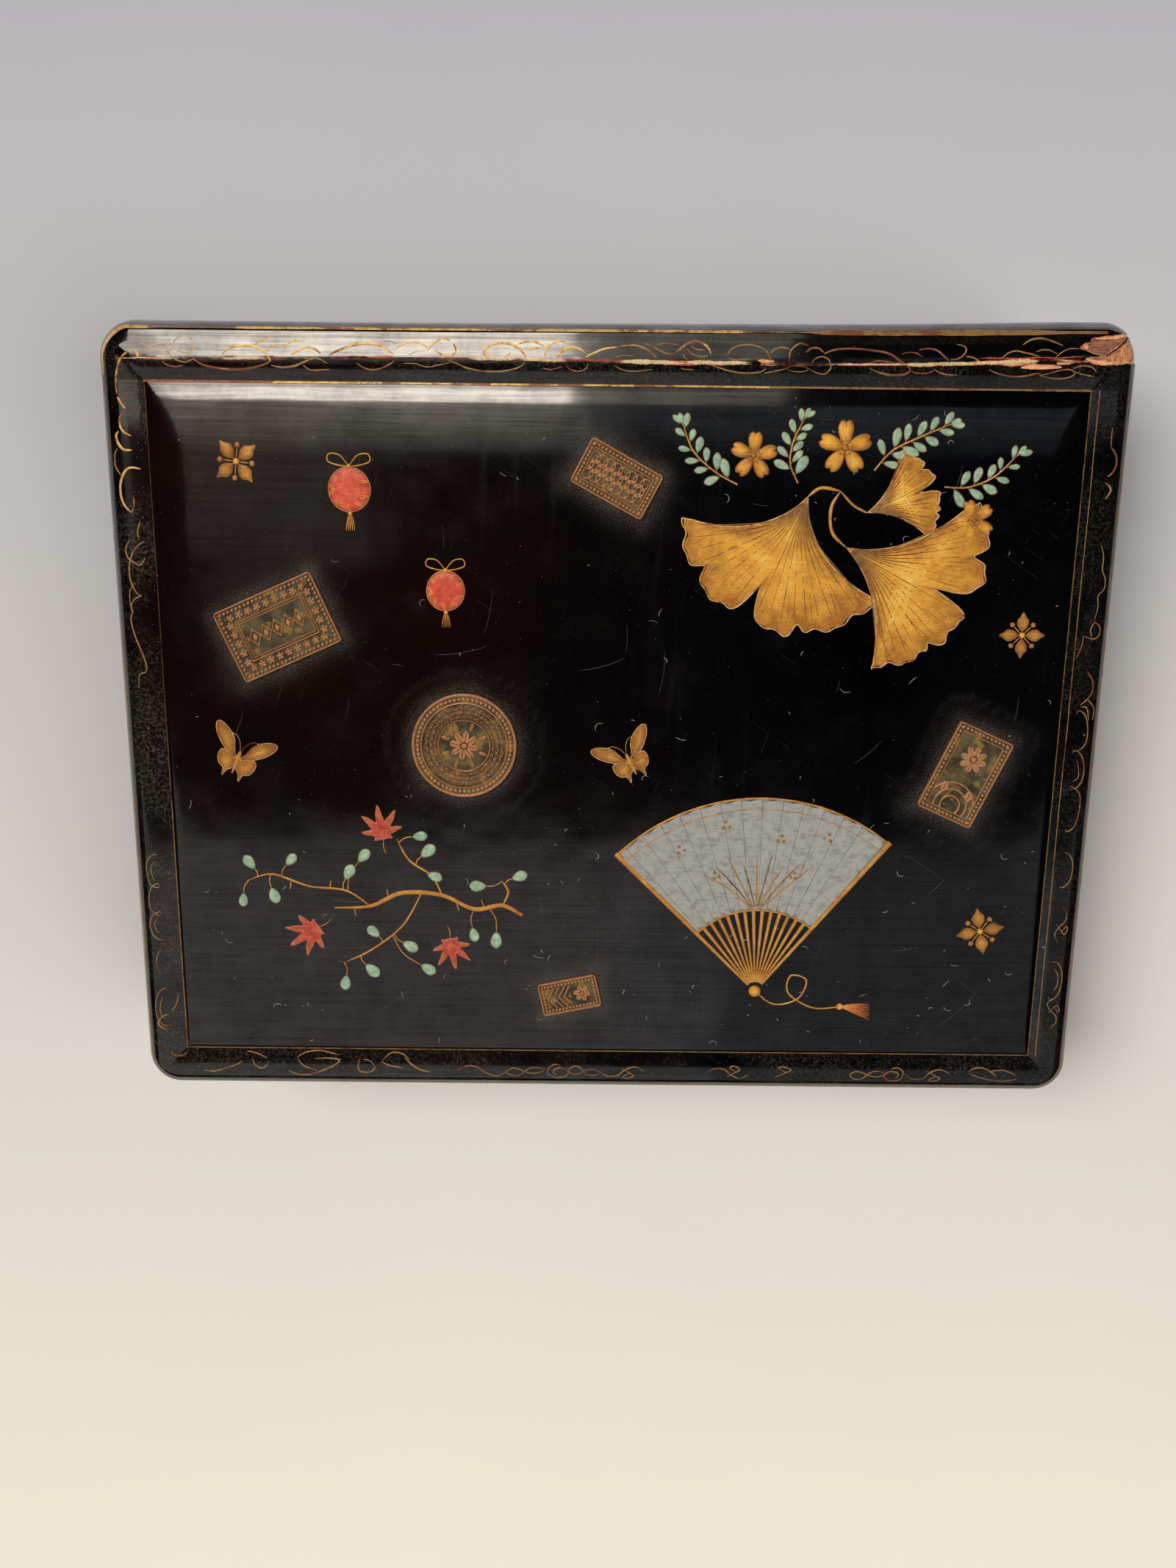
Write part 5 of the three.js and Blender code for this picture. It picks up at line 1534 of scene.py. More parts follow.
def ginkgo(cx, cy, deg, R, spread_deg, seed, bag="gold_art", notch=0.0, tilt=0.0):
    T = frame2(cx, cy, math.radians(deg))
    spread = math.radians(spread_deg)
    out = []
    m = 110
    for i in range(m + 1):
        t = i / m
        th = lerp(-spread, spread, t)
        k = t - 0.5 - notch
        r = R * (0.90 + 0.10 * math.cos((t - 0.5) * 2.6) + tilt * (t - 0.5))
        r *= 1 - 0.30 * math.exp(-abs(k / 0.030) ** 1.5) - 0.07 * math.exp(-((k - 0.21) / 0.02) ** 2) - 0.06 * math.exp(-((k + 0.25) / 0.018) ** 2)
        r *= 1 + 0.018 * math.sin(t * 37 + seed) + 0.010 * math.sin(t * 83 + 2 * seed)
        out.append((r * math.cos(th), r * math.sin(th)))

    def side(sgn):
        pts = []
        for i in range(1, 18):
            f = 1 - i / 18
            th = sgn * spread * (0.30 + 0.70 * f ** 0.8)
            r = R * 0.90 * f
            pts.append((r * math.cos(th), r * math.sin(th)))
        return pts
    left = side(1)
    right = [(x, y) for x, y in reversed(side(-1))]
    local = out + left + [(0.0, 0.0)] + right
    outline = [T(x, y) for x, y in local]
    c = T(R * 0.50, 0)

    def wave(px, py, t):
        dx, dy = px - cx, py - cy
        a = math.atan2(dy, dx) - math.radians(deg)
        return 0.035 * math.sin(a * 62) * min(1, t * 2)
    fill(ART[bag], outline, c, plan, crown=0.22, rings=9, tone=(0.12, 0.85), wave=wave)
    veins = 9
    rng = random.Random(seed)
    for k in range(-veins, veins + 1):
        f = k / veins
        if abs(f - notch * 2) < 0.06:
            continue
        th = spread * 0.93 * f
        end = 0.86 + 0.06 * rng.random() - 0.04 * abs(f)
        pts = [T(R * a * math.cos(th * b), R * a * math.sin(th * b)) for a, b in ((0.05, 0.35), (0.3, 0.62), (0.58, 0.88), (end, 1.0))]
        stroke(ART["gold_brown"], pts, 0.20 if k % 2 else 0.26, taper=(0.5, 0.2), n=18, height=0.05, lift=0.235 - 0.03 * abs(f))
        if k % 2 == 0 and abs(f) < 0.95:
            th2 = spread * 0.93 * (f + 0.45 / veins)
            pts = [T(R * a * math.cos(b), R * a * math.sin(b)) for a, b in ((0.50, th * 0.8), (0.68, lerp(th, th2, 0.6)), (0.9, th2))]
            stroke(ART["gold_brown"], pts, 0.16, taper=(0.4, 0.2), n=12, height=0.05, lift=0.20)
    loop_stroke(ART["gold_vein"], outline, 0.34, 0.10, 0.03)


def petal(bag, cx, cy, ang, R, width, notch=0.0, r0=0.08, tone=(0.1, 1.0), crown=0.16, pointed=0.0):
    T = frame2(cx, cy, ang)
    out = []
    n = 30
    for i in range(n):
        t = 2 * math.pi * i / n
        c, s = math.cos(t), math.sin(t)
        x = R * (r0 + (1 - r0) * (0.5 + 0.5 * c))
        y = width * s * (0.78 + 0.22 * c)
        if pointed:
            y *= 1 - pointed * max(0, c) ** 3
        if notch:
            x -= notch * R * math.exp(-(t if t < math.pi else t - 2 * math.pi) ** 2 / 0.05)
        out.append(T(x, y))
    fill(bag, out, T(R * (0.1 + 0.48), 0), plan, crown=crown, rings=4, tone=tone)
    return out


def blossom(cx, cy, R, n, deg, bag, line, width=0.34, notch=0.12, pointed=0.0, heart="gold_art", squash=1.0):
    for k in range(n):
        a = math.radians(deg) + 2 * math.pi * k / n
        out = petal(ART[bag], cx, cy, a, R, R * width, notch, pointed=pointed)
        loop_stroke(ART[line], out, 0.16, 0.05, 0.05)
        T = frame2(cx, cy, a)
        for off in (-0.10, 0.0, 0.10):
            stroke(ART[line], [T(R * 0.2, 0), T(R * 0.45, off * R * 0.6), T(R * 0.66, off * R * 1.3)], 0.13, n=6, height=0.04, lift=0.17)
    for k in range(n * 2):
        a = math.radians(deg + 20) + math.pi * k / n
        dot(ART[heart], cx + R * 0.26 * math.cos(a), cy + R * 0.26 * math.sin(a), 0.22, 0.12)
    dot(ART[heart], cx, cy, R * 0.12, 0.2)


def dot(bag, cx, cy, r, crown=0.1, layer=0.1, n=14, oval=1.0, ang=0.0):
    T = frame2(cx, cy, ang)
    out = [T(r * math.cos(2 * math.pi * i / n) * (1 + 0.05 * n1(i * 1.3 + cx, 2)), r * oval * math.sin(2 * math.pi * i / n)) for i in range(n)]
    fill(bag, out, (cx, cy), plan, crown=crown, rings=2, layer=layer, tone=(0.1, 0.9))
    return out


def small_leaf(bag, cx, cy, ang, length, width, line=None):
    out = petal(ART[bag], cx, cy, ang, length, width, r0=0.0, tone=(0.05, 1.0), crown=0.12, pointed=0.35)
    if line:
        loop_stroke(ART[line], out, 0.13, 0.04, 0.03)
    T = frame2(cx, cy, ang)
    return T(length, 0)


def sprig(ctrl, leaves, size, seed, line="gold_brown"):
    rng = random.Random(seed)
    pts = curve_pts(ctrl, 60)
    stroke(ART["gold_deep"], ctrl, 0.42, taper=(1.0, 0.35), n=60, height=0.07)
    m = len(pts)
    for k in range(leaves):
        t = 0.16 + 0.82 * k / (leaves - 1)
        i = min(m - 2, int(t * (m - 1)))
        x, y = pts[i]
        a = math.atan2(pts[i + 1][1] - y, pts[i + 1][0] - x)
        sg = 1 if k % 2 else -1
        ang = a + sg * math.radians(rng.uniform(42, 62)) * (1 - 0.5 * t ** 3)
        L = size * (1.08 - 0.42 * t) * rng.uniform(0.85, 1.12)
        sx, sy = x + 0.7 * math.cos(ang), y + 0.7 * math.sin(ang)
        stroke(ART["gold_deep"], [(x, y), (sx, sy)], 0.2, n=3, height=0.05)
        small_leaf("green", sx, sy, ang, L, L * rng.uniform(0.28, 0.34), line)
    x, y = pts[-1]
    a = math.atan2(y - pts[-2][1], x - pts[-2][0])
    small_leaf("green", x, y, a, size * 0.62, size * 0.2, line)


def maple(cx, cy, R, deg, seed):
    T = frame2(cx, cy, math.radians(deg))
    lobes = [(0, 1.0), (40, 0.93), (-40, 0.93), (82, 0.72), (-82, 0.72), (128, 0.40), (-128, 0.40)]
    n = 168
    out = []
    for i in range(n):
        th = -math.pi + 2 * math.pi * i / n
        r = 0.25
        for a, L in lobes:
            d = abs((th - math.radians(a) + math.pi) % (2 * math.pi) - math.pi)
            r = max(r, 0.25 + (L - 0.25) * math.exp(-(d / 0.235) ** 1.25))
        r *= 1 + 0.035 * math.sin(i * 1.15 + seed)
        out.append(T(R * r * math.cos(th), R * r * math.sin(th)))
    fill(ART["red"], out, (cx, cy), plan, crown=0.14, rings=6, tone=(0.1, 1.0))
    loop_stroke(ART["gold_brown"], out, 0.15, 0.05, 0.03)
    for a, L in lobes:
        b = math.radians(a)
        stroke(ART["gold_deep"], [T(0, 0), T(R * L * 0.45 * math.cos(b + 0.03), R * L * 0.45 * math.sin(b + 0.03)),
                                  T(R * L * 0.84 * math.cos(b), R * L * 0.84 * math.sin(b))], 0.16, n=8, height=0.04, lift=0.14)
    stroke(ART["gold_deep"], [T(-R * 0.2, 0), T(-R * 0.5, R * 0.06), T(-R * 0.75, R * 0.02)], 0.24, n=6, height=0.06)


def butterfly(cx, cy, size, deg, seed):
    T = frame2(cx, cy, math.radians(deg), size)
    for sg in (1, -1):
        fore = [(0.04, 0.10), (0.20, 0.34), (0.30, 0.62), (0.52, 0.86), (0.86, 1.02), (1.02, 0.98), (1.00, 0.80), (0.86, 0.58), (0.66, 0.38), (0.40, 0.20), (0.18, 0.08)]
        hind = [(-0.02, 0.08), (0.20, 0.14), (0.48, 0.22), (0.60, 0.16), (0.62, -0.04), (0.52, -0.26), (0.34, -0.36), (0.28, -0.60), (0.20, -0.40), (0.08, -0.26), (-0.02, -0.10)]
        for k, o in enumerate((fore, hind)):
            # wings open along local x; mirrored about the body
            pts = curve_pts([(sg * x, y) for x, y in o] + [(sg * o[0][0], o[0][1])], 66)[:-1]
            pts = [T(x, y) for x, y in pts]
            cxl = sum(p[0] for p in pts) / len(pts)
            cyl = sum(p[1] for p in pts) / len(pts)
            fill(ART["gold_deep"], pts, (cxl, cyl), plan, crown=0.12, rings=5, tone=(0.05, 0.8))
            loop_stroke(ART["gold_vein"], pts, 0.2, 0.06, 0.04)
            for j in range(2, len(o) - 2, 2):
                x, y = o[j]
                stroke(ART["gold_brown"], [T(sg * 0.10, 0.1 if k == 0 else 0.0), T(sg * x * 0.8, y * 0.8 + 0.02)], 0.15, n=6, height=0.04, lift=0.14)
        stroke(ART["gold_vein"], [T(0.01 * sg, 0.34), T(0.12 * sg, 0.62), T(0.30 * sg, 0.80), T(0.42 * sg, 0.80)], 0.15, n=12, height=0.06)
        x, y = T(0.43 * sg, 0.80)
        dot(ART["gold_vein"], x, y, 0.28, 0.08)
    stroke(ART["gold_deep"], [T(0, 0.36), T(0, 0.1), T(0, -0.42)], 0.95, taper=(0.6, 0.3), n=14, height=0.16, lift=0.08)


def diamond_flower(cx, cy, R, deg):
    for k in range(4):
        a = math.radians(deg + 90 * k)
        T = frame2(cx, cy, a)
        o = curve_pts([(0.10 * R, 0), (0.36 * R, 0.22 * R), (0.62 * R, 0.26 * R), (0.80 * R, 0.13 * R), (R, 0), (0.80 * R, -0.13 * R),
                       (0.62 * R, -0.26 * R), (0.36 * R, -0.22 * R), (0.10 * R, 0)], 48)[:-1]
        o = [T(x, y) for x, y in o]
        fill(ART["gold_deep"], o, T(0.55 * R, 0), plan, crown=0.12, rings=3, tone=(0.05, 0.85))
        stroke(ART["gold_brown"], [T(0.2 * R, 0), T(0.85 * R, 0)], 0.15, n=6, height=0.04, lift=0.12)
        T2 = frame2(cx, cy, a + math.pi / 4)
        stroke(ART["gold_deep"], [T2(0.12 * R, 0), T2(0.5 * R, 0)], 0.28, n=5, height=0.06)
        x, y = T2(0.62 * R, 0)
        dot(ART["gold_deep"], x, y, 0.11 * R, 0.1)
    dot(ART["gold_art"], cx, cy, 0.13 * R, 0.2)


def thread_ball(cx, cy, R, seed):
    rng = random.Random(seed)
    n = 56
    out = [(cx + R * math.cos(2 * math.pi * i / n), cy + R * 1.04 * math.sin(2 * math.pi * i / n)) for i in range(n)]
    fill(ART["vermilion"], out, (cx - 0.1 * R, cy + 0.1 * R), plan, crown=0.42, rings=8, tone=(0.0, 0.95))
    lift = 0.36
    # wound threads: great circles seen from in front
    for k in range(5):
        a = math.radians(22 + 36 * k + rng.uniform(-4, 4))
        for b in (0.14, 0.30):
            pts = []
            for i in range(13):
                t = math.pi * i / 12
                u, v = -R * math.cos(t) * 0.98, R * b * math.sin(t)
                pts.append((cx + u * math.cos(a) - v * math.sin(a), cy + u * math.sin(a) + v * math.cos(a)))
            stroke(ART["gold_art"], pts, 0.17, taper=(0.6, 0.6), n=36, height=0.05, lift=lift * 0.86)
    loop_stroke(ART["gold_deep"], out, 0.2, 0.06, 0.04)
    # a bow of cord above and a tassel below
    top, foot = cy + R * 1.06, cy - R * 1.06
    for sg in (1, -1):
        stroke(ART["gold_deep"], [(cx, top), (cx + sg * 0.42 * R, top + 0.50 * R), (cx + sg * 0.92 * R, top + 0.56 * R), (cx + sg * 0.98 * R, top + 0.22 * R),
                                  (cx + sg * 0.46 * R, top + 0.04 * R), (cx, top)], 0.34, taper=(0.8, 0.8), n=30, height=0.07)
    dot(ART["gold_art"], cx, top, 0.55, 0.14)
    dot(ART["gold_art"], cx, foot - 0.25, 0.55, 0.14)
    for k in range(5):
        d = (k - 2) * 0.42
        stroke(ART["gold_deep"], [(cx + 0.4 * d, foot - 0.5), (cx + 0.9 * d, foot - 0.45 * R), (cx + 1.15 * d, foot - 0.85 * R)], 0.26, n=10, height=0.06)


def fan(cx, cy, r0, r1, half_deg, lean_deg, seed):
    half, lean = math.radians(half_deg), math.radians(90 + lean_deg)
    rng = random.Random(seed)
    nt, nr, folds = 168, 14, 14

    def P(r, th):
        return cx + r * math.cos(lean + th), cy + r * math.sin(lean + th)
    top, bot, tone = [], [], []
    for i in range(nt + 1):
        f = i / nt
        th = lerp(half, -half, f)
        k = f * folds * 2
        tri = abs((k % 2) - 1)
        for j in range(nr + 1):
            g = j / nr
            rr = lerp(r0, r1, g) * (1 - 0.008 * tri * g)
            x, y = P(rr, th)
            z = panel_z(x, y)
            h = 0.10 + 0.16 * tri * (0.4 + 0.6 * g)
            if i in (0, nt) or j in (0, nr):
                h = 0.05
            top.append((x, y, z + h))
            bot.append((x, y, z - 0.15))
            e = min(f, 1 - f, g, 1 - g)
            tone.append(0.25 * (1 if (int(k) % 2) else 0) + (0.7 if e < 0.012 else 0.0) + 0.12 * (1 - g))
    w = nr + 1
    verts = top + bot
    nb = len(top)
    faces = []
    for i in range(nt):
        for j in range(nr):
            a = i * w + j
            faces.append((a, a + 1, a + 1 + w, a + w))
            faces.append((nb + a, nb + a + w, nb + a + 1 + w, nb + a + 1))
    for i in range(nt):
        for j in (0, nr):
            a, b = i * w + j, (i + 1) * w + j
            faces.append((a, b, nb + b, nb + a) if j == 0 else (b, a, nb + a, nb + b))
    for j in range(nr):
        for i in (0, nt):
            a, b = i * w + j, i * w + j + 1
            faces.append((b, a, nb + a, nb + b) if i == 0 else (a, b, nb + b, nb + a))
    ART["slate_blue"].add(verts, faces, {"tone": tone + tone})
    for r, ww in ((r1 + 0.1, 0.55), (r0, 0.5), (r1 - 2.6, 0.22)):
        pts = []
        for i in range(121):
            x, y = P(r, lerp(half, -half, i / 120))
            pts.append(plan(x, y, 0.16 if r < r1 else 0.05))
        ribbon(ART["gold_deep"], pts, [ww * (1 + 0.2 * n1(i * 0.3, 4)) for i in range(121)], 0.14)
    for k in range(folds + 1):
        th = lerp(half, -half, k / folds)
        outer = k in (0, folds)
        a, b = (2.5, r1 + 0.6) if outer else (2.5, r0)
        pts, ws = [], []
        for i in range(15):
            t = i / 14
            x, y = P(lerp(a, b, t), th)
            pts.append(plan(x, y, 0.02 + 0.10 * (1 - t) + (0.1 if outer else 0)))
            ws.append((lerp(0.7, 1.5, t) if outer else lerp(0.45, 0.95, t)))
        ribbon(ART["gold_deep"], pts, ws, 0.14)
        if not outer:
            th2 = lerp(half, -half, (k - 0.5) / folds)
            pts = []
            for i in range(9):
                x, y = P(lerp(r0 + 0.4, r1 - 0.3, i / 8), th2)
                pts.append(plan(x, y, 0.10))
            ribbon(ART["gold_brown"], pts, 0.12, 0.05)
    # spots in threes, and grasses
    for (f, g) in ((0.20, 0.72), (0.40, 0.80), (0.62, 0.66), (0.80, 0.78), (0.30, 0.38), (0.72, 0.36)):
        for (du, dv) in ((0, 0.5), (-0.55, -0.4), (0.55, -0.4)):
            x, y = P(lerp(r0, r1, g) + dv * 1.5, lerp(half, -half, f) + du * 0.035)
            dot(ART["gold_deep"], x, y, 0.42, 0.1, 0.2)
    for k in range(9):
        f = 0.52 + 0.045 * (k - 4)
        th = lerp(half, -half, f)
        bend = (k - 4) * 0.035
        pts = [P(r0 + 1.0, lerp(half, -half, 0.52 + 0.012 * (k - 4))), P(r0 + 7, th), P(r0 + 12 + 1.2 * (k % 3), th - bend)]
        stroke(ART["gold_brown"] if k % 2 else ART["gold_deep"], pts, 0.34, taper=(0.8, 0.15), n=16, height=0.08, lift=0.22)
    dot(ART["gold_art"], cx, cy, 1.5, 0.3, 0.2, 20)
    # cord and tassel
    cord = [(cx, cy), (cx + 5, cy - 3.5), (cx + 11, cy - 2.0), (cx + 13, cy + 3.0), (cx + 9, cy + 4.2), (cx + 8.6, cy - 0.5), (cx + 15, cy - 4.4), (cx + 22, cy - 4.0)]
    stroke(ART["gold_deep"], cord, 0.5, taper=(0.8, 0.8), n=84, height=0.14)
    for k in range(9):
        a = -0.10 + (k - 4) * 0.07
        x0, y0 = cx + 22, cy - 4.0
        stroke(ART["vermilion"] if k % 3 == 1 else ART["gold_deep"],
               [(x0, y0), (x0 + 3.0 * math.cos(a), y0 + 3.6 * math.sin(a)), (x0 + 7.5, y0 + 7.5 * math.sin(a) - 0.6)], 0.3, taper=(1, 0.4), n=10, height=0.09)
    dot(ART["gold_art"], cx + 21.8, cy - 4.0, 0.9, 0.2, 0.1)


# leaves, blossoms and sprigs, upper right of the panel
ginkgo(44.5, 55.5, -112, 32, 58, 3, notch=-0.04)
ginkgo(54.0, 44.0, -28, 33, 47, 8, notch=0.05, tilt=0.10)
ginkgo(58.5, 52.0, 22, 17, 42, 5, notch=0.0)
stroke(ART["gold_deep"], [(44.5, 55.5), (47.5, 57.5), (52.0, 56.8)], 0.8, n=16, height=0.14)
stroke(ART["gold_deep"], [(54.0, 44.0), (50.5, 47.5), (50.0, 53.0), (52.0, 56.8)], 0.8, n=20, height=0.14)
stroke(ART["gold_deep"], [(58.5, 52.0), (55.2, 53.6), (52.0, 56.8)], 0.6, n=16, height=0.12)
blossom(31.5, 64.5, 5.6, 5, 14, "gold_art", "gold_brown", heart="gold_deep")
blossom(52.5, 66.5, 6.4, 5, 90, "gold_art", "gold_brown", heart="gold_deep")
blossom(83.5, 50.5, 5.0, 5, 40, "gold_art", "gold_brown", heart="gold_deep")
sprig([(28.0, 58.0), (22.5, 61.0), (17.5, 65.5), (15.0, 71.5)], 12, 4.1, 21)
sprig([(59.5, 61.5), (63.5, 66.0), (69.5, 69.0), (76.5, 72.0)], 13, 4.2, 22)
sprig([(42.0, 58.5), (40.0, 63.0), (40.6, 68.0), (43.0, 73.0)], 11, 4.0, 23)
sprig([(76.0, 58.0), (81.5, 58.0), (87.5, 60.5), (92.5, 65.5)], 11, 4.0, 24)

thread_ball(-62, 56, 4.9, 31)
thread_ball(-40, 33, 4.5, 32)
fan(37.0, -66.5, 21.5, 50.0, 42, 3, 41)

# maple and small round leaves on a gold branch, lower left
stroke(ART["gold_deep"], [(-22, -47), (-27, -44.5), (-34, -45.5), (-42, -42.0), (-52, -41.5), (-60, -45.0), (-69, -45.5)], 1.15, taper=(0.8, 0.3), n=84, height=0.18)
stroke(ART["gold_deep"], [(-27, -44.7), (-25.5, -41.0), (-27.0, -38.2)], 0.6, n=14, height=0.12)
stroke(ART["gold_deep"], [(-42, -42.0), (-44.5, -37.0), (-50.0, -33.0), (-53.0, -27.5)], 0.6, taper=(0.8, 0.2), n=30, height=0.12)
stroke(ART["gold_deep"], [(-60, -45.0), (-66, -41.0), (-75, -40.0), (-84, -37.0), (-90, -38.5)], 0.55, taper=(0.8, 0.2), n=40, height=0.12)
stroke(ART["gold_deep"], [(-47, -41.2), (-52, -50.0), (-60, -56.5), (-67, -60.0)], 0.55, taper=(0.8, 0.2), n=30, height=0.12)
for k, (x, y, a) in enumerate(((-31.5, -45.0, 110), (-38.5, -44.0, -70), (-55.5, -42.6, 95), (-64.0, -45.6, -80), (-70, -40.6, 80), (-79.5, -38.6, -100))):
    b = math.radians(a)
    stroke(ART["gold_deep"], [(x, y), (x + 2.2 * math.cos(b), y + 2.2 * math.sin(b))], 0.34, n=5, height=0.1)
maple(-56.5, -26.0, 7.2, 100, 1)
maple(-74.5, -51.5, 7.6, 215, 2)
maple(-40.0, -55.0, 6.9, 280, 3)
BRANCHES = [curve_pts(c, 60) for c in (
    [(-22, -47), (-27, -44.5), (-34, -45.5), (-42, -42.0), (-52, -41.5), (-60, -45.0), (-69, -45.5)], [(-27, -44.7), (-25.5, -41.0), (-27.0, -38.2)],
    [(-42, -42.0), (-44.5, -37.0), (-50.0, -33.0), (-53.0, -27.5)], [(-60, -45.0), (-66, -41.0), (-75, -40.0), (-84, -37.0), (-90, -38.5)],
    [(-47, -41.2), (-52, -50.0), (-60, -56.5), (-67, -60.0)])]
for (x, y, d, L) in ((-47.0, -32.0, 30, 4.4), (-45.5, -36.5, -20, 3.8), (-62.5, -33.5, 150, 4.0), (-49.0, -27.0, 70, 3.6), (-84.5, -40.5, 240, 4.2),
                     (-88.5, -35.5, 120, 4.0), (-80.5, -34.5, 60, 3.6), (-66.0, -38.0, 75, 4.2), (-61.5, -60.5, 200, 4.4), (-66.5, -63.5, 260, 3.9),
                     (-58.0, -53.0, 330, 3.8), (-52.0, -54.5, 250, 4.2), (-28.5, -51.5, 300, 4.3), (-24.5, -37.5, 60, 4.0), (-31.0, -39.5, 110, 4.2),
                     (-34.5, -50.5, 240, 3.7), (-47.5, -60.5, 280, 4.1), (-91.5, -42.0, 200, 3.5)):
    qx, qy = min((p for b in BRANCHES for p in b), key=lambda p: math.hypot(p[0] - x, p[1] - y))
    gap = math.hypot(x - qx, y - qy)
    a = math.radians(d)
    if gap > 1.0:
        a = math.atan2(y - qy, x - qx) + math.radians(18 if d % 40 < 20 else -18)
        bend = 0.12 * gap * (1 if d % 40 < 20 else -1)
        stroke(ART["gold_deep"], [(qx, qy), ((x + qx) / 2 + bend * (y - qy) / gap, (y + qy) / 2 - bend * (x - qx) / gap), (x, y)], 0.32, taper=(1.0, 0.6), n=14, height=0.08)
    small_leaf("green", x, y, a, L, L * 0.42, "gold_brown")

butterfly(4.5, -8.0, 7.2, 28, 51)
butterfly(-91.5, -8.5, 7.6, -24, 52)
diamond_flower(93.0, -50.0, 6.2, 12)
diamond_flower(-88.0, 62.0, 6.0, 38)
diamond_flower(97.0, 24.0, 5.6, 0)

names = {"gold_art": "leaf_gold", "gold_deep": "branch_gold", "gold_vein": "edge_gold", "gold_brown": "vein_gold", "green": "small_leaves",
         "red": "red_leaves", "vermilion": "red_balls", "slate_blue": "fan_leaf"}
for key, b in ART.items():
    b.make("ornament_" + names[key], MAT[key], "lid", slot="black_lacquer", smooth_angle=50)


# ---------------------------------------------------------------- relief pieces
def sm(v, w=0.10):
    return max(0.0, min(1.0, 0.5 + v / w))


def rosette(u, v, R, n, phase=0.0):
    r = math.hypot(u, v)
    a = math.atan2(v, u) + phase
    k = abs(math.cos(n * a / 2))
    edge = R * (0.50 + 0.50 * k ** 0.7)
    h = sm(edge - r, 0.16)
    if r < R * 0.95 and r > 0.2 * R:
        h *= 1 - 0.75 * sm(0.10 - abs(math.sin(n * a / 2)) * r * 0.5, 0.08)      # gaps between petals
    if r < 0.26 * R:
        h = sm(0.20 * R - r, 0.12)
    return h * (0.75 + 0.25 * math.cos(min(1, r / R) * math.pi))


def medallion_h(x, y):
    r = math.hypot(x, y)
    a = math.atan2(y, x)
    h = 0.0
    h = max(h, sm(r - 12.05, 0.3))                                             # rim
    p = 2 * math.pi / 64
    k = (a / p - round(a / p)) * p * 11.2
    h = max(h, 0.9 * sm(0.40 - math.hypot(r - 11.3, k), 0.16))                   # beads
    h = max(h, 0.8 * sm(0.16 - abs(r - 10.4), 0.12))
    # wave scales between the rings
    if 6.4 < r < 10.2:
        for row, rr in ((0, 6.9), (1, 8.0), (2, 9.1)):
            m = 30
            pa = 2 * math.pi / m
            ph = a + (row % 2) * pa / 2
            kk = (ph / pa - round(ph / pa)) * pa * rr
            d = math.hypot(kk, r - rr + 0.35)
            if r >= rr - 0.35:
                h = max(h, 0.7 * sm(0.10 - abs(d - 0.85), 0.10), 0.6 * sm(0.09 - abs(d - 0.45), 0.10))
    h = max(h, 0.85 * sm(0.16 - abs(r - 6.3), 0.12))
    h = max(h, rosette(x, y, 3.6, 8, 0.2))
    # four leaf sprays between
    for q in range(8):
        b = math.pi / 4 * q + math.pi / 8
        u, v = x * math.cos(b) + y * math.sin(b), -x * math.sin(b) + y * math.cos(b)
        e = ((u - 4.9) / 1.05) ** 2 + (v / 0.42) ** 2
        h = max(h, 0.75 * sm(1 - e, 0.5) * (1 - 0.6 * sm(0.06 - abs(v), 0.06)))
    return h


def border(u, v, a, b, pitch=1.08):
    ea, eb = a - abs(u), b - abs(v)
    e, w = (ea, v) if ea < eb else (eb, u)
    h = sm(0.42 - e, 0.2)
    k = (w / pitch - math.floor(w / pitch) - 0.5) * pitch
    h = max(h, 0.9 * sm(0.34 - math.hypot(e - 1.05, k), 0.14))
    return h, min(ea, eb)


def five_dots(u, v, r=0.85):
    h = sm(0.30 - math.hypot(u, v), 0.12)
    for k in range(5):
        a = math.pi / 2 + 2 * math.pi * k / 5
        h = max(h, sm(0.30 - math.hypot(u - r * math.cos(a) * 0.8, v - r * math.sin(a) * 0.8), 0.12))
    return h


def tablet_large_h(u, v):
    h, e = border(u, v, 12.8, 8.95)
    ea, eb = 12.8 - abs(u), 8.95 - abs(v)
    # stamps between two frames
    if 1.6 < e < 3.9:
        if ea < eb:
            k = (v / 2.35 - round(v / 2.35)) * 2.35
            h = max(h, 0.8 * five_dots(ea - 2.7, k, 0.8))
        else:
            k = (u / 2.35 - round(u / 2.35)) * 2.35
            h = max(h, 0.8 * five_dots(k, eb - 2.7, 0.8))
    for d in (4.05, 4.75):
        h = max(h, 0.85 * sm(0.15 - abs(e - d), 0.12))
    if e > 5.0:
        # a row of linked lozenges
        k = (u / 2.9 - round(u / 2.9)) * 2.9
        d = abs(k) / 1.45 + abs(v) / 2.2
        h = max(h, 0.8 * sm(0.12 - abs(d - 0.92), 0.12), 0.9 * sm(0.42 - d, 0.2))
    return h


def tablet_tall_h(u, v):
    h, e = border(u, v, 11.5, 7.3)
    h = max(h, 0.7 * sm(0.13 - abs(e - 1.9), 0.12))
    if e > 2.1:
        h = max(h, rosette(u - 4.2, v, 3.4, 8, 0.0))
        for k in range(3):
            d = math.hypot(u + 8.2, v)
            h = max(h, 0.8 * sm(0.20 - abs(d - (2.4 + 1.7 * k)), 0.12) * (1 if u < 1.2 else 0))
        for sg in (1, -1):
            d = math.hypot((u + 4.4) / 1.5, (v - sg * 3.3))
            h = max(h, 0.75 * sm(0.9 - d, 0.2) * (1 - 0.7 * sm(0.12 - abs(v - sg * 3.3), 0.08)))
    return h


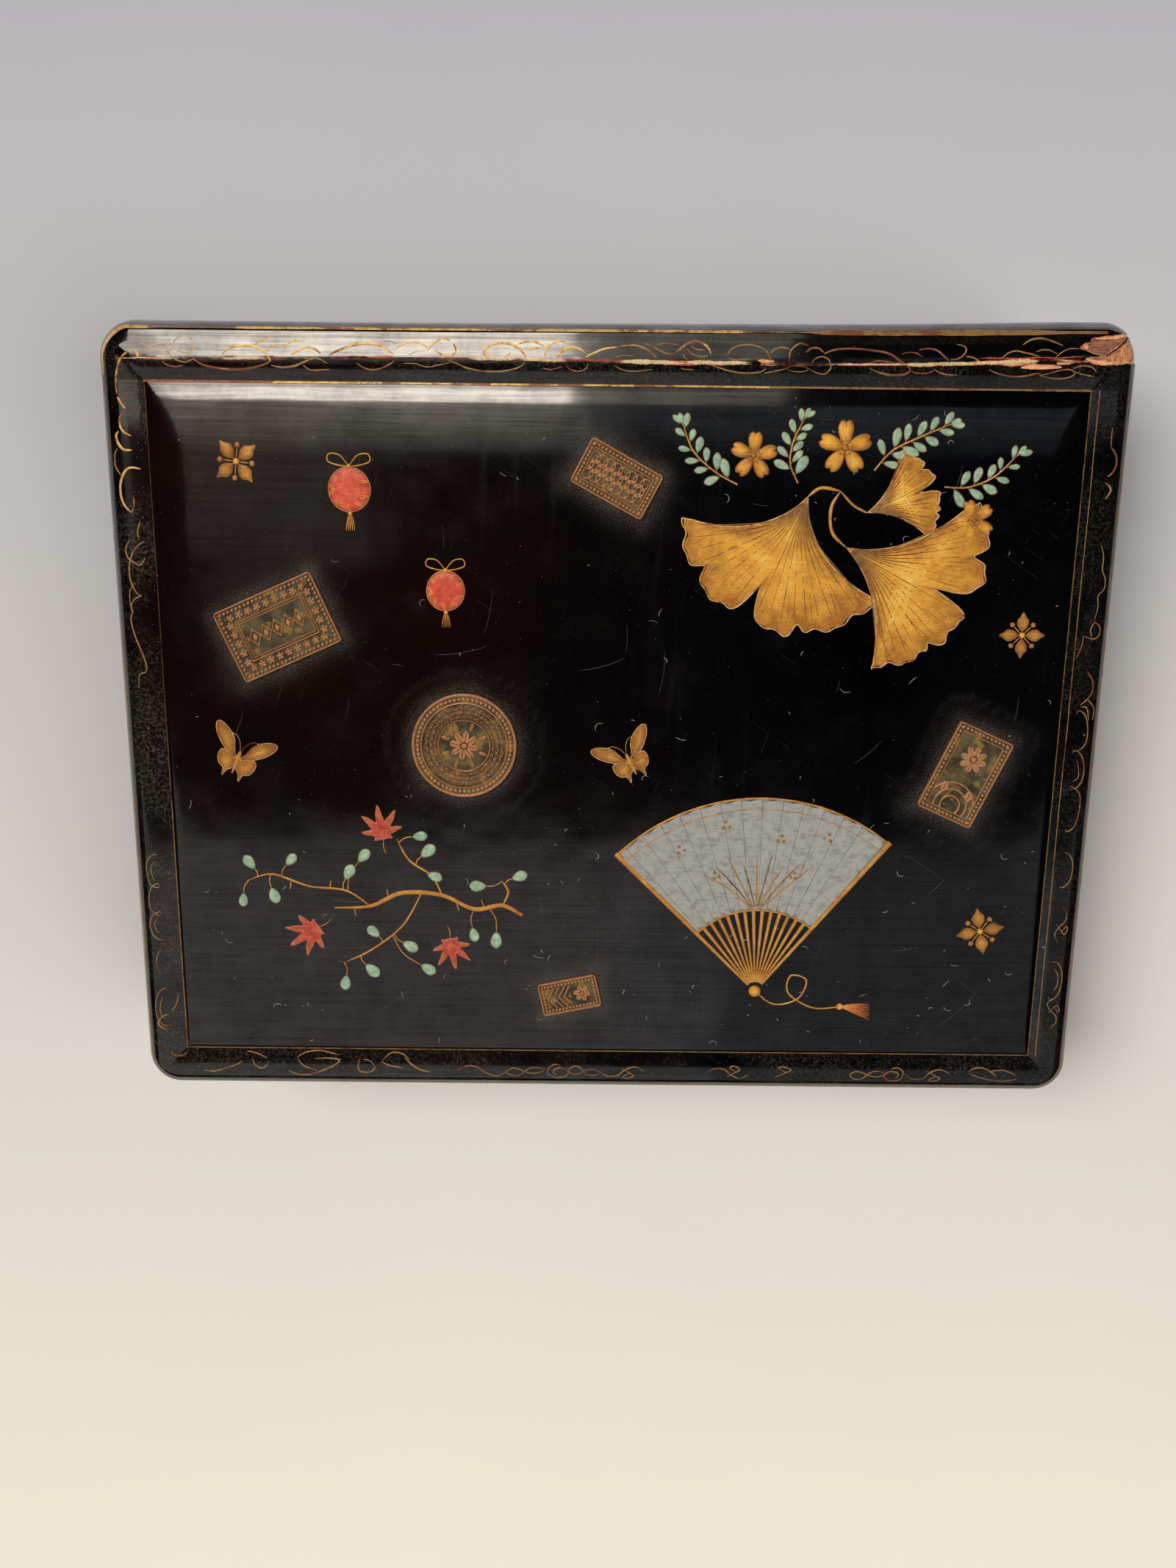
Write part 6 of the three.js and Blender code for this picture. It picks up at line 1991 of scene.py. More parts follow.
def tablet_medium_h(u, v):
    h, e = border(u, v, 9.4, 5.65, 0.95)
    h = max(h, 0.75 * sm(0.12 - abs(e - 1.75), 0.12))
    if e > 2.1:
        for row in (-1, 0, 1):
            for k in range(-4, 5):
                cu, cv = k * 1.9 + (row % 2) * 0.95, row * 1.9
                d = math.hypot(u - cu, v - cv)
                h = max(h, 0.75 * sm(0.16 - abs(d - 1.32), 0.12))
    return h


def tablet_small_h(u, v):
    h, e = border(u, v, 7.5, 4.3, 0.88)
    if e > 1.6:
        h = max(h, rosette(u - 3.2, v, 2.2, 6, 0.26))
        k = (u - abs(v) * 0.7) / 1.35
        if u < 0.4:
            h = max(h, 0.8 * sm(0.17 - abs(k - round(k)) * 1.1, 0.1))
    return h


def slab(bag, cx, cy, turn, hw, hh, z0, z1, rc, bevel, step, hfun=None, amp=0.0, attr="relief", edge_lines=None, floor=None):
    """A flat closed piece with rounded corners, an eased top edge and a height pattern on top."""
    el = edge_lines or [0, .07, .16, .28, .42, .6]

    def lines(half):
        inner = half - el[-1]
        k = max(2, int(round(2 * inner / step)))
        return [-half + f for f in el] + [-inner + 2 * inner * i / k for i in range(1, k)] + [half - f for f in reversed(el)]
    xs, ys = lines(hw), lines(hh)
    nx, ny = len(xs), len(ys)
    T = frame2(cx, cy, math.radians(turn))
    verts, at = [], []
    for y in ys:
        for x in xs:
            px, py = x, y
            kx, ky = hw - rc, hh - rc
            if rc > 0 and abs(x) > kx and abs(y) > ky:
                dx, dy = abs(x) - kx, abs(y) - ky
                l, m = math.hypot(dx, dy), max(dx, dy)
                px, py = math.copysign(kx + dx * m / l, x), math.copysign(ky + dy * m / l, y)
                d = rc - m
            else:
                d = min(hw - abs(x), hh - abs(y))
            d = max(0.0, d)
            z = z1
            if d < bevel:
                z -= bevel * (1 - math.sqrt(max(0, 1 - (1 - d / bevel) ** 2)))
            h = 0.0
            if hfun:
                h = hfun(px, py)
                z = z + amp * h if floor is None else floor(px, py, h)
            gx, gy = T(px, py)
            verts.append((gx, gy, z))
            at.append(h)
    faces = [(j * nx + i, j * nx + i + 1, (j + 1) * nx + i + 1, (j + 1) * nx + i) for j in range(ny - 1) for i in range(nx - 1)]
    ring = list(range(nx)) + [j * nx + nx - 1 for j in range(1, ny)] + [(ny - 1) * nx + i for i in range(nx - 2, -1, -1)] + [j * nx for j in range(ny - 2, 0, -1)]
    base = len(verts)
    for r in ring:
        x, y, z = verts[r]
        verts.append((x, y, z0))
        at.append(0.3)
    n = len(ring)
    for i in range(n):
        j = (i + 1) % n
        faces.append((ring[j], ring[i], base + i, base + j))
    faces.append(tuple(base + i for i in reversed(range(n))))
    bag.add(verts, faces, {attr: at})


def relief_round(bag, cx, cy, R, z0, z1, amp, hfun, nr=64, nt=260):
    verts = [(cx, cy, z1 + amp * hfun(0, 0))]
    at = [hfun(0, 0)]
    for k in range(1, nr + 1):
        r = R * k / nr
        for i in range(nt):
            a = 2 * math.pi * i / nt
            x, y = r * math.cos(a), r * math.sin(a)
            h = hfun(x, y)
            z = z1 + amp * h
            if k == nr:
                z -= 0.22
            elif k == nr - 1:
                z -= 0.05
            verts.append((cx + x, cy + y, z))
            at.append(h)
    base = len(verts)
    for i in range(nt):
        a = 2 * math.pi * i / nt
        verts.append((cx + R * math.cos(a), cy + R * math.sin(a), z0))
        at.append(0.3)
    faces = [(0, 1 + i, 1 + (i + 1) % nt) for i in range(nt)]
    for k in range(nr - 1):
        for i in range(nt):
            j = (i + 1) % nt
            a, b = 1 + k * nt + i, 1 + k * nt + j
            faces.append((a, a + nt, b + nt, b))
    last = 1 + (nr - 1) * nt
    for i in range(nt):
        j = (i + 1) % nt
        faces.append((last + i, base + i, base + j, last + j))
    faces.append(tuple(base + i for i in reversed(range(nt))))
    bag.add(verts, faces, {"relief": at})


bag = Bag()
relief_round(bag, -36, -4, 12.7, 45.75, 46.55, 0.50, medallion_h)
bag.make("relief_round", MAT["relief"], "lid", "relief_medallion", "relief_copper", smooth_angle=60)
for name, hf, (cx, cy, hw, hh, turn) in (("large", tablet_large_h, PLAQUES[1]), ("tall", tablet_tall_h, PLAQUES[2]),
                                         ("medium", tablet_medium_h, PLAQUES[3]), ("small", tablet_small_h, PLAQUES[4])):
    bag = Bag()
    slab(bag, cx, cy, turn, hw, hh, 45.75, 46.44, 0.9, 0.2, 0.155 if hw > 9 else 0.13, hf, 0.46)
    bag.make("relief_" + name, MAT["relief"], "lid", "relief_tablet_" + name, "relief_copper", smooth_angle=60)


# ---------------------------------------------------------------- base and its lip
def nb(node):
    lo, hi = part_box(node)
    return [c * 1000 for c in lo], [c * 1000 for c in hi]


def rounded_box(bag, lo, hi, r, seg=3, mat=0, wobble=0.0):
    """A box with rounded edges, closed, as one shell."""
    bm = bmesh.new()
    bmesh.ops.create_cube(bm, size=1.0)
    c = [(a + b) / 2 for a, b in zip(lo, hi)]
    d = [b - a for a, b in zip(lo, hi)]
    for v in bm.verts:
        v.co = Vector((c[0] + v.co.x * d[0], c[1] + v.co.y * d[1], c[2] + v.co.z * d[2]))
    r = min(r, min(d) * 0.45)
    bmesh.ops.bevel(bm, geom=list(bm.edges), offset=r, segments=seg, affect="EDGES", profile=0.5)
    bm.verts.index_update()
    vs = [tuple(v.co) for v in bm.verts]
    fs = [tuple(v.index for v in f.verts) for f in bm.faces]
    bm.free()
    bag.add(vs, fs, None, mat)


def make_wall(side):
    t = 5.9
    profile = [(t, 0.6), (t, BASE_TOP - 0.5), (t - 0.15, BASE_TOP - 0.15), (t - 0.5, BASE_TOP), (0.7, BASE_TOP), (0.25, BASE_TOP - 0.12), (0.06, BASE_TOP - 0.38), (0.0, BASE_TOP - 0.8)]
    profile += [(0.0, z) for z in (30, 25, 20, 15, 10, 6, 3.2)]
    profile += [(0.0, 2.2), (0.12, 1.3), (0.45, 0.6), (1.0, 0.18), (1.8, 0.0), (t - 0.8, 0.0), (t - 0.3, 0.15)]
    bag = Bag()
    verts, faces = sweep_side(bag, side, profile, side_stations(side, 5.0, 22), keep=t)
    bag.add(verts, faces)
    bag.make(f"wall_{side}", MAT["wall"], "base", f"base_{side}_wall", "black_lacquer", smooth_angle=50)


for sd in ("rear", "left", "front", "right"):
    make_wall(sd)


def loop_at(offset, z, step=3.0, r=None):
    """Points round the outside of the box, with outward normals."""
    out = []
    r = CORNER + offset
    for k in range(4):
        cx = (WIDTH / 2 - CORNER) * (1 if k in (0, 3) else -1)
        cy = (DEPTH / 2 - CORNER) * (1 if k in (0, 1) else -1)
        for i in range(11):
            a = math.radians(90 * k + 9 * i)
            d = Vector((math.cos(a), math.sin(a), 0))
            out.append((Vector((cx, cy, z)) + d * r, d))
        nx_ = (k + 1) % 4
        cx2 = (WIDTH / 2 - CORNER) * (1 if nx_ in (0, 3) else -1)
        cy2 = (DEPTH / 2 - CORNER) * (1 if nx_ in (0, 1) else -1)
        a = math.radians(90 * (k + 1))
        d = Vector((math.cos(a), math.sin(a), 0))
        L = math.hypot(cx2 - cx, cy2 - cy)
        m = int(L / step)
        for i in range(1, m):
            f = i / m
            out.append((Vector((lerp(cx, cx2, f), lerp(cy, cy2, f), z)) + d * r, d))
    for p, d in out:
        if p.y > 60:
            p.y += rear_dy(p.x) * smooth(60, 86.5, p.y)
    return out


# worn lines near the top and foot of the base, and a scroll like the lid's
bag = Bag()
for z, w in ((32.6, 0.45), (2.9, 0.4)):
    pts = loop_at(0.01, z)
    pts.append(pts[0])
    cur, ws = [], []
    for i, (p, d) in enumerate(pts):
        lost = n1(i * 0.11, z) > 0.42
        if lost:
            if len(cur) > 2:
                ribbon(bag, cur, ws, 0.05, 0.1)
            cur, ws = [], []
            continue
        cur.append((p, d))
        ws.append(w * (1 + 0.3 * n1(i * 0.4, 2)))
    if len(cur) > 2:
        ribbon(bag, cur, ws, 0.05, 0.1)
rng = random.Random(19)
for side, half in (("rear", 104), ("left", 80), ("front", 104), ("right", 80)):
    def wall_map(u, v, side=side):
        if side == "front":
            return Vector((u, -DEPTH / 2, v)), Vector((0, -1, 0))
        if side == "rear":
            return Vector((-u, DEPTH / 2 + rear_dy(-u), v)), Vector((0, 1, 0))
        if side == "left":
            return Vector((-WIDTH / 2, -u + (rear_dy(-WIDTH / 2) * smooth(60, 86.5, -u) if u < -60 else 0), v)), Vector((-1, 0, 0))
        return Vector((WIDTH / 2, u, v)), Vector((1, 0, 0))
    waves = 7 if half > 90 else 5
    pitch = 2 * half / waves
    mid = 17.4

    def stem(u):
        return mid + 5.2 * math.sin(2 * math.pi * (u + half) / pitch) + 0.5 * n1(u * 0.06, 40)
    for k in range(waves):
        a, b = -half + k * pitch, -half + (k + 1) * pitch
        stroke(bag, [(lerp(a, b, i / 8) , stem(lerp(a, b, i / 8))) for i in range(9)], 0.95, wall_map, (0.75, 0.75), 56, 0.06)
    for k in range(2 * waves):
        sg = 1 if k % 2 == 0 else -1
        uc, vc = -half + (k + 0.5) * pitch / 2, mid - sg * 0.8
        size = rng.uniform(0.92, 1.05)
        pts = []
        for i in range(13):
            t = i / 12
            ang = math.pi * (1.0 + 2.45 * t)
            r = lerp(5.5, 0.9, t ** 0.8) * size
            pts.append((uc + 1.12 * r * math.cos(ang), vc + sg * r * math.sin(ang)))
        pts.insert(0, (uc - 7.4, stem(uc - 7.4)))
        stroke(bag, pts, 0.8, wall_map, (0.8, 0.7), 84, 0.06)
        # small comma leaves off the outside of each bend
        for du, lean, reach in ((-4.2, -1.6, 3.4), (0.6, 0.6, 3.0), (4.8, 2.6, 3.6)):
            u0 = uc + du
            if rng.random() < 0.08:
                continue
            v0 = stem(u0)
            stroke(bag, [(u0, v0), (u0 + 0.6 * lean, v0 + sg * 0.6 * reach), (u0 + 1.5 * lean, v0 + sg * reach)], 0.85, wall_map, (0.35, 1.0), 14, 0.06)
bag.make("base_ornament", MAT["gold_brass"], "base", slot="black_lacquer", smooth_angle=60)

bag = Bag()
lo, hi = nb("base_bottom_board")
slab(bag, 0, 0, 0, hi[0], hi[1], lo[2], hi[2], 3.0, 0.2, 12.0, None)
bag.make("bottom_board", MAT["inner"], "base", "base_bottom_board", "inner_lacquer")
for node in ("rear_lip_strip", "front_lip_strip", "left_lip_strip", "right_lip_strip"):
    bag = Bag()
    lo, hi = nb(node)
    rounded_box(bag, lo, hi, 0.7, 4)
    bag.make(node + "_eased", MAT["inner"], "base", node, "inner_lacquer")
# worn gold along the lip's top
bag = Bag()
for (x0, y0, x1, y1) in ((-111, 88.4, 111, 88.4), (-111, -88.4, 111, -88.4), (-112.9, -86.5, -112.9, 86.5), (112.9, -86.5, 112.9, 86.5)):
    pts, ws = [], []
    m = 90
    for i in range(m + 1):
        t = i / m
        pts.append((Vector((lerp(x0, x1, t), lerp(y0, y1, t), 38.78)), Vector((0, 0, 1))))
        ws.append(0.62 * (1 + 0.3 * n1(i * 0.3, x0)))
    ribbon(bag, pts, ws, 0.05, 0.1)
bag.make("lip_gold", MAT["gold_dull"], "base", slot="inner_lacquer", smooth_angle=60)

# the lid's inside: a flecked lining under the board
bag = Bag()
slab(bag, 0, 0, 0, 113.6, 89.1, 40.18, 40.44, 2.6, 0.1, 10.0, None)
bag.make("lid_lining", MAT["fleck"], "lid", slot="gold_fleck_lacquer")

# ---------------------------------------------------------------- trays and ink board
for pre in ("tool_tray", "brush_tray"):
    bag = Bag()
    lo, hi = nb(pre + "_floor")
    rounded_box(bag, lo, hi, 0.5, 3)
    bag.make(pre + "_floor_eased", MAT["fleck"], pre, pre + "_floor", "gold_fleck_lacquer")
    for w in ("left", "right", "rear", "front"):
        bag = Bag()
        lo, hi = nb(f"{pre}_{w}_wall")
        rounded_box(bag, lo, hi, 0.75, 4)
        bag.make(f"{pre}_{w}_eased", MAT["inner"], pre, f"{pre}_{w}_wall", "gold_fleck_lacquer")
    bag = Bag()
    (x0, y0, _), (x1, y1, z1) = [v for v in (nb(pre + "_left_wall")[0], nb(pre + "_right_wall")[1])]
    ya, yb = nb(pre + "_front_wall")[0][1], nb(pre + "_rear_wall")[1][1]
    for (a, b, c, d) in ((x0 + 1, ya + 1, x1 - 1, ya + 1), (x0 + 1, yb - 1, x1 - 1, yb - 1), (x0 + 1, ya + 1, x0 + 1, yb - 1), (x1 - 1, ya + 1, x1 - 1, yb - 1)):
        m = 70
        pts = [(Vector((lerp(a, c, i / m), lerp(b, d, i / m), z1 - 0.01)), Vector((0, 0, 1))) for i in range(m + 1)]
        ribbon(bag, pts, [0.75 * (1 + 0.25 * n1(i * 0.4, a)) for i in range(m + 1)], 0.05, 0.1)
    bag.make(pre + "_gold", MAT["gold_dull"], pre, slot="gold_fleck_lacquer", smooth_angle=60)

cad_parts["ink_board"].data.materials.clear()
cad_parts["ink_board"].data.materials.append(MAT["fleck"])
bag = Bag()
Z = 9.8
pts = []
for i in range(97):
    a = 2 * math.pi * i / 96
    pts.append((Vector((18.4 * math.cos(a), 55 + 18.4 * math.sin(a), Z)), Vector((0, 0, 1))))
ribbon(bag, pts, 0.6, 0.05, 0.1)


def rect_loop(cx, cy, hx, hy, r):
    out = []
    for k, (sx, sy) in enumerate(((1, 1), (-1, 1), (-1, -1), (1, -1))):
        for i in range(9):
            a = math.radians(90 * k + 90 * i / 8)
            out.append((cx + sx * (hx - r) + r * math.cos(a), cy + sy * (hy - r) + r * math.sin(a)))
    out.append(out[0])
    return out


for (cx, cy, hx, hy, r, w) in ((0, -22, 35.4, 54.4, 5.0, 0.6), (0, 0, 58.2, 84.9, 2.0, 0.7)):
    pts = []
    L = rect_loop(cx, cy, hx, hy, r)
    for (a, b), (c, d) in zip(L, L[1:]):
        m = max(1, int(math.hypot(c - a, d - b) / 3))
        for i in range(m):
            pts.append((Vector((lerp(a, c, i / m), lerp(b, d, i / m), Z)), Vector((0, 0, 1))))
    pts.append(pts[0])
    ribbon(bag, pts, [w * (1 + 0.25 * n1(i * 0.3, cy)) for i in range(len(pts))], 0.05, 0.1)
bag.make("ink_board_gold", MAT["gold_dull"], "ink_board", slot="gold_fleck_lacquer", smooth_angle=60)

# ---------------------------------------------------------------- inkstone
SX, SY = 0.0, -22.0
S_LO, S_HI = nb("inkstone")
S_TOP = S_HI[2]


def sd_round(x, y, hx, hy, r):
    dx, dy = abs(x) - hx + r, abs(y) - hy + r
    return math.hypot(max(dx, 0), max(dy, 0)) + min(max(dx, dy), 0) - r


def stone_floor(x, y, h):
    """Height of the stone's face, local to its centre."""
    z = S_TOP
    d = -sd_round(x, y, 27.4, 45.4, 8.0)              # inside the raised margin
    if d > -1.0:
        k = smooth(-0.9, 2.4, d)
        land = 2.1 + 0.5 * smooth(-40, 14, y)
        fall = smooth(15, 31, y)
        side = smooth(0.0, 5.5, 27.4 - abs(x))
        end = smooth(0.0, 5.0, 45.4 - y)
        depth = land + 6.0 * fall * side * end
        z -= k * depth
    e = -sd_round(x, y, 34, 53, 4.4)
    if e < 1.1:
        z -= 1.1 * (1 - math.sqrt(max(0, 1 - (1 - max(0, e) / 1.1) ** 2)))
    return z + 0.05 * n2(x * 0.35, y * 0.35, 4)


bag = Bag()
slab(bag, SX, SY, 0, 34, 53, S_LO[2], S_TOP, 4.4, 0.0, 0.85, lambda x, y: 0.0, 0.0, floor=stone_floor, edge_lines=[0, .1, .25, .5, .8, 1.1, 1.6, 2.2])
bag.make("inkstone_ground", MAT["slate"], "inkstone", "inkstone", "slate", smooth_angle=60)


# ---------------------------------------------------------------- turned pieces
def lathe(bag, profile, cx, cy, cz, axis="z", seg=48, wobble=None, attr=None, attrf=None, flip=False):
    """profile [(r, h)] from the axis round to the axis; closed."""
    rings, verts, at = [], [], []
    for k, (r, h) in enumerate(profile):
        if r < 1e-6:
            rings.append([len(verts)])
            verts.append((0.0, 0.0, h))
            at.append(attrf(0, h, 0) if attrf else 0)
        else:
            row = []
            for i in range(seg):
                a = 2 * math.pi * i / seg
                rr = r + (wobble(a, h, r) if wobble else 0)
                row.append(len(verts))
                verts.append((rr * math.cos(a), rr * math.sin(a), h))
                at.append(attrf(r, h, a) if attrf else 0)
            rings.append(row)
    faces = []
    for a, b in zip(rings, rings[1:]):
        if len(a) == 1 and len(b) == 1:
            continue
        if len(a) == 1:
            faces += [(a[0], b[i], b[(i + 1) % seg]) for i in range(seg)]
        elif len(b) == 1:
            faces += [(a[i], b[0], a[(i + 1) % seg]) for i in range(seg)]
        else:
            faces += [(a[i], b[i], b[(i + 1) % seg], a[(i + 1) % seg]) for i in range(seg)]
    out = []
    for (x, y, z) in verts:
        if axis == "y":
            x, y, z = x, z, -y
        out.append((cx + x, cy + y, cz + z))
    bag.add(out, faces, {attr: at} if attr else None)


def curve_profile(ctrl, n):
    return [(max(0.0, r), h) for r, h in curve_pts(ctrl, n)]


# water dropper: a flattened round vessel with a chased flower round the pin hole
lo, hi = nb("water_dropper")
cx, cy, cz = (lo[0] + hi[0]) / 2, (lo[1] + hi[1]) / 2, lo[2]
outer = [(13, 0.0), (15.2, 0.9), (16.5, 2.9), (17, 5.6), (16.6, 7.8), (15.2, 9.6), (12.6, 11.2), (9.5, 12.2), (6, 12.85), (3.2, 13.1), (1.35, 13.2)]
prof_o = [(0, 0), (6, 0.0), (11, 0.0)] + curve_profile(outer, 60)
inner = [(1.3, 12.9), (1.3, 12.0), (5.8, 11.7), (10.6, 10.7), (14, 8.7), (15.7, 6.1), (15.2, 3), (12.4, 1.2), (6, 1.2), (0, 1.2)]


def chase(a, h, r):
    if h < 8.4 or r < 2.2 or h < 8 or r > 15.6:
        return 0.0
    return 0.0


bag = Bag()
seg = 144
prof_all = prof_o + inner
rings, verts = [], []
for k, (r, h) in enumerate(prof_all):
    if r < 1e-6:
        rings.append([len(verts)])
        verts.append((cx, cy, cz + h))
        continue
    row = []
    for i in range(seg):
        a = 2 * math.pi * i / seg
        dz = dr = 0.0
        if k < len(prof_o) and h > 8.5:
            # petals: grooves between and along them
            p = abs(math.cos(8 * a / 2 * 1.0))
            edge = 4.5 + 9.3 * (0.72 + 0.28 * p)
            inside = sm(edge - r, 0.8) * sm(r - 3.0, 0.8)
            groove = math.exp(-((math.sin(4 * a) * r * 0.22) / 0.28) ** 2)
            dz = -0.22 * groove * inside - 0.18 * math.exp(-((r - edge) / 0.35) ** 2) - 0.2 * math.exp(-((r - 2.6) / 0.3) ** 2)
        row.append(len(verts))
        verts.append((cx + r * math.cos(a), cy + r * math.sin(a), cz + h + dz))
    rings.append(row)
faces = []
for a, b in zip(rings, rings[1:]):
    if len(a) == 1:
        faces += [(a[0], b[i], b[(i + 1) % seg]) for i in range(seg)]
    elif len(b) == 1:
        faces += [(a[i], b[0], a[(i + 1) % seg]) for i in range(seg)]
    else:
        faces += [(a[i], b[i], b[(i + 1) % seg], a[(i + 1) % seg]) for i in range(seg)]
bag.add(verts, faces)
bag.make("dropper_chased", MAT["copper"], "water_dropper", "water_dropper", "dropper_copper", smooth_angle=50)


def make_brush(name, nodes_at):
    lo, hi = nb(name + "_shaft")
    x, z = (lo[0] + hi[0]) / 2, (lo[2] + hi[2]) / 2
    r = (hi[0] - lo[0]) / 2
    L = hi[1] - lo[1]
    marks = [L * f for f in nodes_at]

    def radius(h):
        k = 0.0
        for q in marks:
            k = max(k, math.exp(-((h - q) / 0.9) ** 2))
        return r * (0.93 + 0.015 * math.sin(h * 0.05)) + 0.30 * k - 0.18 * max([math.exp(-((h - q - 1.1) / 0.35) ** 2) for q in marks])
    profile = [(0, 0), (r * 0.35, 0.0), (r * 0.42, 0.5), (r * 0.78, 0.35), (r * 0.88, 0.6)]
    m = int(L / 0.7)
    profile += [(radius(1.2 + (L - 1.4) * i / m), 1.2 + (L - 1.4) * i / m) for i in range(m + 1)] + [(r * 0.8, L), (0, L)]
    bag = Bag()
    lathe(bag, profile, x, lo[1], z, "y", 36, attr="node",
          attrf=lambda rr, h, a: min(1.0, max([math.exp(-((h - q - 0.9) / 0.5) ** 2) for q in marks] + [0.8 * (h < 0.5)])))
    bag.make(name + "_cane", MAT["bamboo"], name, name + "_shaft", "bamboo", smooth_angle=50)
    lo2, hi2 = nb(name + "_ferrule")
    r2 = (hi2[0] - lo2[0]) / 2
    L2 = hi2[1] - lo2[1]
    ctrl = [(0, 0), (r2 * 0.84, 0), (r2 * 0.93, 0.5), (r2 * 0.99, 1.6), (r2 * 0.99, 2.2), (r2 * 0.94, 2.5), (r2 * 0.94, 2.8), (r2 * 0.99, 3.1), (r2 * 0.995, 6),
            (r2 * 0.99, L2 - 3.2), (r2 * 0.93, L2 - 2.9), (r2 * 0.93, L2 - 2.6), (r2 * 0.98, L2 - 2.3), (r2 * 0.96, L2 - 0.8), (r2 * 0.9, L2 - 0.1), (r2 * 0.8, L2), (0, L2)]
    bag = Bag()
    lathe(bag, ctrl, x, lo2[1], z, "y", 40)
    bag.make(name + "_horn", MAT["horn"], name, name + "_ferrule", "horn", smooth_angle=40)
    lo3, hi3 = nb(name + "_tuft")
    r3 = (hi3[0] - lo3[0]) / 2
    L3 = hi3[1] - lo3[1]
    shape = curve_profile([(r3 * 0.86, 0.0), (r3 * 0.93, 2.5), (r3 * 0.98, 7), (r3 * 0.93, 12), (r3 * 0.78, 17), (r3 * 0.52, 22), (r3 * 0.24, 26.5), (r3 * 0.10, 28.6), (0.14, L3 - 0.1)], 80)

    def hair(a, h, rr):
        t = h / L3
        return rr * (0.022 * math.sin(23 * a + 2 * math.sin(h * 0.15)) + 0.018 * math.sin(41 * a + h * 0.05) + 0.02 * noise.noise(Vector((math.cos(a) * 3, math.sin(a) * 3, h * 0.06)))) \
            - 0.05 * rr * (0.5 + 0.5 * math.sin(9 * a)) * t
    bag = Bag()
    lathe(bag, [(0, 0)] + shape + [(0, L3)], x, lo3[1], z, "y", 132, wobble=hair, attr="tip", attrf=lambda rr, h, a: h / L3 + 0.08 * noise.noise(Vector((math.cos(a) * 2, math.sin(a) * 2, h * 0.1))))
    bag.make(name + "_hair", MAT["hair"], name, name + "_tuft", "brush_hair", smooth_angle=80)


make_brush("large_brush", (0.12, 0.46, 0.86))
make_brush("small_brush", (0.20, 0.63))

# ---------------------------------------------------------------- ink stick, knife, awl
lo, hi = nb("ink_stick")
cx, cy = (lo[0] + hi[0]) / 2, (lo[1] + hi[1]) / 2
hw, hh = (hi[0] - lo[0]) / 2, (hi[1] - lo[1]) / 2


def stick_h(x, y):
    e = min(hw - abs(x), hh - abs(y))
    h = sm(0.9 - abs(e - 1.5), 0.3) * 0.0 + sm(1.9 - e, 0.25)
    if e > 2.2:
        # a cloud scroll down the face
        for k in range(-3, 4):
            d = math.hypot(x - 1.6 * (1 if k % 2 else -1), y - k * 9.2)
            h = max(h, 0.8 * sm(0.32 - abs(d - 2.5), 0.2), 0.8 * sm(0.28 - abs(d - 1.1), 0.2))
    return h


bag = Bag()
worn = lambda x, y, h: hi[2] - 0.5 + 0.42 * h - 2.6 * smooth(hh - 9, hh, y + 0.8 * n1(x * 0.5, 2)) ** 1.5 - 0.5 * (1 - smooth(0, 0.7, min(hw - abs(x), hh - abs(y))))
slab(bag, cx, cy, 0, hw, hh, lo[2], hi[2], 1.6, 0.0, 0.5, stick_h, 0.0, floor=worn)
bag.make("ink_stick_moulded", MAT["ink"], "ink_stick", "ink_stick", "ink_cake", smooth_angle=60)

lo, hi = nb("paper_knife_handle")
cx, cy = (lo[0] + hi[0]) / 2, (lo[1] + hi[1]) / 2
hw, hh = (hi[0] - lo[0]) / 2, (hi[1] - lo[1]) / 2
bag = Bag()
mid = (lo[2] + hi[2]) / 2
grip = lambda x, y, h: mid + (hi[2] - mid) * math.sqrt(max(0.0, 1 - (abs(x) / hw) ** 3.2)) * (1 - 0.10 * math.cos(y / hh * math.pi)) * 0.93 * smooth(-0.6, 2.2, hh - abs(y)) ** 0.5
slab(bag, cx, cy, 0, hw, hh, mid, hi[2], 3.0, 0.0, 0.9, lambda x, y: 0.0, 0.0, floor=grip)
slab(bag, cx, cy, 0, hw * 0.985, hh * 0.998, lo[2], mid + 0.01, 3.0, 0.0, 3.0)
bag.make("knife_grip", MAT["horn"], "paper_knife", "paper_knife_handle", "horn", smooth_angle=50)
bag = Bag()
for yy in (hh - 1.6, hh - 3.4, -hh + 2.2):
    w = hw * 1.0
    pts = []
    for i in range(17):
        t = lerp(-0.985, 0.985, i / 16)
        pts.append((Vector((cx + w * t, cy + yy, grip(w * t, yy, 0) + 0.0)), Vector((t * 0.6, 0, 1)).normalized()))
    ribbon(bag, pts, 0.8, 0.1, 0.3)
bag.make("knife_bands", MAT["copper"], "paper_knife", slot="dropper_copper", smooth_angle=60)

lo, hi = nb("paper_knife_blade")
x0, x1, y0, y1 = lo[0], hi[0], lo[1], hi[1]
zc = (lo[2] + hi[2]) / 2
th = (hi[2] - lo[2]) / 2
bag = Bag()
verts, faces = [], []
m = 64
for i in range(m + 1):
    y = lerp(y0, y1 - 0.15, i / m)
    t = max(0.0, (y - (y0 + 47)) / (y1 - y0 - 47))
    right = x1 - 8.2 * t ** 2.1
    right = max(right, x0 + 0.35)
    for (fx, fz) in ((0, -0.85), (0.04, -1), (0.62, -1), (1.0, -0.06), (1.0, 0.06), (0.62, 1), (0.04, 1), (0, 0.85)):
        verts.append((lerp(x0, right, fx), y, zc + th * fz * (1 - 0.4 * t)))
k = 8
for i in range(m):
    for j in range(k):
        a, b = i * k + j, i * k + (j + 1) % k
        faces.append((a, b, b + k, a + k))
faces.append(tuple(reversed(range(k))))
faces.append(tuple(range(m * k, m * k + k)))
bag.add(verts, faces)
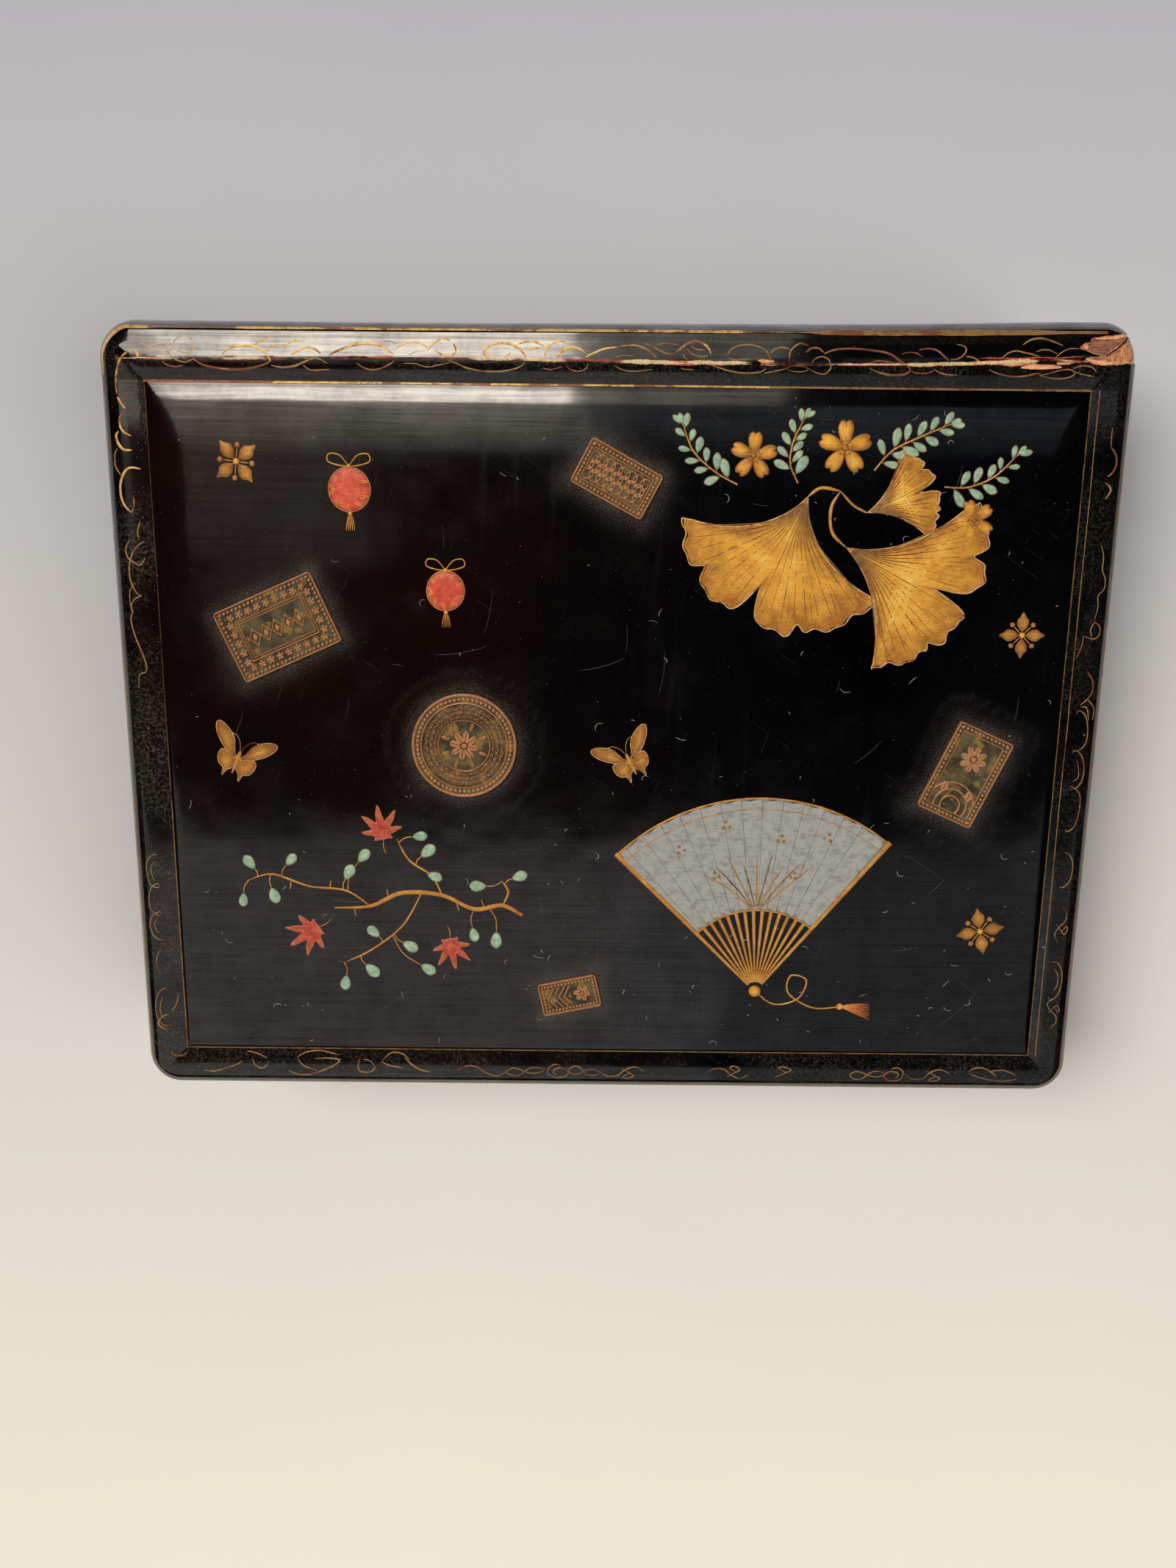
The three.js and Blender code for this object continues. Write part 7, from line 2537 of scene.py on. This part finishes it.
bag.make("knife_blade_ground", MAT["steel"], "paper_knife", "paper_knife_blade", "tool_steel", smooth_angle=25)

lo, hi = nb("awl_handle")
x, z = (lo[0] + hi[0]) / 2, (lo[2] + hi[2]) / 2
L = hi[1] - lo[1]
bag = Bag()
prof_a = [(0, 0)] + curve_profile([(1.6, 0.0), (3.2, 0.4), (4.0, 2.6), (4.05, 4.0), (3.55, 9.5), (3.35, 16), (3.5, 22), (3.95, 28), (3.9, 30), (3.3, 31.6), (2.75, 32.6), (2.7, L - 0.1)], 90) + [(2.2, L), (0, L)]
lathe(bag, prof_a, x, lo[1], z, "y", 40, wobble=lambda a, h, r: -0.16 * math.exp(-((h - 29.2) / 0.25) ** 2) - 0.12 * math.exp(-((h - 5.2) / 0.25) ** 2))
bag.make("awl_grip", MAT["horn"], "awl", "awl_handle", "horn", smooth_angle=50)
lo, hi = nb("awl_spike")
L = hi[1] - lo[1]
bag = Bag()
lathe(bag, [(0, 0), (1.2, 0), (1.18, 4), (1.1, 9.7), (0.98, 14), (0.75, 20), (0.5, 26), (0.22, L - 0.6), (0.05, L - 0.05), (0, L)], x, lo[1], z, "y", 28)
bag.make("awl_point", MAT["steel"], "awl", "awl_spike", "tool_steel", smooth_angle=50)

# ---------------------------------------------------------------- lint and scratches on the lid
rng = random.Random(5)
lint, scr = Bag(), Bag()


def clear_of_relief(x, y, m=1.0):
    for i, (cx, cy, hw, hh, turn) in enumerate(PLAQUES):
        if math.hypot(x - cx, y - cy) < math.hypot(hw, hh) * 0.92 + m:
            return False
    return True


count = 0
while count < 150:
    x = rng.uniform(-104, 106)
    y = rng.uniform(-82, 78)
    if rng.random() > 0.25 + 0.5 * smooth(-60, 60, x) + 0.3 * smooth(20, -70, y) or not clear_of_relief(x, y):
        continue
    L = rng.choice([0.5, 0.7, 0.9, 1.3, 1.8, 2.6]) * rng.uniform(0.8, 1.3)
    a = rng.uniform(0, 2 * math.pi)
    c = rng.uniform(-0.9, 0.9)
    pts = []
    for i in range(6):
        t = i / 5 - 0.5
        b = a + c * t * 2
        pts.append((x + L * t * math.cos(b), y + L * t * math.sin(b)))
    stroke(lint, pts, rng.uniform(0.07, 0.12), n=10, height=0.07, lift=0.03)
    count += 1
for k in range(46):
    x, y = rng.uniform(-100, 100), rng.uniform(-78, 74)
    if not clear_of_relief(x, y, 3):
        continue
    L = rng.uniform(3, 16)
    a = rng.choice([rng.uniform(-0.3, 0.3), rng.uniform(1.2, 1.9), rng.uniform(0, 3.1)])
    pts = [(x + L * t * math.cos(a + 0.2 * t), y + L * t * math.sin(a + 0.2 * t)) for t in (-0.5, -0.2, 0.2, 0.5)]
    if abs(pts[0][0]) > 104 or abs(pts[-1][0]) > 104 or max(abs(pts[0][1] + 2), abs(pts[-1][1] + 2)) > 78:
        continue
    stroke(scr, pts, rng.uniform(0.06, 0.11), taper=(0.1, 0.1), n=14, height=0.01, lift=0.005)
lint.make("lint_on_lid", MAT["lint"], "lid", slot="black_lacquer", smooth_angle=60)
scr.make("scratches_on_lid", MAT["scratch"], "lid", slot="black_lacquer", smooth_angle=60)

# ---------------------------------------------------------------- setting, light and camera
me = bpy.data.meshes.new("floor")
half = 12.0
n = 24
vs = [(lerp(-half, half, i / n), lerp(-half, half, j / n), 0.0) for j in range(n + 1) for i in range(n + 1)]
fs = [(j * (n + 1) + i, j * (n + 1) + i + 1, (j + 1) * (n + 1) + i + 1, (j + 1) * (n + 1) + i) for j in range(n) for i in range(n)]
me.from_pydata(vs, [], fs)
me.materials.append(MAT["floor"])
floor = bpy.data.objects.new("floor", me)
bpy.context.scene.collection.objects.link(floor)
floor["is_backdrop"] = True

scene = bpy.context.scene
world = bpy.data.worlds.new("studio")
scene.world = world
world.use_nodes = True
bg = world.node_tree.nodes["Background"]
bg.inputs[0].default_value = (0.62, 0.62, 0.64, 1)
bg.inputs[1].default_value = 1.0
world.cycles_visibility.diffuse = False
world.cycles_visibility.glossy = False


def area(name, y_deg, x_deg, dist, size, power, colour=(1, 1, 1), diffuse=True, glossy=True, slide=0.0):
    """A rectangular light in the direction y_deg towards +Y and x_deg towards +X from straight up,
    then slid sideways without turning."""
    d = bpy.data.lights.new(name, "AREA")
    d.shape = "RECTANGLE"
    d.size, d.size_y = size
    d.energy = power
    d.color = colour
    o = bpy.data.objects.new(name, d)
    scene.collection.objects.link(o)
    way = Vector((math.tan(math.radians(x_deg)), math.tan(math.radians(y_deg)), 1)).normalized()
    o.location = way * dist + Vector((slide, 0, 0))
    o.rotation_euler = (-way).to_track_quat("-Z", "Y").to_euler()
    o.visible_camera = False
    o.visible_diffuse = diffuse
    o.visible_glossy = glossy
    return o


def sun(name, y_deg, x_deg, spread, strength, colour):
    """Broad soft daylight from a direction given as for area()."""
    d = bpy.data.lights.new(name, "SUN")
    d.energy, d.angle, d.color = strength, math.radians(spread), colour
    o = bpy.data.objects.new(name, d)
    scene.collection.objects.link(o)
    way = Vector((math.tan(math.radians(x_deg)), math.tan(math.radians(y_deg)), 1)).normalized()
    o.location = way * 3
    o.rotation_euler = (-way).to_track_quat("-Z", "Y").to_euler()
    o.visible_glossy = False
    return o


sun("key", 20, -34, 34, 2.9, (1.0, 0.98, 0.95))
sun("fill", -20, 42, 50, 1.35, (1.0, 0.98, 0.95))
WARM, COOL = (1.0, 0.915, 0.785), (0.80, 0.90, 1.0)
area("rear_card_low", 28.2, 0, 1.259, (0.494, 0.45), 3.36, WARM, diffuse=False, slide=-0.277)
area("rear_card_high", 56.35, 0, 1.222, (0.494, 0.79), 3.76, WARM, diffuse=False, slide=-0.277)
area("rear_card_low_left", 28.2, 0, 1.259, (0.076, 0.45), 0.23, WARM, diffuse=False, slide=-0.562)
area("rear_card_high_left", 56.35, 0, 1.222, (0.076, 0.79), 0.29, WARM, diffuse=False, slide=-0.562)
area("rear_card_low_right", 28.2, 0, 1.259, (0.26, 0.45), 0.17, WARM, diffuse=False, slide=0.10)
area("rear_card_high_right", 56.35, 0, 1.222, (0.26, 0.79), 0.21, WARM, diffuse=False, slide=0.10)
area("rear_dim_left", 13, 0, 1.28, (0.57, 0.23), 0.21, WARM, diffuse=False, slide=-0.295)
area("rear_dim_right", 13, 0, 1.28, (0.67, 0.23), 0.046, COOL, diffuse=False, slide=0.325)
area("low_left", 4.6, 0, 1.26, (0.276, 0.16), 0.044, WARM, diffuse=False, slide=-0.429)
area("table_card", -42, 0, 1.2, (1.75, 1.2), 3.5, (1.0, 0.97, 0.93), diffuse=False, slide=-0.72)
area("table_card_right", -42, 0, 1.2, (0.95, 1.2), 0.95, (0.97, 0.98, 1.0), diffuse=False, slide=0.63)

cam = bpy.data.cameras.new("camera")
cam.sensor_width = 36
cam.lens = 26.33
cam.clip_start, cam.clip_end = 0.01, 20
co = bpy.data.objects.new("camera", cam)
R = Vector((0.999943117, 0.0106484823, -0.000610752))
U = Vector((-0.0105469, 0.97862438, -0.20538522))
F = Vector((0.00158934, -0.20537998, -0.97868102))
rot = Matrix((R, U, -F)).transposed()
co.matrix_world = Matrix.Translation(Vector((-0.006331, 0.044347, 0.320440))) @ rot.to_4x4()
scene.collection.objects.link(co)
scene.camera = co
scene.view_settings.view_transform = "Standard"
scene.view_settings.look = "None"

lo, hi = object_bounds()
